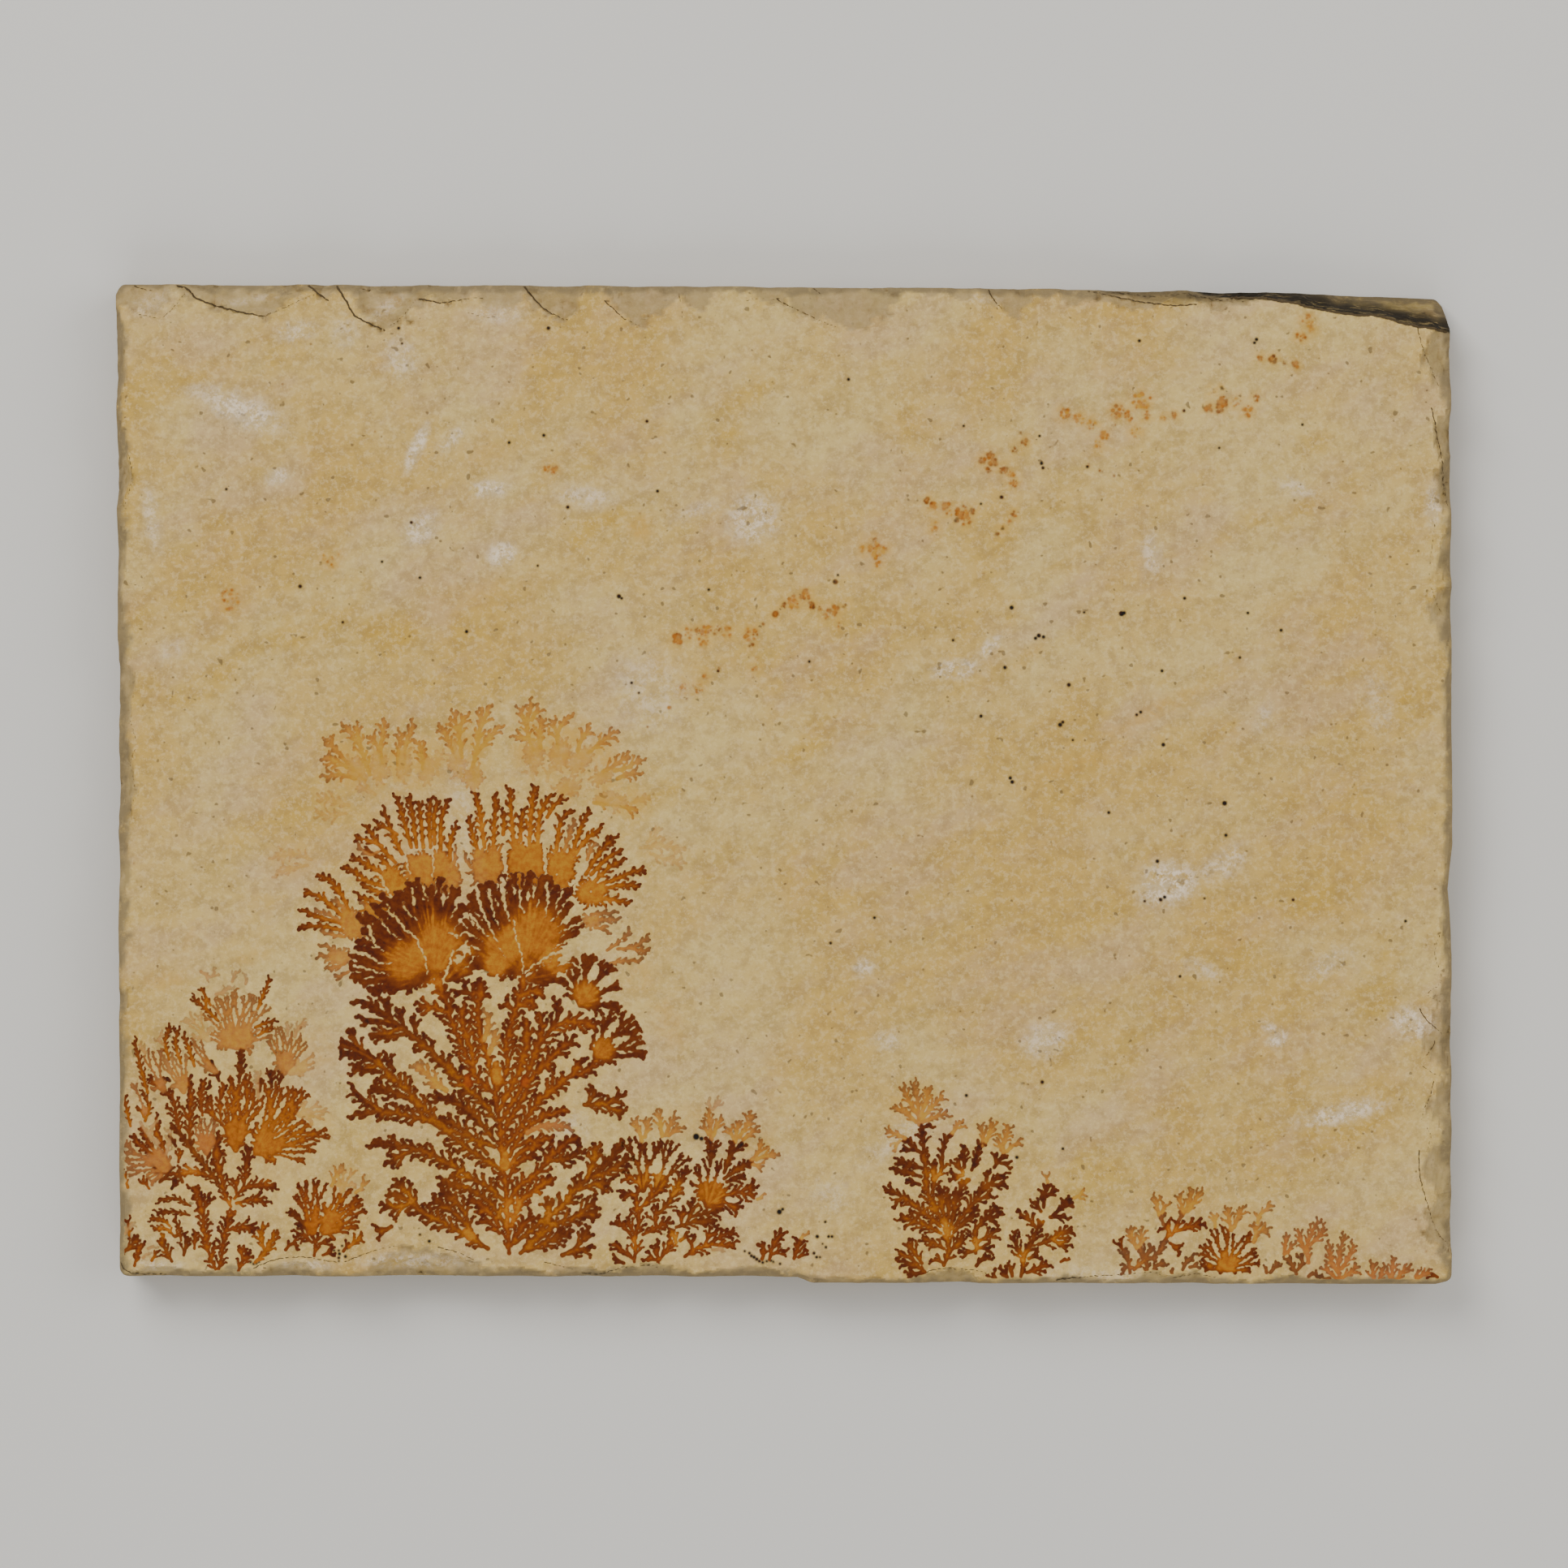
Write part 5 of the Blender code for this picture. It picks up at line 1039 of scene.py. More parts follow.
def grow(tips, ground, rng):
    """All tips advance together by one step at a time. Each steers away from its neighbours, stops
    where it would close the gap to one, puts out side twigs at even distances, and splits where
    there is room. Returns the round dabs of stain that they leave: x, y, radius and three tones."""
    habits = habit_table()
    dabs = []
    for _ in range(LONGEST_GROWTH):
        if not len(tips):
            break
        habit = habits[tips["habit"]]
        share = tips["gone"] / np.maximum(tips["gone"] + tips["left"], 1e-6)
        radius = (habit["radius"] + (habit["tip_radius"] - habit["radius"]) * share) * tips["size"]
        reach = radius + habit["gap"] * np.sqrt(np.minimum(tips["size"], 1.0))

        def look(angle, distance):
            x = tips["x"] + distance * np.cos(tips["heading"] + angle)
            y = tips["y"] + distance * np.sin(tips["heading"] + angle)
            return ground.stranger(tips, x, y, habit["grace"])

        turn = np.zeros(len(tips))
        for aside, beyond, force in STEERING:
            turn += force * (look(-aside, reach + beyond).astype(float) - look(aside, reach + beyond))
        drift = np.angle(np.exp(1j * (tips["aim"] - tips["heading"])))
        tips["heading"] += turn + habit["pull"] * drift
        tips["heading"] += rng.normal(0.0, 1.0, len(tips)) * habit["wander"]
        blocked = look(0.0, reach) | look(AHEAD, reach * 0.97) | look(-AHEAD, reach * 0.97)
        blocked |= look(BESIDE, reach * 0.9) & look(-BESIDE, reach * 0.9)
        alive = (tips["left"] > 0.0) & ~blocked

        dark = np.minimum(tips["dark"] + habit["darken"] * share ** 3, DARKEST_STAIN)
        beat = 1.0 + habit["lobed"] * np.sin(tips["gone"] * LOBE_BEAT + tips["wave"])
        dab = np.column_stack([tips["x"], tips["y"], radius * beat, dark, tips["red"], tips["veil"]])
        dabs.append(dab[alive | (tips["gone"] > 0)])
        ground.mark(tips["x"], tips["y"], radius * HELD, tips["own"])

        tips["x"] += GROWTH_STEP * np.cos(tips["heading"])
        tips["y"] += GROWTH_STEP * np.sin(tips["heading"])
        tips["gone"] += GROWTH_STEP
        tips["young"] += GROWTH_STEP
        tips["left"] -= GROWTH_STEP
        budding = alive & (tips["gone"] >= tips["twig_at"]) & (habit["twig_habit"] >= 0)
        room = habit["split_room"] * tips["size"]
        splitting = alive & (tips["gone"] >= tips["split_at"]) & (room > 0)
        for angle in SPLIT_LOOKS:
            splitting &= ~look(angle, room)
        born = [bud(tips, budding, habits, ground, rng), split(tips, splitting, habits, ground, rng)]
        tips = np.concatenate([tips[alive]] + born)
    return np.vstack(dabs)


def bud(tips, chosen, habits, ground, rng):
    """Side twigs of the chosen tips, on alternate sides."""
    mother = tips[chosen]
    number = len(mother)
    ways = habits[mother["habit"]]
    child = mother.copy()
    turn = mother["side"] * ways["twig_angle"] * rng.uniform(0.8, 1.2, number)
    child["heading"] = mother["heading"] + turn
    child["aim"] = mother["heading"] + mother["side"] * ways["twig_angle"] * BEND_BACK
    length = ways["twig_length"] * rng.uniform(0.6, 1.25, number) * mother["size"]
    child["left"] = np.minimum(length, 0.75 * mother["left"] + 0.5)
    child["gone"] = 0.0
    child["young"] = 0.0
    child["parent"] = mother["own"]
    child["own"] = ground.new_names(mother["own"])
    child["habit"] = ways["twig_habit"]
    child["wave"] = rng.uniform(0.0, TURN, number)
    own_ways = habits[child["habit"]]
    child["twig_at"] = own_ways["twig_every"] * rng.uniform(0.9, 1.6, number)
    child["split_at"] = own_ways["split_every"] * rng.uniform(0.8, 1.4, number)
    child["side"] = np.where(rng.random(number) < 0.5, -1.0, 1.0)
    tips["side"][chosen] *= -1
    tips["twig_at"][chosen] += ways["twig_every"] * rng.uniform(0.75, 1.25, number)
    return child


def split(tips, chosen, habits, ground, rng):
    """The second halves of the chosen tips, which turn away to the other side."""
    mother = tips[chosen]
    number = len(mother)
    ways = habits[mother["habit"]]
    child = mother.copy()
    spread = ways["split_angle"] * rng.uniform(0.8, 1.2, number)
    child["heading"] += spread
    child["aim"] += spread * 0.8
    child["parent"] = mother["own"]
    child["own"] = ground.new_names(mother["own"])
    child["wave"] = rng.uniform(0.0, TURN, number)
    child["side"] = -mother["side"]
    child["young"] = 0.0
    child["left"] *= rng.uniform(0.88, 1.0, number)
    child["split_at"] += ways["split_every"] * rng.uniform(0.8, 1.5, number)
    child["twig_at"] = child["gone"] + ways["twig_every"] * rng.uniform(0.3, 1.0, number)
    tips["heading"][chosen] -= spread
    tips["aim"][chosen] -= spread * 0.8
    tips["young"][chosen] = 0.0
    tips["parent"][chosen] = mother["own"]
    tips["own"][chosen] = ground.new_names(mother["own"])
    tips["split_at"][chosen] += ways["split_every"] * rng.uniform(0.8, 1.5, number)
    return child


def new_tips(number, **values):
    """Tips that all start with these values."""
    tips = np.zeros(number, TIP)
    for key, value in values.items():
        tips[key] = value
    return tips


def lay_stem(points, look, ground, rng, scale):
    """One stem along its curve, and the tips of the barbs that start on both of its sides."""
    base, tip, barb, barb_habit, dark, darker, red, veil = LOOKS[look]
    base, tip, barb = base * scale, tip * scale, barb * scale
    closest, widest = 0.42, 0.74
    x, y, heading, gone = curve_through(points)
    number = len(x)
    whole = gone[-1] + 1e-6
    share = gone / whole
    name = ground.new_names([0])[0]
    beat = 1 + 0.10 * np.sin(gone * 5.0 + rng.uniform(0.0, TURN))
    radius = (base + (tip - base) * share) * beat
    tone = np.ones(number)
    dark = dark + rng.normal(0.0, 0.05)
    dabs = np.column_stack([x, y, radius, dark + darker * share ** 2, tone * red, tone * veil])
    ground.mark(x, y, radius * HELD, np.full(number, name))
    at = np.cumsum(scale * rng.uniform(closest, widest, int(whole / closest / scale) + 2))
    at = at[at < whole]
    count = len(at)
    place = np.minimum((at / GROWTH_STEP).astype(int), number - 1)
    side = np.where(np.arange(count) % 2 == 0, 1.0, -1.0)
    side = side * (1.0 if rng.random() < 0.5 else -1.0)
    angle = side * rng.uniform(0.5, 0.8, count)
    length = barb * (0.55 + 0.6 * np.sin(np.pi * np.minimum(1.0, 0.15 + 0.85 * at / whole)))
    length = np.minimum(length * rng.uniform(0.6, 1.25, count), 0.55 * (whole - at) + 0.9)
    tips = new_tips(
        count, x=x[place], y=y[place], heading=heading[place] + angle,
        aim=heading[place] + angle * BEND_BACK, left=np.maximum(length, 0.7), parent=name,
        own=ground.new_names(np.full(count, name)), habit=habit_number(barb_habit),
        dark=dark + darker * (at / whole) ** 2 + rng.normal(0.0, 0.06, count),
        red=red, veil=veil, side=-side,
        size=rng.uniform(0.85, 1.15, count) * (0.8 + 0.35 * at / whole) * scale,
        twig_at=rng.uniform(0.5, 1.0, count), split_at=NEVER, wave=rng.uniform(0.0, TURN, count))
    return dabs, tips


def read_evenly(values, share):
    """Values read at shares of their row, with straight lines between them."""
    return np.interp(share, np.linspace(0.0, 1.0, len(values)), values)


def lay_fan(way, ground, rng, scale, focus, start, end, reaches, hearts, inner=0.0, dark=1.0, red=0.35,
            veil=1.0, spacing=1.05, ragged=0.16, fringe=1.1, size=1.0):
    """One fan: a solid heart of rays from its focus, and fingers that start side by side on its edge.
    Reaches and hearts are the distances from the focus, read evenly from the first angle to the last."""
    mother = ground.new_names([0])[0]
    size = size * scale
    spacing = spacing * scale
    width = abs(np.radians(end - start))
    ray_gap, step, solid = 0.32, 0.15, 0.8
    rays = max(6, int(width * max(hearts) / ray_gap))
    share = (np.arange(rays) + 0.5) / rays
    angle = np.radians(start + (end - start) * share)[:, None]
    length = (read_evenly(hearts, share) * (1.0 + rng.uniform(-ragged, ragged * 0.6, rays)))[:, None]
    out = np.arange(inner, max(hearts) * 1.2, step)[None, :]
    radius = 0.20 + 0.24 * smoothstep(length, length - 1.6, out)
    x = focus[0] + out * np.cos(angle)
    y = focus[1] + out * np.sin(angle)
    shade = dark + rng.normal(0.0, 0.08, rays)[:, None]
    shade = shade + 0.06 * np.sin(2.1 * out + rng.uniform(0.0, TURN, (rays, 1)))
    kept = out < length
    marked = kept & (out < solid * length)
    ground.mark(x[marked], y[marked], radius[marked] * HELD, np.full(marked.sum(), mother))
    tone = np.ones(kept.sum())
    dabs = np.column_stack([x[kept], y[kept], radius[kept], shade[kept], tone * red, tone * veil])

    number = max(2, int(round(width * float(np.mean(hearts)) * solid / spacing)))
    share = (np.arange(number) + 0.5 + rng.uniform(-0.12, 0.12, number)) / number
    angle = np.radians(start + (end - start) * share)
    birth = read_evenly(hearts, share) * solid
    reach = read_evenly(reaches, share) * (1 + rng.normal(0.0, 0.06, number))
    tips = [new_tips(
        number, x=focus[0] + birth * np.cos(angle), y=focus[1] + birth * np.sin(angle), heading=angle,
        aim=angle, left=np.maximum(reach - birth, 0.5), parent=mother,
        own=ground.new_names(np.full(number, mother)), habit=habit_number(way),
        size=size * rng.uniform(0.88, 1.12, number),
        dark=dark * rng.uniform(0.92, 1.05, number), red=red, veil=veil,
        side=np.where(rng.random(number) < 0.5, -1.0, 1.0), twig_at=rng.uniform(0.3, 1.2, number),
        split_at=rng.uniform(0.8, 2.5, number), wave=rng.uniform(0.0, TURN, number))]
    for edge, sign, heart in ((start, -1.0, hearts[0]), (end, 1.0, hearts[-1])):
        out = np.arange(inner + 0.8, heart - 0.3, 0.75)
        if fringe <= 0 or not len(out):
            continue
        out = out + rng.uniform(-0.2, 0.2, len(out))
        edge = np.radians(edge)
        heading = edge + sign * rng.uniform(0.5, 0.9, len(out))
        tips.append(fringe_tips(
            focus[0] + out * np.cos(edge), focus[1] + out * np.sin(edge), heading, fringe, "barb",
            mother, ground, rng, dark, red, veil))
    return dabs, np.concatenate(tips)


def fringe_tips(x, y, heading, length, habit, mother, ground, rng, dark, red, veil):
    """Short barbs that start at these points of a heart's or a blot's edge."""
    count = len(x)
    return new_tips(
        count, x=x, y=y, heading=heading, aim=heading, left=length * rng.uniform(0.5, 1.4, count),
        parent=mother, own=ground.new_names(np.full(count, mother)), habit=habit_number(habit), size=0.9,
        dark=dark, red=red, veil=veil, side=1.0, twig_at=0.5, split_at=NEVER)


def lay_blot(ground, rng, x, y, half_length, half_width, turn=0.0, dark=0.2, red=0.3, veil=1.0,
             fringe=0.8):
    """One solid blot: rays of dabs out to the wavy edge of an ellipse, fringed with short barbs. The
    ellipse's radius along a ray is a b / sqrt((b cos)^2 + (a sin)^2)."""
    mother = ground.new_names([0])[0]
    full_circle = 6.2832
    ray_gap, step, dab = 0.3, 0.2, 0.24
    rays = max(12, int(TURN * max(half_length, half_width) / ray_gap))
    angle = full_circle * (np.arange(rays) + 0.5) / rays
    own_angle = angle - math.radians(turn)
    across, along = half_width * np.cos(own_angle), half_length * np.sin(own_angle)
    reach = half_length * half_width / np.hypot(across, along)
    phase = rng.uniform(0.0, TURN, 2)
    reach = reach * (1.0 + 0.10 * np.sin(5 * angle + phase[0]) + 0.07 * np.sin(9 * angle + phase[1]))
    reach = reach * (1.0 + rng.uniform(-0.26, 0.12, rays))
    out = np.arange(0.0, reach.max(), step)[None, :] + 0.0 * reach[:, None]
    kept = out < reach[:, None]
    spot_x = (x + out * np.cos(angle)[:, None])[kept]
    spot_y = (y + out * np.sin(angle)[:, None])[kept]
    tone = np.ones(kept.sum())
    shade = (dark + rng.normal(0.0, 0.07, rays)[:, None] + 0.0 * out)[kept]
    dabs = np.column_stack([spot_x, spot_y, dab * tone, shade, red * tone, veil * tone])
    ground.mark(spot_x, spot_y, 0.2 * tone, np.full(len(tone), mother))
    chosen = np.arange(0, rays, 2)
    edge = reach[chosen] - 0.1
    tips = fringe_tips(
        x + edge * np.cos(angle[chosen]), y + edge * np.sin(angle[chosen]), angle[chosen], fringe,
        "short_barb", mother, ground, rng, dark, red, veil)
    return dabs, tips


def grow_layer(seed, stems=(), fans=(), blots=(), scale=1.0):
    """All blots, fans and stems of one layer, grown together: their dabs of stain. The scale makes its
    stems, fingers and barbs finer."""
    ground = Ground()
    rng = np.random.default_rng(seed)
    dabs = []
    tips = []
    for sizes in blots:
        laid, started = lay_blot(ground, rng, **sizes)
        dabs.append(laid)
        tips.append(started)
    for way, sizes in fans:
        laid, started = lay_fan(way, ground, rng, scale, **sizes)
        dabs.append(laid)
        tips.append(started)
    for look, lines in stems:
        for points in lines:
            laid, started = lay_stem(points, look, ground, rng, scale)
            dabs.append(laid)
            tips.append(started)
    return np.vstack(dabs + [grow(np.concatenate(tips), ground, rng)])


# The fields that the films are cut from


def dab_field(dabs, low, shape, spacing):
    """The film's field on an even grid: the deepest cover by any dab (its radius less the distance to
    its middle), and the dabs' tones, averaged with weights that grow with their cover."""
    x, y, radius = dabs[:, 0], dabs[:, 1], dabs[:, 2]
    rows, columns = shape
    cover = np.full(rows * columns, -1.0)
    weight = np.zeros(rows * columns)
    tones = np.zeros((3, rows * columns))
    column0 = np.round((x - low[0]) / spacing).astype(int)
    row0 = np.round((y - low[1]) / spacing).astype(int)
    span = int(np.ceil((radius.max() + 2 * spacing) / spacing))
    for up in range(-span, span + 1):
        for across in range(-span, span + 1):
            column = column0 + across
            row = row0 + up
            value = radius - np.hypot(low[0] + column * spacing - x, low[1] + row * spacing - y)
            near = (value > -2 * spacing) & (column >= 0) & (column < columns) & (row >= 0) & (row < rows)
            place = row[near] * columns + column[near]
            np.maximum.at(cover, place, value[near])
            pull = np.exp(TONE_PULL * value[near])
            weight += np.bincount(place, pull, rows * columns)
            for i in range(3):
                tones[i] += np.bincount(place, pull * dabs[near, 3 + i], rows * columns)
    tones /= np.maximum(weight, 1e-12)
    return cover.reshape(rows, columns), tones.reshape(3, rows, columns)


def cleft_dabs(clefts, rng, rough=1.0):
    """Dabs along each cleft or line of painted shadow, whose width tapers and beats and whose line wanders
    a little.
    """
    dabs = []
    for first, last, points in clefts:
        x, y, heading, gone = curve_through(points)
        share = gone / gone[-1]
        beat = 0.3 * np.sin(gone * 5.3 + rng.uniform(0.0, TURN)) + 0.2 * np.sin(gone * 11.0)
        aside = 0.10 * np.sin(gone * 3.9 + rng.uniform(0.0, TURN)) + 0.05 * np.sin(gone * 9.0)
        beat = 1.0 + rough * beat
        aside = rough * aside
        radius = 0.5 * (first + (last - first) * share) * beat
        zero = 0.0 * gone
        dabs.append(np.column_stack([
            x - aside * np.sin(heading), y + aside * np.cos(heading), np.maximum(radius, 0.05),
            zero, zero, zero]))
    return np.vstack(dabs)


def depth_inside(cover, spacing, most=1.6):
    """How deep each place lies inside the film, by wearing the film's edge away one cell at a time."""
    left = cover > 0
    depth = np.where(left, np.clip(cover, 0, spacing), 0.0)
    for i in range(int(most / spacing)):
        padded = np.pad(left, 1)
        left = padded[1:-1, :-2] & padded[1:-1, 2:] & padded[:-2, 1:-1] & padded[2:, 1:-1] & left
        if i % 2:
            left = left & padded[:-2, :-2] & padded[2:, 2:] & padded[:-2, 2:] & padded[2:, :-2]
        depth += left * spacing
    return depth


# The plate's surface


def waves(x, y, length, seed, count=14):
    """Smooth noise from about -1 to 1: a sum of sine waves of seeded turns and phases, whose lengths
    lie from 0.6 to 1.6 times the given one."""
    rng = np.random.default_rng(seed)
    total = np.zeros(np.broadcast(x, y).shape)
    turns, phases = rng.uniform(0, TURN, count), rng.uniform(0, TURN, count)
    for turn, phase, stretch in zip(turns, phases, rng.uniform(0.6, 1.6, count)):
        total = total + np.sin(TURN / (length * stretch) * (x * np.cos(turn) + y * np.sin(turn)) + phase)
    return total * math.sqrt(2.0 / count) * 0.6


def rounded_corner(before, corner, after, radius, steps=6):
    """The corner's points: an arc tangent to both edges, or the corner itself where the radius is 0."""
    if radius <= 0.0:
        return [corner]
    here = np.array(corner)
    back = np.array(before) - here
    ahead = np.array(after) - here
    back = back / np.hypot(*back)
    ahead = ahead / np.hypot(*ahead)
    half = 0.5 * math.acos(float(back @ ahead))
    middle = (back + ahead) / np.hypot(*(back + ahead))
    centre = here + middle * radius / math.sin(half)
    start = here + back * radius / math.tan(half) - centre
    end = here + ahead * radius / math.tan(half) - centre
    first = math.atan2(start[1], start[0])
    turn = (math.atan2(end[1], end[0]) - first + math.pi) % (2 * math.pi) - math.pi
    angles = first + turn * np.linspace(0.0, 1.0, steps)
    return [(centre[0] + radius * math.cos(a), centre[1] + radius * math.sin(a)) for a in angles]


def edge_lines():
    """The four edges of the rounded outline, each from one end to the other with rising x or y."""
    points = []
    for i, (x, y, radius) in enumerate(OUTLINE):
        after = OUTLINE[(i + 1) % len(OUTLINE)][:2]
        points += rounded_corner(OUTLINE[i - 1][:2], (x, y), after, radius)
    points = np.array(points)
    ends = [(-HALF_LENGTH, -HALF_WIDTH), (HALF_LENGTH, -HALF_WIDTH), (HALF_LENGTH, HALF_WIDTH),
            (-HALF_LENGTH, HALF_WIDTH)]
    places = [int(np.argmin(np.hypot(points[:, 0] - x, points[:, 1] - y))) for x, y in ends]
    points = np.roll(points, -places[0], axis=0)
    cuts = [(place - places[0]) % len(points) for place in places] + [len(points)]
    points = np.vstack([points, points[:1]])
    lines = [points[a:b + 1] for a, b in zip(cuts, cuts[1:])]
    return {"bottom": lines[0], "right": lines[1], "top": lines[2][::-1], "left": lines[3][::-1]}


EDGES = edge_lines()


def read_line(line, share):
    """Points at these shares of the line's own length."""
    length = np.concatenate([[0.0], np.cumsum(np.hypot(*np.diff(line, axis=0).T))])
    at = share * length[-1]
    return np.column_stack([np.interp(at, length, line[:, 0]), np.interp(at, length, line[:, 1])])


def graded_shares(whole, fine, coarse, band, blend=6.0):
    """Shares from 0 to 1 whose steps are fine within a band at both ends and coarse between."""
    place = np.linspace(0.0, whole, 4000)
    inward = np.minimum(place, whole - place)
    step = fine + (coarse - fine) * smoothstep(band, band + blend, inward)
    count = np.concatenate([[0.0], np.cumsum(np.diff(place) / (0.5 * (step[1:] + step[:-1])))])
    stops = np.linspace(0.0, count[-1], int(round(count[-1])) + 1)
    return np.interp(stops, count, place) / whole


def face_grid():
    """The face's grid: every point blends the four edge lines, so that the rows and columns follow
    the outline. Point = bottom to top blend + left to right blend - the blend of the four corners."""
    s = graded_shares(2 * HALF_LENGTH, fine=0.32, coarse=0.64, band=3.6)
    t = graded_shares(2 * HALF_WIDTH, fine=0.29, coarse=1.0, band=6.6)
    bottom, top = read_line(EDGES["bottom"], s), read_line(EDGES["top"], s)
    left, right = read_line(EDGES["left"], t), read_line(EDGES["right"], t)
    s = s[None, :, None]
    t = t[:, None, None]
    rows = (1 - t) * bottom[None] + t * top[None]
    columns = (1 - s) * left[:, None] + s * right[:, None]
    corners = (1 - s) * (1 - t) * bottom[0] + s * (1 - t) * bottom[-1]
    corners = corners + (1 - s) * t * top[0] + s * t * top[-1]
    grid = rows + columns - corners
    return grid[..., 0], grid[..., 1]


def inward_from(side, x, y):
    """How far inside one edge line the points lie, and their place along it."""
    line = EDGES[side]
    if side in ("top", "bottom"):
        reach = np.interp(x, line[:, 0], line[:, 1])
        return (reach - y if side == "top" else y - reach), x
    reach = np.interp(y, line[:, 1], line[:, 0])
    return (reach - x if side == "right" else x - reach), y


def rim_distance(x, y):
    """How far inside the nearest edge the points lie."""
    return np.min([inward_from(side, x, y)[0] for side in SPALLS], axis=0)


def small_flakes(side, seed):
    """Small seeded flakes along one edge, as (middle, half length, reach, drop)."""
    rng = np.random.default_rng(seed)
    half = HALF_LENGTH if side in ("top", "bottom") else HALF_WIDTH
    one_every = 3.2
    count = int(half * 2 / one_every)
    middles = rng.uniform(-half, half, count)
    halves = rng.uniform(0.5, 2.6, count)
    reaches = halves * rng.uniform(0.25, 0.6, count)
    return list(zip(middles, halves, reaches, rng.uniform(0.3, 1.2, count)))


def spall_depth(x, y):
    """How far the rim's spalls lower the face, and how far outside the nearest one a point lies. A
    spall is a short steep lip and then an even fall outwards; noise frets its line and terraces it."""
    drop = np.zeros(np.broadcast(x, y).shape)
    clear = np.full(drop.shape, 9.0)
    fret = 0.13 * waves(x, y, 3.4, seed=21) + 0.08 * waves(x, y, 1.3, seed=22)
    for number, side in enumerate(("top", "left", "right", "bottom")):
        inward, along = inward_from(side, x, y)
        inward = np.maximum(inward, 0.0)
        flakes = SPALLS[side] + small_flakes(side, 30 + number)
        for middle, half, reach, fall in flakes:
            near = (np.abs(along - middle) < half * 1.4) & (inward < reach * 1.5 + 1.0)
            if not near.any():
                continue
            lean = 0.45 * math.sin(middle * 7.3)
            share = (along[near] - middle) / half
            share = share / (1.0 + lean * np.sign(share))
            shape = 1.0 - np.abs(share) ** SPALL_ROUNDNESS - inward[near] / reach
            inside = shape + fret[near] * min(1.0, reach)
            lip = SPALL_LIP * np.clip(inside / SPALL_LIP_WIDTH, 0.0, 1.0)
            slide = np.maximum(inside, 0.0) * max(0.0, fall - SPALL_LIP)
            slide = slide + 0.13 * np.sin(slide * 6.8) * np.clip(inside * 4.0, 0.0, 1.0)
            drop[near] = np.maximum(drop[near], lip + slide)
            clear[near] = np.minimum(clear[near], -inside * reach)
    return drop, clear


def break_distance(x, y):
    """How far beyond the line of the slanting corner break a point lies."""
    along = np.array(BREAK_END) - np.array(BREAK_START)
    along = along / np.hypot(*along)
    beyond = (x - BREAK_START[0]) * -along[1] + (y - BREAK_START[1]) * along[0]
    return beyond + 0.35 * waves(x, y, 13.0, seed=41) + 0.12 * waves(x, y, 3.0, seed=42)


def face_relief(x, y):
    """The low waves of the bedding plane itself, at most a few hundredths of a millimetre."""
    return 0.018 * waves(x, y, 21.0, seed=3) + 0.010 * waves(x, y, 8.0, seed=4)


def face_height(x, y):
    """The height of the face: the bedding plane with its low waves, less the deepest break there."""
    wear = EDGE_WEAR * (1.0 + 0.5 * waves(x, y, 4.0, seed=5)) - np.maximum(rim_distance(x, y), 0.0)
    beyond = break_distance(x, y)
    rough = 0.35 * waves(x, y, 5.0, seed=6) + 0.12 * waves(x, y, 1.6, seed=7)
    fall = np.where(beyond > 0, BREAK_SLOPE * beyond + rough * smoothstep(0.0, 1.2, beyond), 0.0)
    drop = np.maximum(np.maximum(spall_depth(x, y)[0], wear), fall)
    return np.maximum(LEAST_HEIGHT, FACE_LEVEL + face_relief(x, y) - np.maximum(drop, 0.0))


def border(grid):
    """The values along a grid's border, once round."""
    return np.concatenate([grid[0, :-1], grid[:-1, -1], grid[-1, :0:-1], grid[:0:-1, 0]])


def slab_points():
    """The plate's points as a face grid, rings down its side and rings across its underside."""
    x, y = face_grid()
    z = face_height(x, y)
    rim_x, rim_y = border(x), border(y)
    rim_z = face_height(rim_x, rim_y)
    rings = []
    for layer in range(SIDE_LAYERS):
        inset = LEDGE_DEPTH * np.clip(0.5 + waves(rim_x, rim_y, 11.0, seed=50 + layer), 0.0, 1.0)
        inset += 0.14 * np.clip(0.5 + waves(rim_x, rim_y, 2.4, seed=70 + layer), 0.0, 1.0)
        for share in (1.0 - (layer + 0.12) / SIDE_LAYERS, 1.0 - (layer + 0.92) / SIDE_LAYERS):
            rings.append((inset, share * rim_z))
    rings[-1] = (np.full(len(rim_x), UNDERSIDE_BEVEL), np.zeros(len(rim_x)))
    for inset in UNDERSIDE_RINGS:
        bumps = waves(rim_x * (1 - inset / 90), rim_y * (1 - inset / 70), 14.0, seed=90)
        rings.append((np.full(len(rim_x), inset), 0.10 * np.clip(0.4 + bumps, 0, 1)))
    points = [np.column_stack([x.ravel(), y.ravel(), z.ravel()])]
    for inset, height in rings:
        ring_x = rim_x * (1 - inset / HALF_LENGTH)
        ring_y = rim_y * (1 - inset / HALF_WIDTH)
        points.append(np.column_stack([ring_x, ring_y, height]))
    return np.vstack(points), x.shape, len(rim_x), len(rings)


def soft_ellipses(x, y, patches):
    """The strongest of soft-rimmed ellipses at each point."""
    strongest = np.zeros(x.shape)
    for middle_x, middle_y, half_length, half_width, turn, strength in patches:
        turn = math.radians(turn)
        along = (x - middle_x) * math.cos(turn) + (y - middle_y) * math.sin(turn)
        across = (y - middle_y) * math.cos(turn) - (x - middle_x) * math.sin(turn)
        distance = np.hypot(along / half_length, across / half_width)
        strongest = np.maximum(strongest, strength * smoothstep(1.5, 0.4, distance))
    return strongest


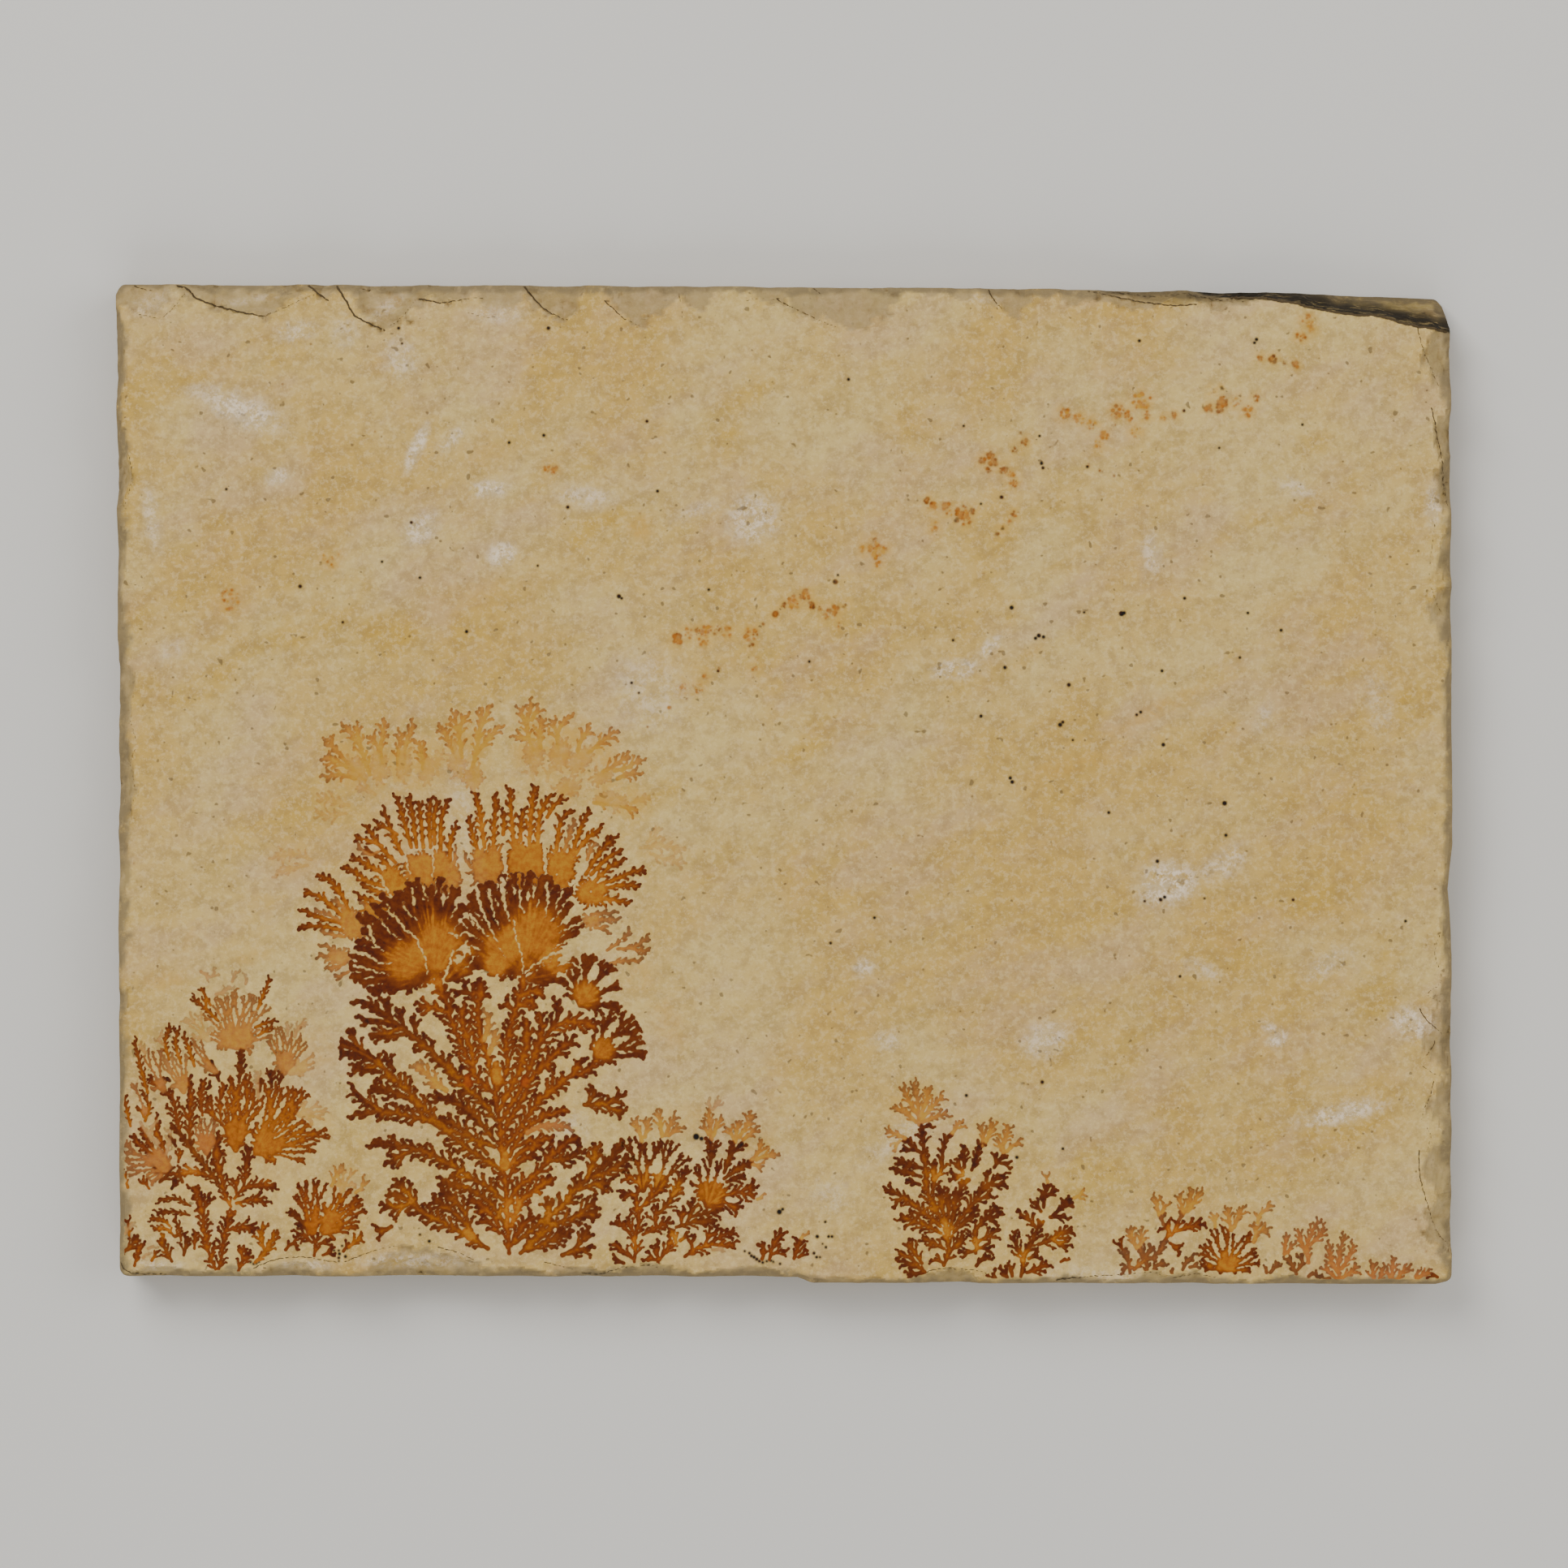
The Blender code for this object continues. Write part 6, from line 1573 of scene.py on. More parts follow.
def stone_tones(x, y):
    """Tones that the stone and the films over it share, so that thin film shows the stone below. The
    stone is rusty round the speckles' larger clusters."""
    around = 0.75
    rusty = [(x, y, reach + around, reach + around, 0, 0.8) for x, y, reach, number, _, _ in SPECKLES
             if number > 2]
    patches = {"pale": PALE_PATCHES, "halo": HALOS, "wash": WASHES + rusty}
    return {name: soft_ellipses(x, y, ellipses) for name, ellipses in patches.items()}


def rim_tones(points, face_count):
    """Tones of the broken rim: 1 on the spalls and sides, in the strips of painted shade along the edges,
    on the plate's sides alone, and in the painted shade beyond the corner break and over the top edge's
    wedge."""
    x, y = points[:, 0], points[:, 1]
    clear = spall_depth(x, y)[1]
    beyond = break_distance(x, y)
    wall = np.arange(len(points)) >= face_count
    ragged = 0.30 * waves(x, y, 3.1, seed=61) + 0.35 * waves(x, y, 10.0, seed=62)
    # Painted shade: a darker strip along each edge, for the worn edge turned from the light
    strips = [smoothstep(width, 0.35 * width, inward_from(side, x, y)[0] + ragged * width)
              for side, width in EDGE_SHADE_STRIPS.items()]
    wedge_x, wedge_y = np.array(WEDGE).T
    wedge = y - np.interp(x, wedge_x, wedge_y, left=99.0, right=99.0) + 0.2 * waves(x, y, 3.0, seed=63)
    # Painted shade over the break: darkest just beyond its line, paler further out; the wedge gets a weaker
    # share
    soot = smoothstep(-0.05, 0.25, beyond) * (1.0 - 0.55 * smoothstep(1.2, 4.0, beyond))
    return {
        "broken": np.where(wall, 1.0, smoothstep(0.05, -0.3, clear)),
        "dirt": np.where(wall, 0.0, np.max(strips, axis=0)),
        "side": np.where(wall, 1.0, 0.0),
        "soot": np.maximum(soot, 0.45 * smoothstep(-0.1, 0.4, wedge)),
    }


def slab_faces(shape, around, ring_count):
    """Quads of the face and of the rings, in the order of slab_points, and one cap for the underside."""
    rows, columns = shape
    index = np.arange(rows * columns).reshape(shape)
    face = np.stack([index[:-1, :-1], index[:-1, 1:], index[1:, 1:], index[1:, :-1]], axis=-1)
    face = face.reshape(-1, 4)
    rings = rows * columns + np.arange(ring_count * around).reshape(ring_count, around)
    rings = np.vstack([border(index)[None], rings])
    after = np.roll(rings, -1, axis=1)
    wall = np.stack([rings[:-1], rings[1:], after[1:], after[:-1]], axis=-1).reshape(-1, 4)
    return np.vstack([face, wall]), rings[-1][::-1]


# Films of oxide


def face_clearance(x, y):
    """How far inside the unbroken face a point lies: negative on a spall, the worn rim or the break."""
    clear = np.minimum(spall_depth(x, y)[1], rim_distance(x, y) - 1.5 * EDGE_WEAR)
    return np.minimum(clear, -break_distance(x, y))


def contour_faces(cover):
    """Marching squares over the whole grid at once: every cell whose corners lie in the film gives the
    polygon of its covered corners and of the crossings between covered and bare ones."""
    rows, columns = cover.shape
    inside = cover > 0
    touched = inside[:-1, :-1] | inside[:-1, 1:] | inside[1:, 1:] | inside[1:, :-1]
    row, column = np.nonzero(touched)
    corner = [(row, column), (row, column + 1), (row + 1, column + 1), (row + 1, column)]
    corner_id = np.stack([r * columns + c for r, c in corner])
    corner_in = np.stack([inside[r, c] for r, c in corner])
    across = rows * columns
    upward = across + rows * columns
    edge_id = np.stack([
        across + row * columns + column,
        upward + row * columns + column + 1,
        across + (row + 1) * columns + column,
        upward + row * columns + column,
    ])
    edge_in = np.stack([corner_in[i] != corner_in[(i + 1) % 4] for i in range(4)])
    node_id = np.stack([ids[i] for i in range(4) for ids in (corner_id, edge_id)])
    node_in = np.stack([held[i] for i in range(4) for held in (corner_in, edge_in)])
    case = (corner_in * np.array([1, 2, 4, 8])[:, None]).sum(axis=0)
    triangles = []
    for value in range(1, 16):
        chosen = case == value
        if not chosen.any():
            continue
        sample = np.nonzero(chosen)[0][0]
        ring = node_id[node_in[:, sample]][:, chosen]
        for i in range(1, len(ring) - 1):
            triangles.append(np.column_stack([ring[0], ring[i], ring[i + 1]]))
    return np.vstack(triangles)


def film_points(low, spacing, cover, fields, used):
    """Places and field values of the used nodes: grid corners, and crossings where the cover is 0."""
    rows, columns = cover.shape
    total = rows * columns
    kind = used // total
    place = used % total
    row, column = place // columns, place % columns
    other_row = row + (kind == 2)
    other_column = column + (kind == 1)
    here = cover[row, column]
    there = cover[np.minimum(other_row, rows - 1), np.minimum(other_column, columns - 1)]
    gap = np.where(np.abs(here - there) < 1e-9, 1e-9, here - there)
    share = np.where(kind > 0, np.clip(here / gap, 0.02, 0.98), 0.0)
    x = low[0] + spacing * (column + share * (kind == 1))
    y = low[1] + spacing * (row + share * (kind == 2))
    values = []
    for field in fields:
        near = field[row, column]
        far = field[np.minimum(other_row, rows - 1), np.minimum(other_column, columns - 1)]
        values.append(near * (1 - share) + far * share)
    return x, y, values, kind > 0


def speckle_dabs(rng):
    """Round dabs of the trail's clusters, of the black specks and of seeded specks over the face."""
    dabs = []
    for x, y, reach, number, radius, dark in SPECKLES:
        number = 2 * number
        turn = rng.uniform(0.0, TURN, number)
        out = 1.15 * reach * np.sqrt(rng.random(number))
        dabs.append(np.column_stack([
            x + out * np.cos(turn), y + out * np.sin(turn), radius * rng.uniform(0.55, 1.25, number),
            dark + rng.uniform(-0.10, 0.35, number), rng.uniform(0.0, 0.5, number),
            rng.uniform(0.6, 1.0, number)]))
    x, y, radius = np.array(BLACK_SPECKS).T
    tone = np.ones(len(x))
    dabs.append(np.column_stack([x, y, radius + SPECK_GROWTH, BLACKEST * tone, 0.0 * tone, tone]))
    tone = np.ones(SCATTERED_SPECKS)
    dabs.append(np.column_stack([
        rng.uniform(-98.0, 98.0, SCATTERED_SPECKS), rng.uniform(-72.0, 70.0, SCATTERED_SPECKS),
        0.15 + 0.14 * rng.random(SCATTERED_SPECKS) ** 2, rng.uniform(0.5, 1.2, SCATTERED_SPECKS),
        0.0 * tone, rng.uniform(0.3, 0.7, SCATTERED_SPECKS)]))
    return np.vstack(dabs)


def grid_round(dabs, margin, spacing):
    """An even grid that holds all dabs and a margin: its low corner, its shape and its places."""
    low = dabs[:, :2].min(axis=0) - margin
    columns, rows = np.ceil((dabs[:, :2].max(axis=0) + margin - low) / spacing).astype(int) + 1
    x, y = np.meshgrid(low[0] + spacing * np.arange(columns), low[1] + spacing * np.arange(rows))
    return low, (rows, columns), x, y


def film_fields(dabs, spacing, clefts=(), glows=()):
    """The film's cover and its three tones on a grid. Clefts are cut out of the cover; glows lighten
    the tone of darkness round their middles; and a broad film is lighter inside than at its edge."""
    low, shape, x, y = grid_round(dabs, dabs[:, 2].max() + 1.0, spacing)
    cover, (dark, red, veil) = dab_field(dabs, low, shape, spacing)
    if len(clefts):
        bare, _ = dab_field(cleft_dabs(clefts, np.random.default_rng(5)), low, shape, spacing)
        cover = np.minimum(cover, -bare)
    ease = smoothstep(0.10, 0.60, depth_inside(cover, spacing)) * (1.0 - smoothstep(0.80, 0.93, dark))
    dark = dark * (1.0 - INNER_EASE * ease)
    for middle_x, middle_y, reach, strength in glows:
        lighter = strength * smoothstep(reach, 0.35 * reach, np.hypot(x - middle_x, y - middle_y))
        dark = np.where(lighter > 0.0, np.maximum(dark - lighter, LIGHTEST_GLOW), dark)
    return low, x, y, cover, (np.clip(dark, 0.0, BLACKEST), red, veil)


def film_mesh(dabs, spacing, lift, soft, clefts=(), glows=(), fade=0.0):
    """One flat film from its dabs: points, triangles and the three tones. Its thin edge is paler, over
    one cell or over the fade's width."""
    low, x, y, cover, tones = film_fields(dabs, spacing, clefts, glows)
    cover = np.minimum(cover, face_clearance(x, y) - RIM_GAP)
    faces = contour_faces(cover)
    used, faces = np.unique(faces, return_inverse=True)
    deep = smoothstep(0.0, max(fade, 1e-6), cover)
    x, y, tones, on_edge = film_points(low, spacing, cover, (*tones, deep), used)
    dark, red, veil, deep = tones
    veil = veil * (soft + (1.0 - soft) * np.where(on_edge, 0.0, deep))
    tones = [dark, red, veil]
    z = face_height(x, y) + lift
    return np.column_stack([x, y, z]), faces.reshape(-1, 3), tones


def break_shadow_line():
    """The painted shadow just below the face's edge at the corner break, as one more shadow line: the
    places a little beyond its line.
    """
    x = np.linspace(BREAK_START[0] - 3.0, BREAK_END[0] - 0.5, 24)
    slope = (BREAK_END[1] - BREAK_START[1]) / (BREAK_END[0] - BREAK_START[0])
    y = BREAK_START[1] + slope * (x - BREAK_START[0])
    for _ in range(6):
        y = y - (break_distance(x, y) - BREAK_SHADOW_OFFSET)
    return [(0.30, 0.34, np.column_stack([x, y]).ravel())]


def shadow_line_mesh(cracks, spacing):
    """Flat dark lines of painted shadow along the flake lips and the corner break, laid on the highest part
    of the face near each point and cut off a little inside the outline."""
    dabs = cleft_dabs(cracks, np.random.default_rng(6), rough=0.4)
    low, shape, x, y = grid_round(dabs, 1.0, spacing)
    cover = np.minimum(dab_field(dabs, low, shape, spacing)[0], rim_distance(x, y) - 0.15)
    used, faces = np.unique(contour_faces(cover), return_inverse=True)
    x, y, _, _ = film_points(low, spacing, cover, (), used)
    near = [face_height(x + across, y + up) for across in (-0.16, 0.16) for up in (-0.15, 0.15)]
    return np.column_stack([x, y, np.max(near, axis=0) + SHADOW_LINE_LIFT]), faces.reshape(-1, 3)


# Materials

# A noise is its blotches' size in millimetres, its detail and roughness, the low and high ends of the
# part that is spread over 0 to 1, and how far it is moved aside
CLOUDS = (26.0, 3.0, 0.6, 0.36, 0.66)
# The limestone's layers from the lowest up: the colour, the tone that they need, strength and noise
STONE_LAYERS = (
    ("ochre", None, 1.0, (11.0, 4.0, 0.65, 0.50, 0.74, 3.1)),
    ("halo", "halo", 0.9, None),
    ("lilac", None, 0.55, (12.0, 6.0, 0.7, 0.46, 0.66, 33.3)),
    ("olive", None, 0.5, (6.0, 6.0, 0.75, 0.46, 0.68, 41.9)),
    ("shade", None, 0.42, (2.4, 5.0, 0.75, 0.42, 0.64, 5.2)),
    ("bright", None, 0.45, (1.0, 4.0, 0.8, 0.48, 0.62, 7.7)),
    ("wash", "wash", 0.8, (1.6, 4.0, 0.7, 0.30, 0.62, 28.3)),
    ("haze", "pale", 0.75, (3.2, 6.0, 0.8, 0.34, 0.62, 8.6)),
    ("white", "pale", 0.95, (1.2, 6.0, 0.8, 0.46, 0.58, 9.4)),
    ("speck", "pale", 0.5, (1.4, 2.0, 0.6, 0.60, 0.70, 17.7)),
    ("speck", None, 0.65, (1.2, 1.0, 0.5, 0.71, 0.77, 12.6)),
)
STREAKED = ("ochre", "lilac", "olive")
# The noises of the broken stone, the side's layers, the strips of painted edge shade, the corner break's
# painted shade and the oxide
BROKEN_NOISE = (2.4, 5.0, 0.75, 0.28, 0.60, 15.3)
SIDE_NOISE = (0.9, 4.0, 0.7, 0.32, 0.58, 18.8)
EDGE_SHADE_NOISE = (1.8, 5.0, 0.75, 0.22, 0.52, 24.1)
BREAK_SHADE_NOISE = (0.8, 4.0, 0.7, 0.10, 0.50, 19.7)
OXIDE_NOISE = (0.9, 4.0, 0.7, 0.30, 0.70, 21.4)
# How much of the stone's own colour the fresh break and the strips of painted edge shade hide
BREAK_COVER = 0.7
EDGE_SHADE_COVER = 0.85
# The real grain of this limestone is too fine to show, so it is drawn coarser, with this many grains
# to the millimetre. The low ridges are about 4 mm apart. Heights are in millimetres, turns in radians
GRAINS_PER_MM = 1.4
RIDGES_PER_MM = 0.26
GRAIN_HEIGHT = 0.06
RIDGE_HEIGHT = 0.8
RIDGE_TURN = math.radians(-32)
STREAK_TURN = 0.45


def to_linear(hex_colour):
    """The linear red, green and blue of a colour that is written as sRGB hex."""
    shares = [int(hex_colour[i:i + 2], 16) / 255 for i in (1, 3, 5)]
    return tuple(s / 12.92 if s <= 0.04045 else ((s + 0.055) / 1.055) ** 2.4 for s in shares)


def add_node(tree, kind, inputs=None, **settings):
    """A node with these settings; an input is given a number or colour, or is linked to a socket."""
    node = tree.nodes.new(kind)
    for key, value in settings.items():
        setattr(node, key, value)
    for key, value in (inputs or {}).items():
        if isinstance(value, bpy.types.NodeSocket):
            tree.links.new(value, node.inputs[key])
        else:
            node.inputs[key].default_value = value
    return node


def noise(tree, place, size_mm, detail, roughness, low, high, offset=0.0):
    """Noise whose blotches are about size_mm wide, with the part from low to high spread over 0 to 1."""
    moved = add_node(tree, "ShaderNodeVectorMath", {0: place, 1: (offset,) * 3}, operation="ADD")
    texture = add_node(tree, "ShaderNodeTexNoise", {
        "Vector": moved.outputs[0], "Scale": 1.0 / (size_mm * MM), "Detail": detail,
        "Roughness": roughness})
    spread = add_node(tree, "ShaderNodeMapRange", {
        "Value": texture.outputs["Fac"], "From Min": low, "From Max": high},
        interpolation_type="SMOOTHSTEP")
    return spread.outputs["Result"]


def times(tree, first, second):
    """The product of two numbers or sockets."""
    return add_node(tree, "ShaderNodeMath", {0: first, 1: second}, operation="MULTIPLY").outputs[0]


def blend(tree, factor, first, second, kind="MIX"):
    """The second colour over the first by a factor."""
    node = add_node(
        tree, "ShaderNodeMix", {0: factor, 6: first, 7: second}, data_type="RGBA", blend_type=kind)
    return node.outputs[2]


def tone(tree, name):
    """One of the mesh's point attributes."""
    return add_node(tree, "ShaderNodeAttribute", attribute_name=name).outputs["Fac"]


def stone_colour(tree, place, colours):
    """The limestone's own colour, which the films share: soft cream and ochre clouds, pinkish and olive
    ones that are streaked along one direction, a fine mottle, bleached and golden zones, white calcite
    flakes with dark grit where the face's pale tone is high, and scattered grey specks."""
    clouds = noise(tree, place, *CLOUDS)
    colour = blend(tree, clouds, colours["cream"], colours["stone"])
    streaked = add_node(tree, "ShaderNodeMapping", {
        "Vector": place, "Rotation": (0.0, 0.0, STREAK_TURN), "Scale": (1.8, 1.0, 1.0)},
        vector_type="TEXTURE").outputs[0]
    for name, zone, strength, texture in STONE_LAYERS:
        factor = tone(tree, zone) if zone else 1.0
        if texture:
            factor = times(tree, factor, noise(tree, streaked if name in STREAKED else place, *texture))
        colour = blend(tree, times(tree, factor, strength), colour, colours[name])
    return colour


def surface_bump(tree, place, strength):
    """The stone's relief as a normal: low slanting ridges, and a fine grain of the given strength."""
    fine = add_node(tree, "ShaderNodeTexNoise", {
        "Vector": place, "Scale": GRAINS_PER_MM / MM, "Detail": 4.0, "Roughness": 0.7})
    broad = add_node(tree, "ShaderNodeTexNoise", {
        "Vector": place, "Scale": RIDGES_PER_MM / MM, "Detail": 3.0, "Roughness": 0.6})
    height = add_node(
        tree, "ShaderNodeMath", {0: fine.outputs["Fac"], 1: broad.outputs["Fac"]}, operation="ADD")
    turned = add_node(tree, "ShaderNodeMapping", {
        "Vector": place, "Rotation": (0.0, 0.0, RIDGE_TURN), "Scale": (0.5, 1.0, 1.0)})
    ridges = add_node(tree, "ShaderNodeTexNoise", {
        "Vector": turned.outputs[0], "Scale": RIDGES_PER_MM / MM, "Detail": 4.0, "Roughness": 0.55})
    low = add_node(tree, "ShaderNodeBump", {
        "Height": ridges.outputs["Fac"], "Strength": 0.8, "Distance": RIDGE_HEIGHT * MM})
    bump = add_node(tree, "ShaderNodeBump", {
        "Height": height.outputs[0], "Strength": strength, "Distance": GRAIN_HEIGHT * MM,
        "Normal": low.outputs["Normal"]})
    return bump.outputs["Normal"]


def new_material(name, roughness):
    """A dull material with its node tree, its shader and the object's own coordinates."""
    material = bpy.data.materials.new(name)
    material.use_nodes = True
    tree = material.node_tree
    shader = tree.nodes["Principled BSDF"]
    shader.inputs["Roughness"].default_value = roughness
    shader.inputs["Specular IOR Level"].default_value = 0.25
    place = add_node(tree, "ShaderNodeTexCoord").outputs["Object"]
    return material, tree, shader, place


def limestone_material(colours):
    """Lithographic limestone, split along its bedding and broken at the rim: dull and fine-grained, so
    that the light falls off it softly; broken places are greyer, the strips along the edges carry painted
    shade, and the corner break is dark with painted shade."""
    material, tree, shader, place = new_material("split_lithographic_limestone", roughness=0.88)
    colour = stone_colour(tree, place, colours)
    fret = noise(tree, place, *BROKEN_NOISE)
    kept = add_node(
        tree, "ShaderNodeMath", {0: 1.0, 1: tone(tree, "pale")}, operation="SUBTRACT").outputs[0]
    broken = times(tree, times(tree, tone(tree, "broken"), kept), BREAK_COVER)
    fresh = blend(tree, fret, colours["broken"], colours["dirty"])
    colour = blend(tree, broken, colour, fresh)
    layers = add_node(tree, "ShaderNodeMapping", {"Vector": place, "Scale": (0.12, 0.12, 1.0)})
    streaks = noise(tree, layers.outputs[0], *SIDE_NOISE)
    colour = blend(tree, times(tree, tone(tree, "side"), streaks), colour, colours["side"])
    # Painted shade: the strips along the edges darkened in noisy patches
    dirt = noise(tree, place, *EDGE_SHADE_NOISE)
    dirty = times(tree, times(tree, tone(tree, "dirt"), dirt), EDGE_SHADE_COVER)
    colour = blend(tree, dirty, colour, colours["dirt"])
    # Painted shade over the corner break and the top edge's wedge, in streaks along the edge
    edgewise = add_node(tree, "ShaderNodeMapping", {"Vector": place, "Scale": (0.2, 1.0, 1.0)})
    lines = noise(tree, edgewise.outputs[0], *BREAK_SHADE_NOISE)
    colour = blend(tree, times(tree, tone(tree, "soot"), lines), colour, colours["soot"])
    tree.links.new(colour, shader.inputs["Base Color"])
    tree.links.new(surface_bump(tree, place, strength=0.5), shader.inputs["Normal"])
    return material


def oxide_material(colours):
    """Manganese and iron oxide stain in the stone: a dull film, orange where it is thick and dark
    brown at its tips, that lets the stone's colour through where it is thin."""
    material, tree, shader, place = new_material("stained_oxide_film", roughness=0.86)
    stone = stone_colour(tree, place, colours)
    dark = tone(tree, "oxide_dark")
    streak = noise(tree, place, *OXIDE_NOISE)
    # The place on the ramp: the dark tone, moved by up to 0.12 to both sides in streaks, times 0.8
    varied = add_node(tree, "ShaderNodeMath", {0: streak, 1: 0.24, 2: dark}, operation="MULTIPLY_ADD")
    varied = add_node(tree, "ShaderNodeMath", {0: varied.outputs[0], 1: 0.12}, operation="SUBTRACT")
    varied = add_node(
        tree, "ShaderNodeMath", {0: varied.outputs[0], 1: 0.8}, operation="MULTIPLY", use_clamp=True)
    ramp = add_node(tree, "ShaderNodeValToRGB", {"Fac": varied.outputs[0]})
    stops = ramp.color_ramp.elements
    stops[0].color = colours["pale"]
    stops[1].color = colours["black"]
    stops.new(0.20).color = colours["orange"]
    stops.new(0.45).color = colours["brown"]
    stops.new(0.80).color = colours["deep"]
    redder = blend(tree, 1.0, ramp.outputs["Color"], colours["red"], "MULTIPLY")
    colour = blend(tree, tone(tree, "oxide_red"), ramp.outputs["Color"], redder)
    colour = blend(tree, tone(tree, "oxide_cover"), stone, colour)
    tree.links.new(colour, shader.inputs["Base Color"])
    tree.links.new(surface_bump(tree, place, strength=0.35), shader.inputs["Normal"])
    return material


def shadow_line_material(colour):
    """Painted shadow in the lines under the rim's flake lips and at the corner break: a dull dark line that
    lets the eye read each flake.
    """
    material, tree, shader, place = new_material("packed_crack_dirt", roughness=0.95)
    shader.inputs["Base Color"].default_value = colour
    tree.links.new(surface_bump(tree, place, strength=0.5), shader.inputs["Normal"])
    return material


def plain_material(name, colour, roughness):
    """Matt studio paper: an even pale sheet that takes a soft shadow and no glare."""
    material, _, shader, _ = new_material(name, roughness)
    shader.inputs["Base Color"].default_value = colour
    return material


# The add-on


def colour_property(name, description, hex_colour):
    """A colour that the panel shows, from its hex value."""
    return FloatVectorProperty(
        name=name, description=description, default=(*to_linear(hex_colour), 1.0), size=4,
        subtype="COLOR", min=0.0, max=1.0)


class SlabSettings(bpy.types.PropertyGroup):
    """Colours of the limestone."""

    stone: colour_property("Stone", "Yellow-beige body of the limestone", "#cfa856")
    cream: colour_property("Cream", "Paler clouds in the stone", "#dbbe76")
    ochre: colour_property("Ochre", "Warmer clouds in the stone", "#c8a044")
    lilac: colour_property("Lilac haze", "Pinkish grey clouds in the stone", "#ceac84")
    olive: colour_property("Olive", "Yellow-olive clouds in the stone", "#b8984a")
    shade: colour_property("Shade", "Darker part of the fine mottle", "#9c7a44")
    bright: colour_property("Bright grain", "Brightest grains of the stone", "#eccf90")
    halo: colour_property("Halo", "Bleached stone round the growths", "#dcbd72")
    wash: colour_property("Wash", "Thin golden oxide in the stone", "#cf9f42")
    haze: colour_property("Haze", "Greyish rim of the white patches", "#d2bd98")
    white: colour_property("White", "Calcite flakes in the white patches", "#f8e2c2")
    speck: colour_property("Speck", "Grey specks in the stone", "#5e4c34")
    broken: colour_property("Broken stone", "Fresh broken rim", "#b9a178")
    side: colour_property("Side", "Weathered sides of the plate", "#7d6a48")
    dirty: colour_property("Dirty break", "Dirtier parts of the broken rim", "#a08a5e")
    # Painted shade of the strips along the edges
    dirt: colour_property("Dirty strip", "Handled strip along the edges", "#857454")
    # Painted shadow of the flake lips and the corner break
    crack: colour_property("Crack", "Dirt in the line where a flake came off", "#54452e")
    # Painted shade of the corner break and the top edge's wedge
    soot: colour_property("Dark break", "Weathered break across the corner", "#261f13")


class OxideSettings(bpy.types.PropertyGroup):
    """Sizes and colours of the oxide films."""

    spacing: FloatProperty(
        name="Grid spacing", description="Width of the cells that the film outlines are cut from",
        default=0.16 * MM, unit="LENGTH", precision=5)
    pale: colour_property("Pale oxide", "Thin golden wash of oxide", "#c08e20")
    orange: colour_property("Orange oxide", "Iron-rich middle of the fans", "#b06c16")
    brown: colour_property("Brown oxide", "Mixed oxide of the twigs", "#83440a")
    deep: colour_property("Deep brown oxide", "Manganese-rich tips", "#5c2301")
    black: colour_property("Black oxide", "Grains of pure manganese oxide", "#17100b")
    red: colour_property("Reddening", "Multiplied over the redder twigs", "#f2beae")


class StageSettings(bpy.types.PropertyGroup):
    """The studio: a camera looking straight down on the face, soft lights and a pale floor."""

    distance: FloatProperty(
        name="Camera height", description="From the face up to the camera", default=0.9, unit="LENGTH")
    frame_width: FloatProperty(
        name="Picture width", description="Width of what the picture shows at the face",
        default=0.2356, unit="LENGTH")
    key_power: FloatProperty(
        name="Key light", description="Power of the large soft light",
        default=11.0, unit="POWER")
    fill_power: FloatProperty(
        name="Fill light", description="Power of each of the weaker soft lights",
        default=5.0, unit="POWER")
    air_strength: FloatProperty(
        name="Air", description="Strength of the even light from all sides", default=0.35)
    floor: colour_property("Floor", "Matt studio paper", "#e6e3dc")


def new_piece(name, points, faces, tones, material):
    """A smooth-shaded mesh in metres from points in millimetres, with one point attribute a tone."""
    mesh = bpy.data.meshes.new(name)
    mesh.from_pydata((points * MM).tolist(), [], faces)
    mesh.shade_smooth()
    for key, values in tones.items():
        layer = mesh.attributes.new(key, "FLOAT", "POINT")
        layer.data.foreach_set("value", np.asarray(values, np.float32))
    mesh.materials.append(material)
    mesh.validate()
    piece = bpy.data.objects.new(name, mesh)
    bpy.context.scene.collection.objects.link(piece)
    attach(piece, "root")
    return piece


def colours_of(*groups):
    """The colour settings of these groups by name."""
    return {key: tuple(getattr(group, key)) for group in groups for key in group.__annotations__
            if key != "spacing"}


class BuildLimestoneSlab(bpy.types.Operator):
    """Build the split limestone plate with its broken rim"""

    bl_idname = "dendrite.limestone_slab"
    bl_label = "Limestone slab"

    def execute(self, context):
        points, shape, around, rings = slab_points()
        quads, underside = slab_faces(shape, around, rings)
        tones = stone_tones(points[:, 0], points[:, 1])
        tones.update(rim_tones(points, shape[0] * shape[1]))
        material = limestone_material(colours_of(context.scene.dendrite_slab))
        faces = quads.tolist() + [underside.tolist()]
        slab = new_piece("split_limestone_plate", points, faces, tones, material)
        slab.data.set_sharp_from_angle(angle=math.radians(38))
        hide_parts("limestone_slab")
        return {"FINISHED"}


def build_film(context, name, dabs, lift, soft=0.75, clefts=(), glows=(), finer=1.0, fade=0.0):
    """One oxide film over the face, from its dabs of stain. Soft is the cover at its very edge."""
    settings = context.scene.dendrite_oxide
    spacing = settings.spacing / MM * finer
    points, triangles, tones = film_mesh(dabs, spacing, lift, soft, clefts, glows, fade)
    dark, red, cover = tones
    tones = stone_tones(points[:, 0], points[:, 1])
    tones.update(oxide_dark=dark, oxide_red=red, oxide_cover=cover)
    material = bpy.data.materials.get("stained_oxide_film") or oxide_material(
        colours_of(context.scene.dendrite_slab, settings))
    return new_piece(name, points, triangles.tolist(), tones, material)


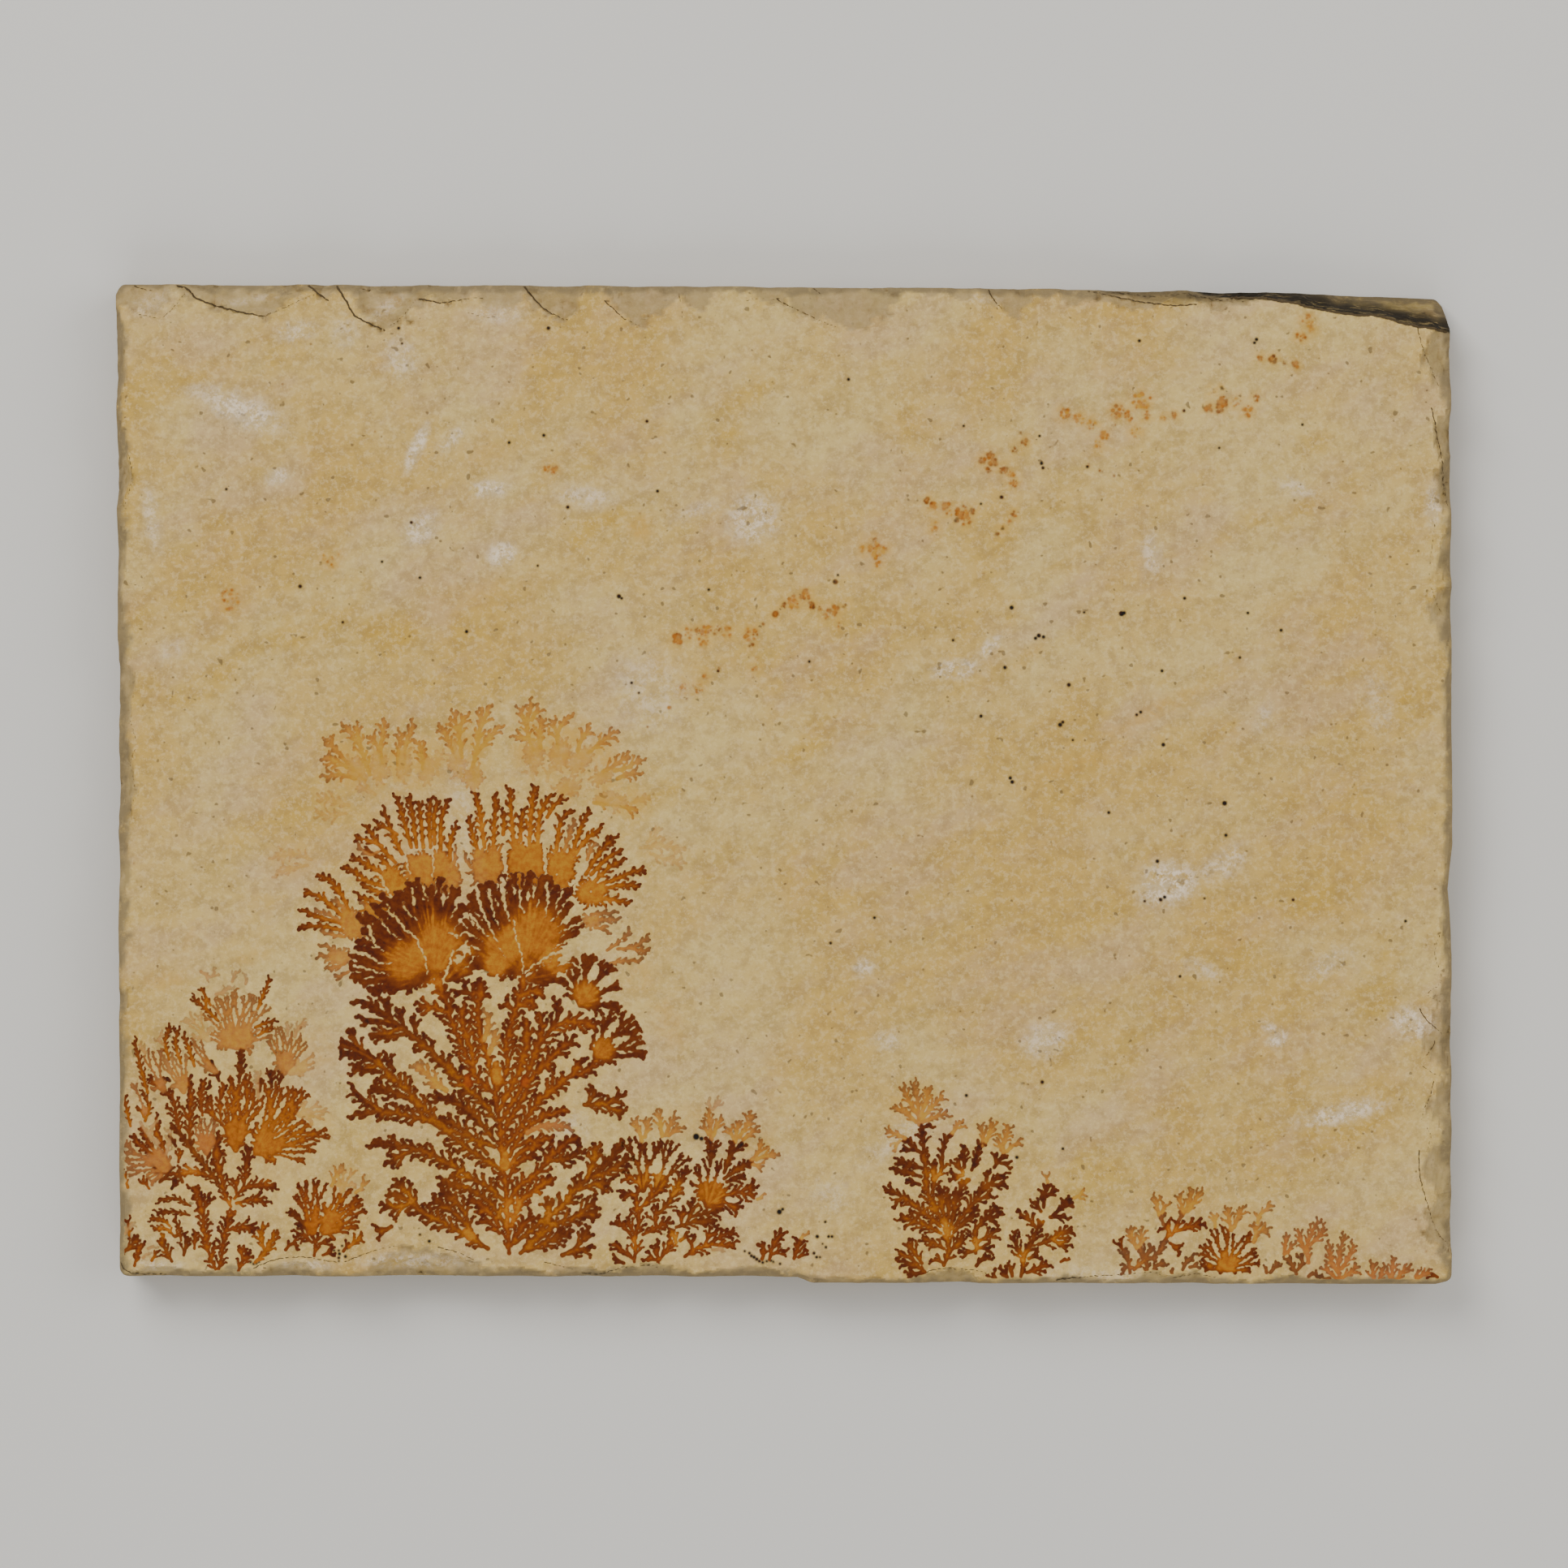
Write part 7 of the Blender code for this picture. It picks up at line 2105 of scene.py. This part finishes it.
class BuildRimShadowLines(bpy.types.Operator):
    """Build the lines of painted shadow where flakes have come off the rim and at the corner break"""

    bl_idname = "dendrite.rim_cracks"
    bl_label = "Cracks along the rim"

    def execute(self, context):
        # Painted shadow lines under the flake lips and just below the face's edge at the corner break
        points, triangles = shadow_line_mesh(RIM_LIP_SHADOWS + break_shadow_line(), spacing=0.14)
        material = shadow_line_material(tuple(context.scene.dendrite_slab.crack))
        new_piece("rim_cracks", points, triangles.tolist(), {}, material)
        return {"FINISHED"}


class BuildRingFilms(bpy.types.Operator):
    """Build the golden outer ring and the orange ring behind the caps of the tall growth"""

    bl_idname = "dendrite.ring_films"
    bl_label = "Golden and orange rings"

    def execute(self, context):
        gold = grow_layer(seed=11, stems=GOLD_STEMS, blots=GOLD_BLOTS)
        build_film(context, "golden_outer_ring", gold, GOLD_LIFT, soft=0.5)
        ring = grow_layer(seed=12, stems=RING_STEMS, blots=RING_BLOTS)
        build_film(context, "orange_ring", ring, RING_LIFT, clefts=RING_CLEFTS, glows=RING_GLOWS)
        return {"FINISHED"}


class BuildUprightFilms(bpy.types.Operator):
    """Build the tall growth with its two caps, and the shrub at its left"""

    bl_idname = "dendrite.upright_films"
    bl_label = "Tall growth and left shrub"

    def execute(self, context):
        tall = grow_layer(seed=7, stems=TALL_STEMS, fans=TALL_FANS)
        build_film(context, "tall_growth", tall, GROWTH_LIFT, clefts=TALL_CLEFTS, glows=TALL_GLOWS)
        left = grow_layer(seed=14, stems=LEFT_STEMS + LEFT_SMALL, fans=LEFT_FANS, scale=0.75)
        build_film(context, "left_shrub", left, GROWTH_LIFT, glows=LEFT_GLOWS, finer=FINER)
        return {"FINISHED"}


class BuildShrubFilms(bpy.types.Operator):
    """Build the low shrubs along the lower edge"""

    bl_idname = "dendrite.shrub_films"
    bl_label = "Middle and right shrubs"

    def execute(self, context):
        middle = grow_layer(seed=15, stems=MID_STEMS, fans=MID_FANS, scale=0.8)
        build_film(context, "middle_shrubs", middle, GROWTH_LIFT, glows=MID_GLOWS, finer=FINER)
        right = grow_layer(seed=16, stems=RIGHT_STEMS, fans=RIGHT_FANS, scale=0.8)
        build_film(context, "right_shrubs", right, GROWTH_LIFT, glows=RIGHT_GLOWS, finer=FINER)
        return {"FINISHED"}


class BuildSpeckFilm(bpy.types.Operator):
    """Build the trail of rust speckles and the black specks"""

    bl_idname = "dendrite.speck_film"
    bl_label = "Speckles and specks"

    def execute(self, context):
        dabs = speckle_dabs(np.random.default_rng(17))
        build_film(context, "speckles", dabs, SPECK_LIFT, soft=0.1, finer=FINER, fade=0.24)
        return {"FINISHED"}


def soft_light(name, place, size, power):
    """A large square lamp aimed at the middle of the slab."""
    lamp = bpy.data.lights.new(name, "AREA")
    lamp.size = size
    lamp.energy = power
    light = bpy.data.objects.new(name, lamp)
    light.location = place
    light.rotation_euler = (-Vector(place)).to_track_quat("-Z", "Y").to_euler()
    bpy.context.scene.collection.objects.link(light)


class BuildStage(bpy.types.Operator):
    """Build the pale floor, the soft lights and the camera above the slab"""

    bl_idname = "dendrite.stage"
    bl_label = "Studio stage"

    def execute(self, context):
        settings = context.scene.dendrite_stage
        half, level = 3.0, -0.02 * MM
        corners = [(-half, -half, level), (half, -half, level), (half, half, level), (-half, half, level)]
        mesh = bpy.data.meshes.new("studio_floor")
        mesh.from_pydata(corners, [], [(0, 1, 2, 3)])
        mesh.materials.append(plain_material("matt_studio_paper", tuple(settings.floor), roughness=0.9))
        floor = bpy.data.objects.new("studio_floor", mesh)
        context.scene.collection.objects.link(floor)

        soft_light("key_light", (-0.55, 0.75, 0.95), 0.8, settings.key_power)
        soft_light("right_fill", (0.95, 0.25, 0.8), 0.9, settings.fill_power)
        soft_light("front_fill", (0.0, -1.0, 0.8), 0.9, settings.fill_power)
        world = bpy.data.worlds.new("studio_air")
        world.use_nodes = True
        air = world.node_tree.nodes["Background"]
        air.inputs["Color"].default_value = (1.0, 1.0, 1.0, 1.0)
        air.inputs["Strength"].default_value = settings.air_strength
        context.scene.world = world

        lens = bpy.data.cameras.new("camera")
        lens.sensor_width = 36.0
        lens.lens = lens.sensor_width * settings.distance / settings.frame_width
        camera = bpy.data.objects.new("camera", lens)
        camera.location = (0.0, 0.0, settings.distance + THICKNESS * MM)
        context.scene.collection.objects.link(camera)
        context.scene.camera = camera
        return {"FINISHED"}


BUILDERS = (BuildLimestoneSlab, BuildRimShadowLines, BuildRingFilms, BuildUprightFilms, BuildShrubFilms,
            BuildSpeckFilm, BuildStage)


class DendritePanel(bpy.types.Panel):
    """The slab's steps and settings in the sidebar"""

    bl_idname = "VIEW3D_PT_dendrite_slab"
    bl_label = "Dendrite slab"
    bl_space_type = "VIEW_3D"
    bl_region_type = "UI"
    bl_category = "Dendrite slab"

    def draw(self, context):
        for builder in BUILDERS:
            self.layout.operator(builder.bl_idname)
        scene = context.scene
        for group in (scene.dendrite_slab, scene.dendrite_oxide, scene.dendrite_stage):
            box = self.layout.box()
            for key in group.__annotations__:
                box.prop(group, key)


CLASSES = (SlabSettings, OxideSettings, StageSettings) + BUILDERS + (DendritePanel,)


def register():
    for each in CLASSES:
        bpy.utils.register_class(each)
    bpy.types.Scene.dendrite_slab = bpy.props.PointerProperty(type=SlabSettings)
    bpy.types.Scene.dendrite_oxide = bpy.props.PointerProperty(type=OxideSettings)
    bpy.types.Scene.dendrite_stage = bpy.props.PointerProperty(type=StageSettings)


def unregister():
    del bpy.types.Scene.dendrite_stage
    del bpy.types.Scene.dendrite_oxide
    del bpy.types.Scene.dendrite_slab
    for each in reversed(CLASSES):
        bpy.utils.unregister_class(each)


def main():
    register()
    bpy.ops.dendrite.limestone_slab()
    bpy.ops.dendrite.rim_cracks()
    bpy.ops.dendrite.ring_films()
    bpy.ops.dendrite.upright_films()
    bpy.ops.dendrite.shrub_films()
    bpy.ops.dendrite.speck_film()
    bpy.ops.dendrite.stage()


if __name__ == "__main__":
    main()
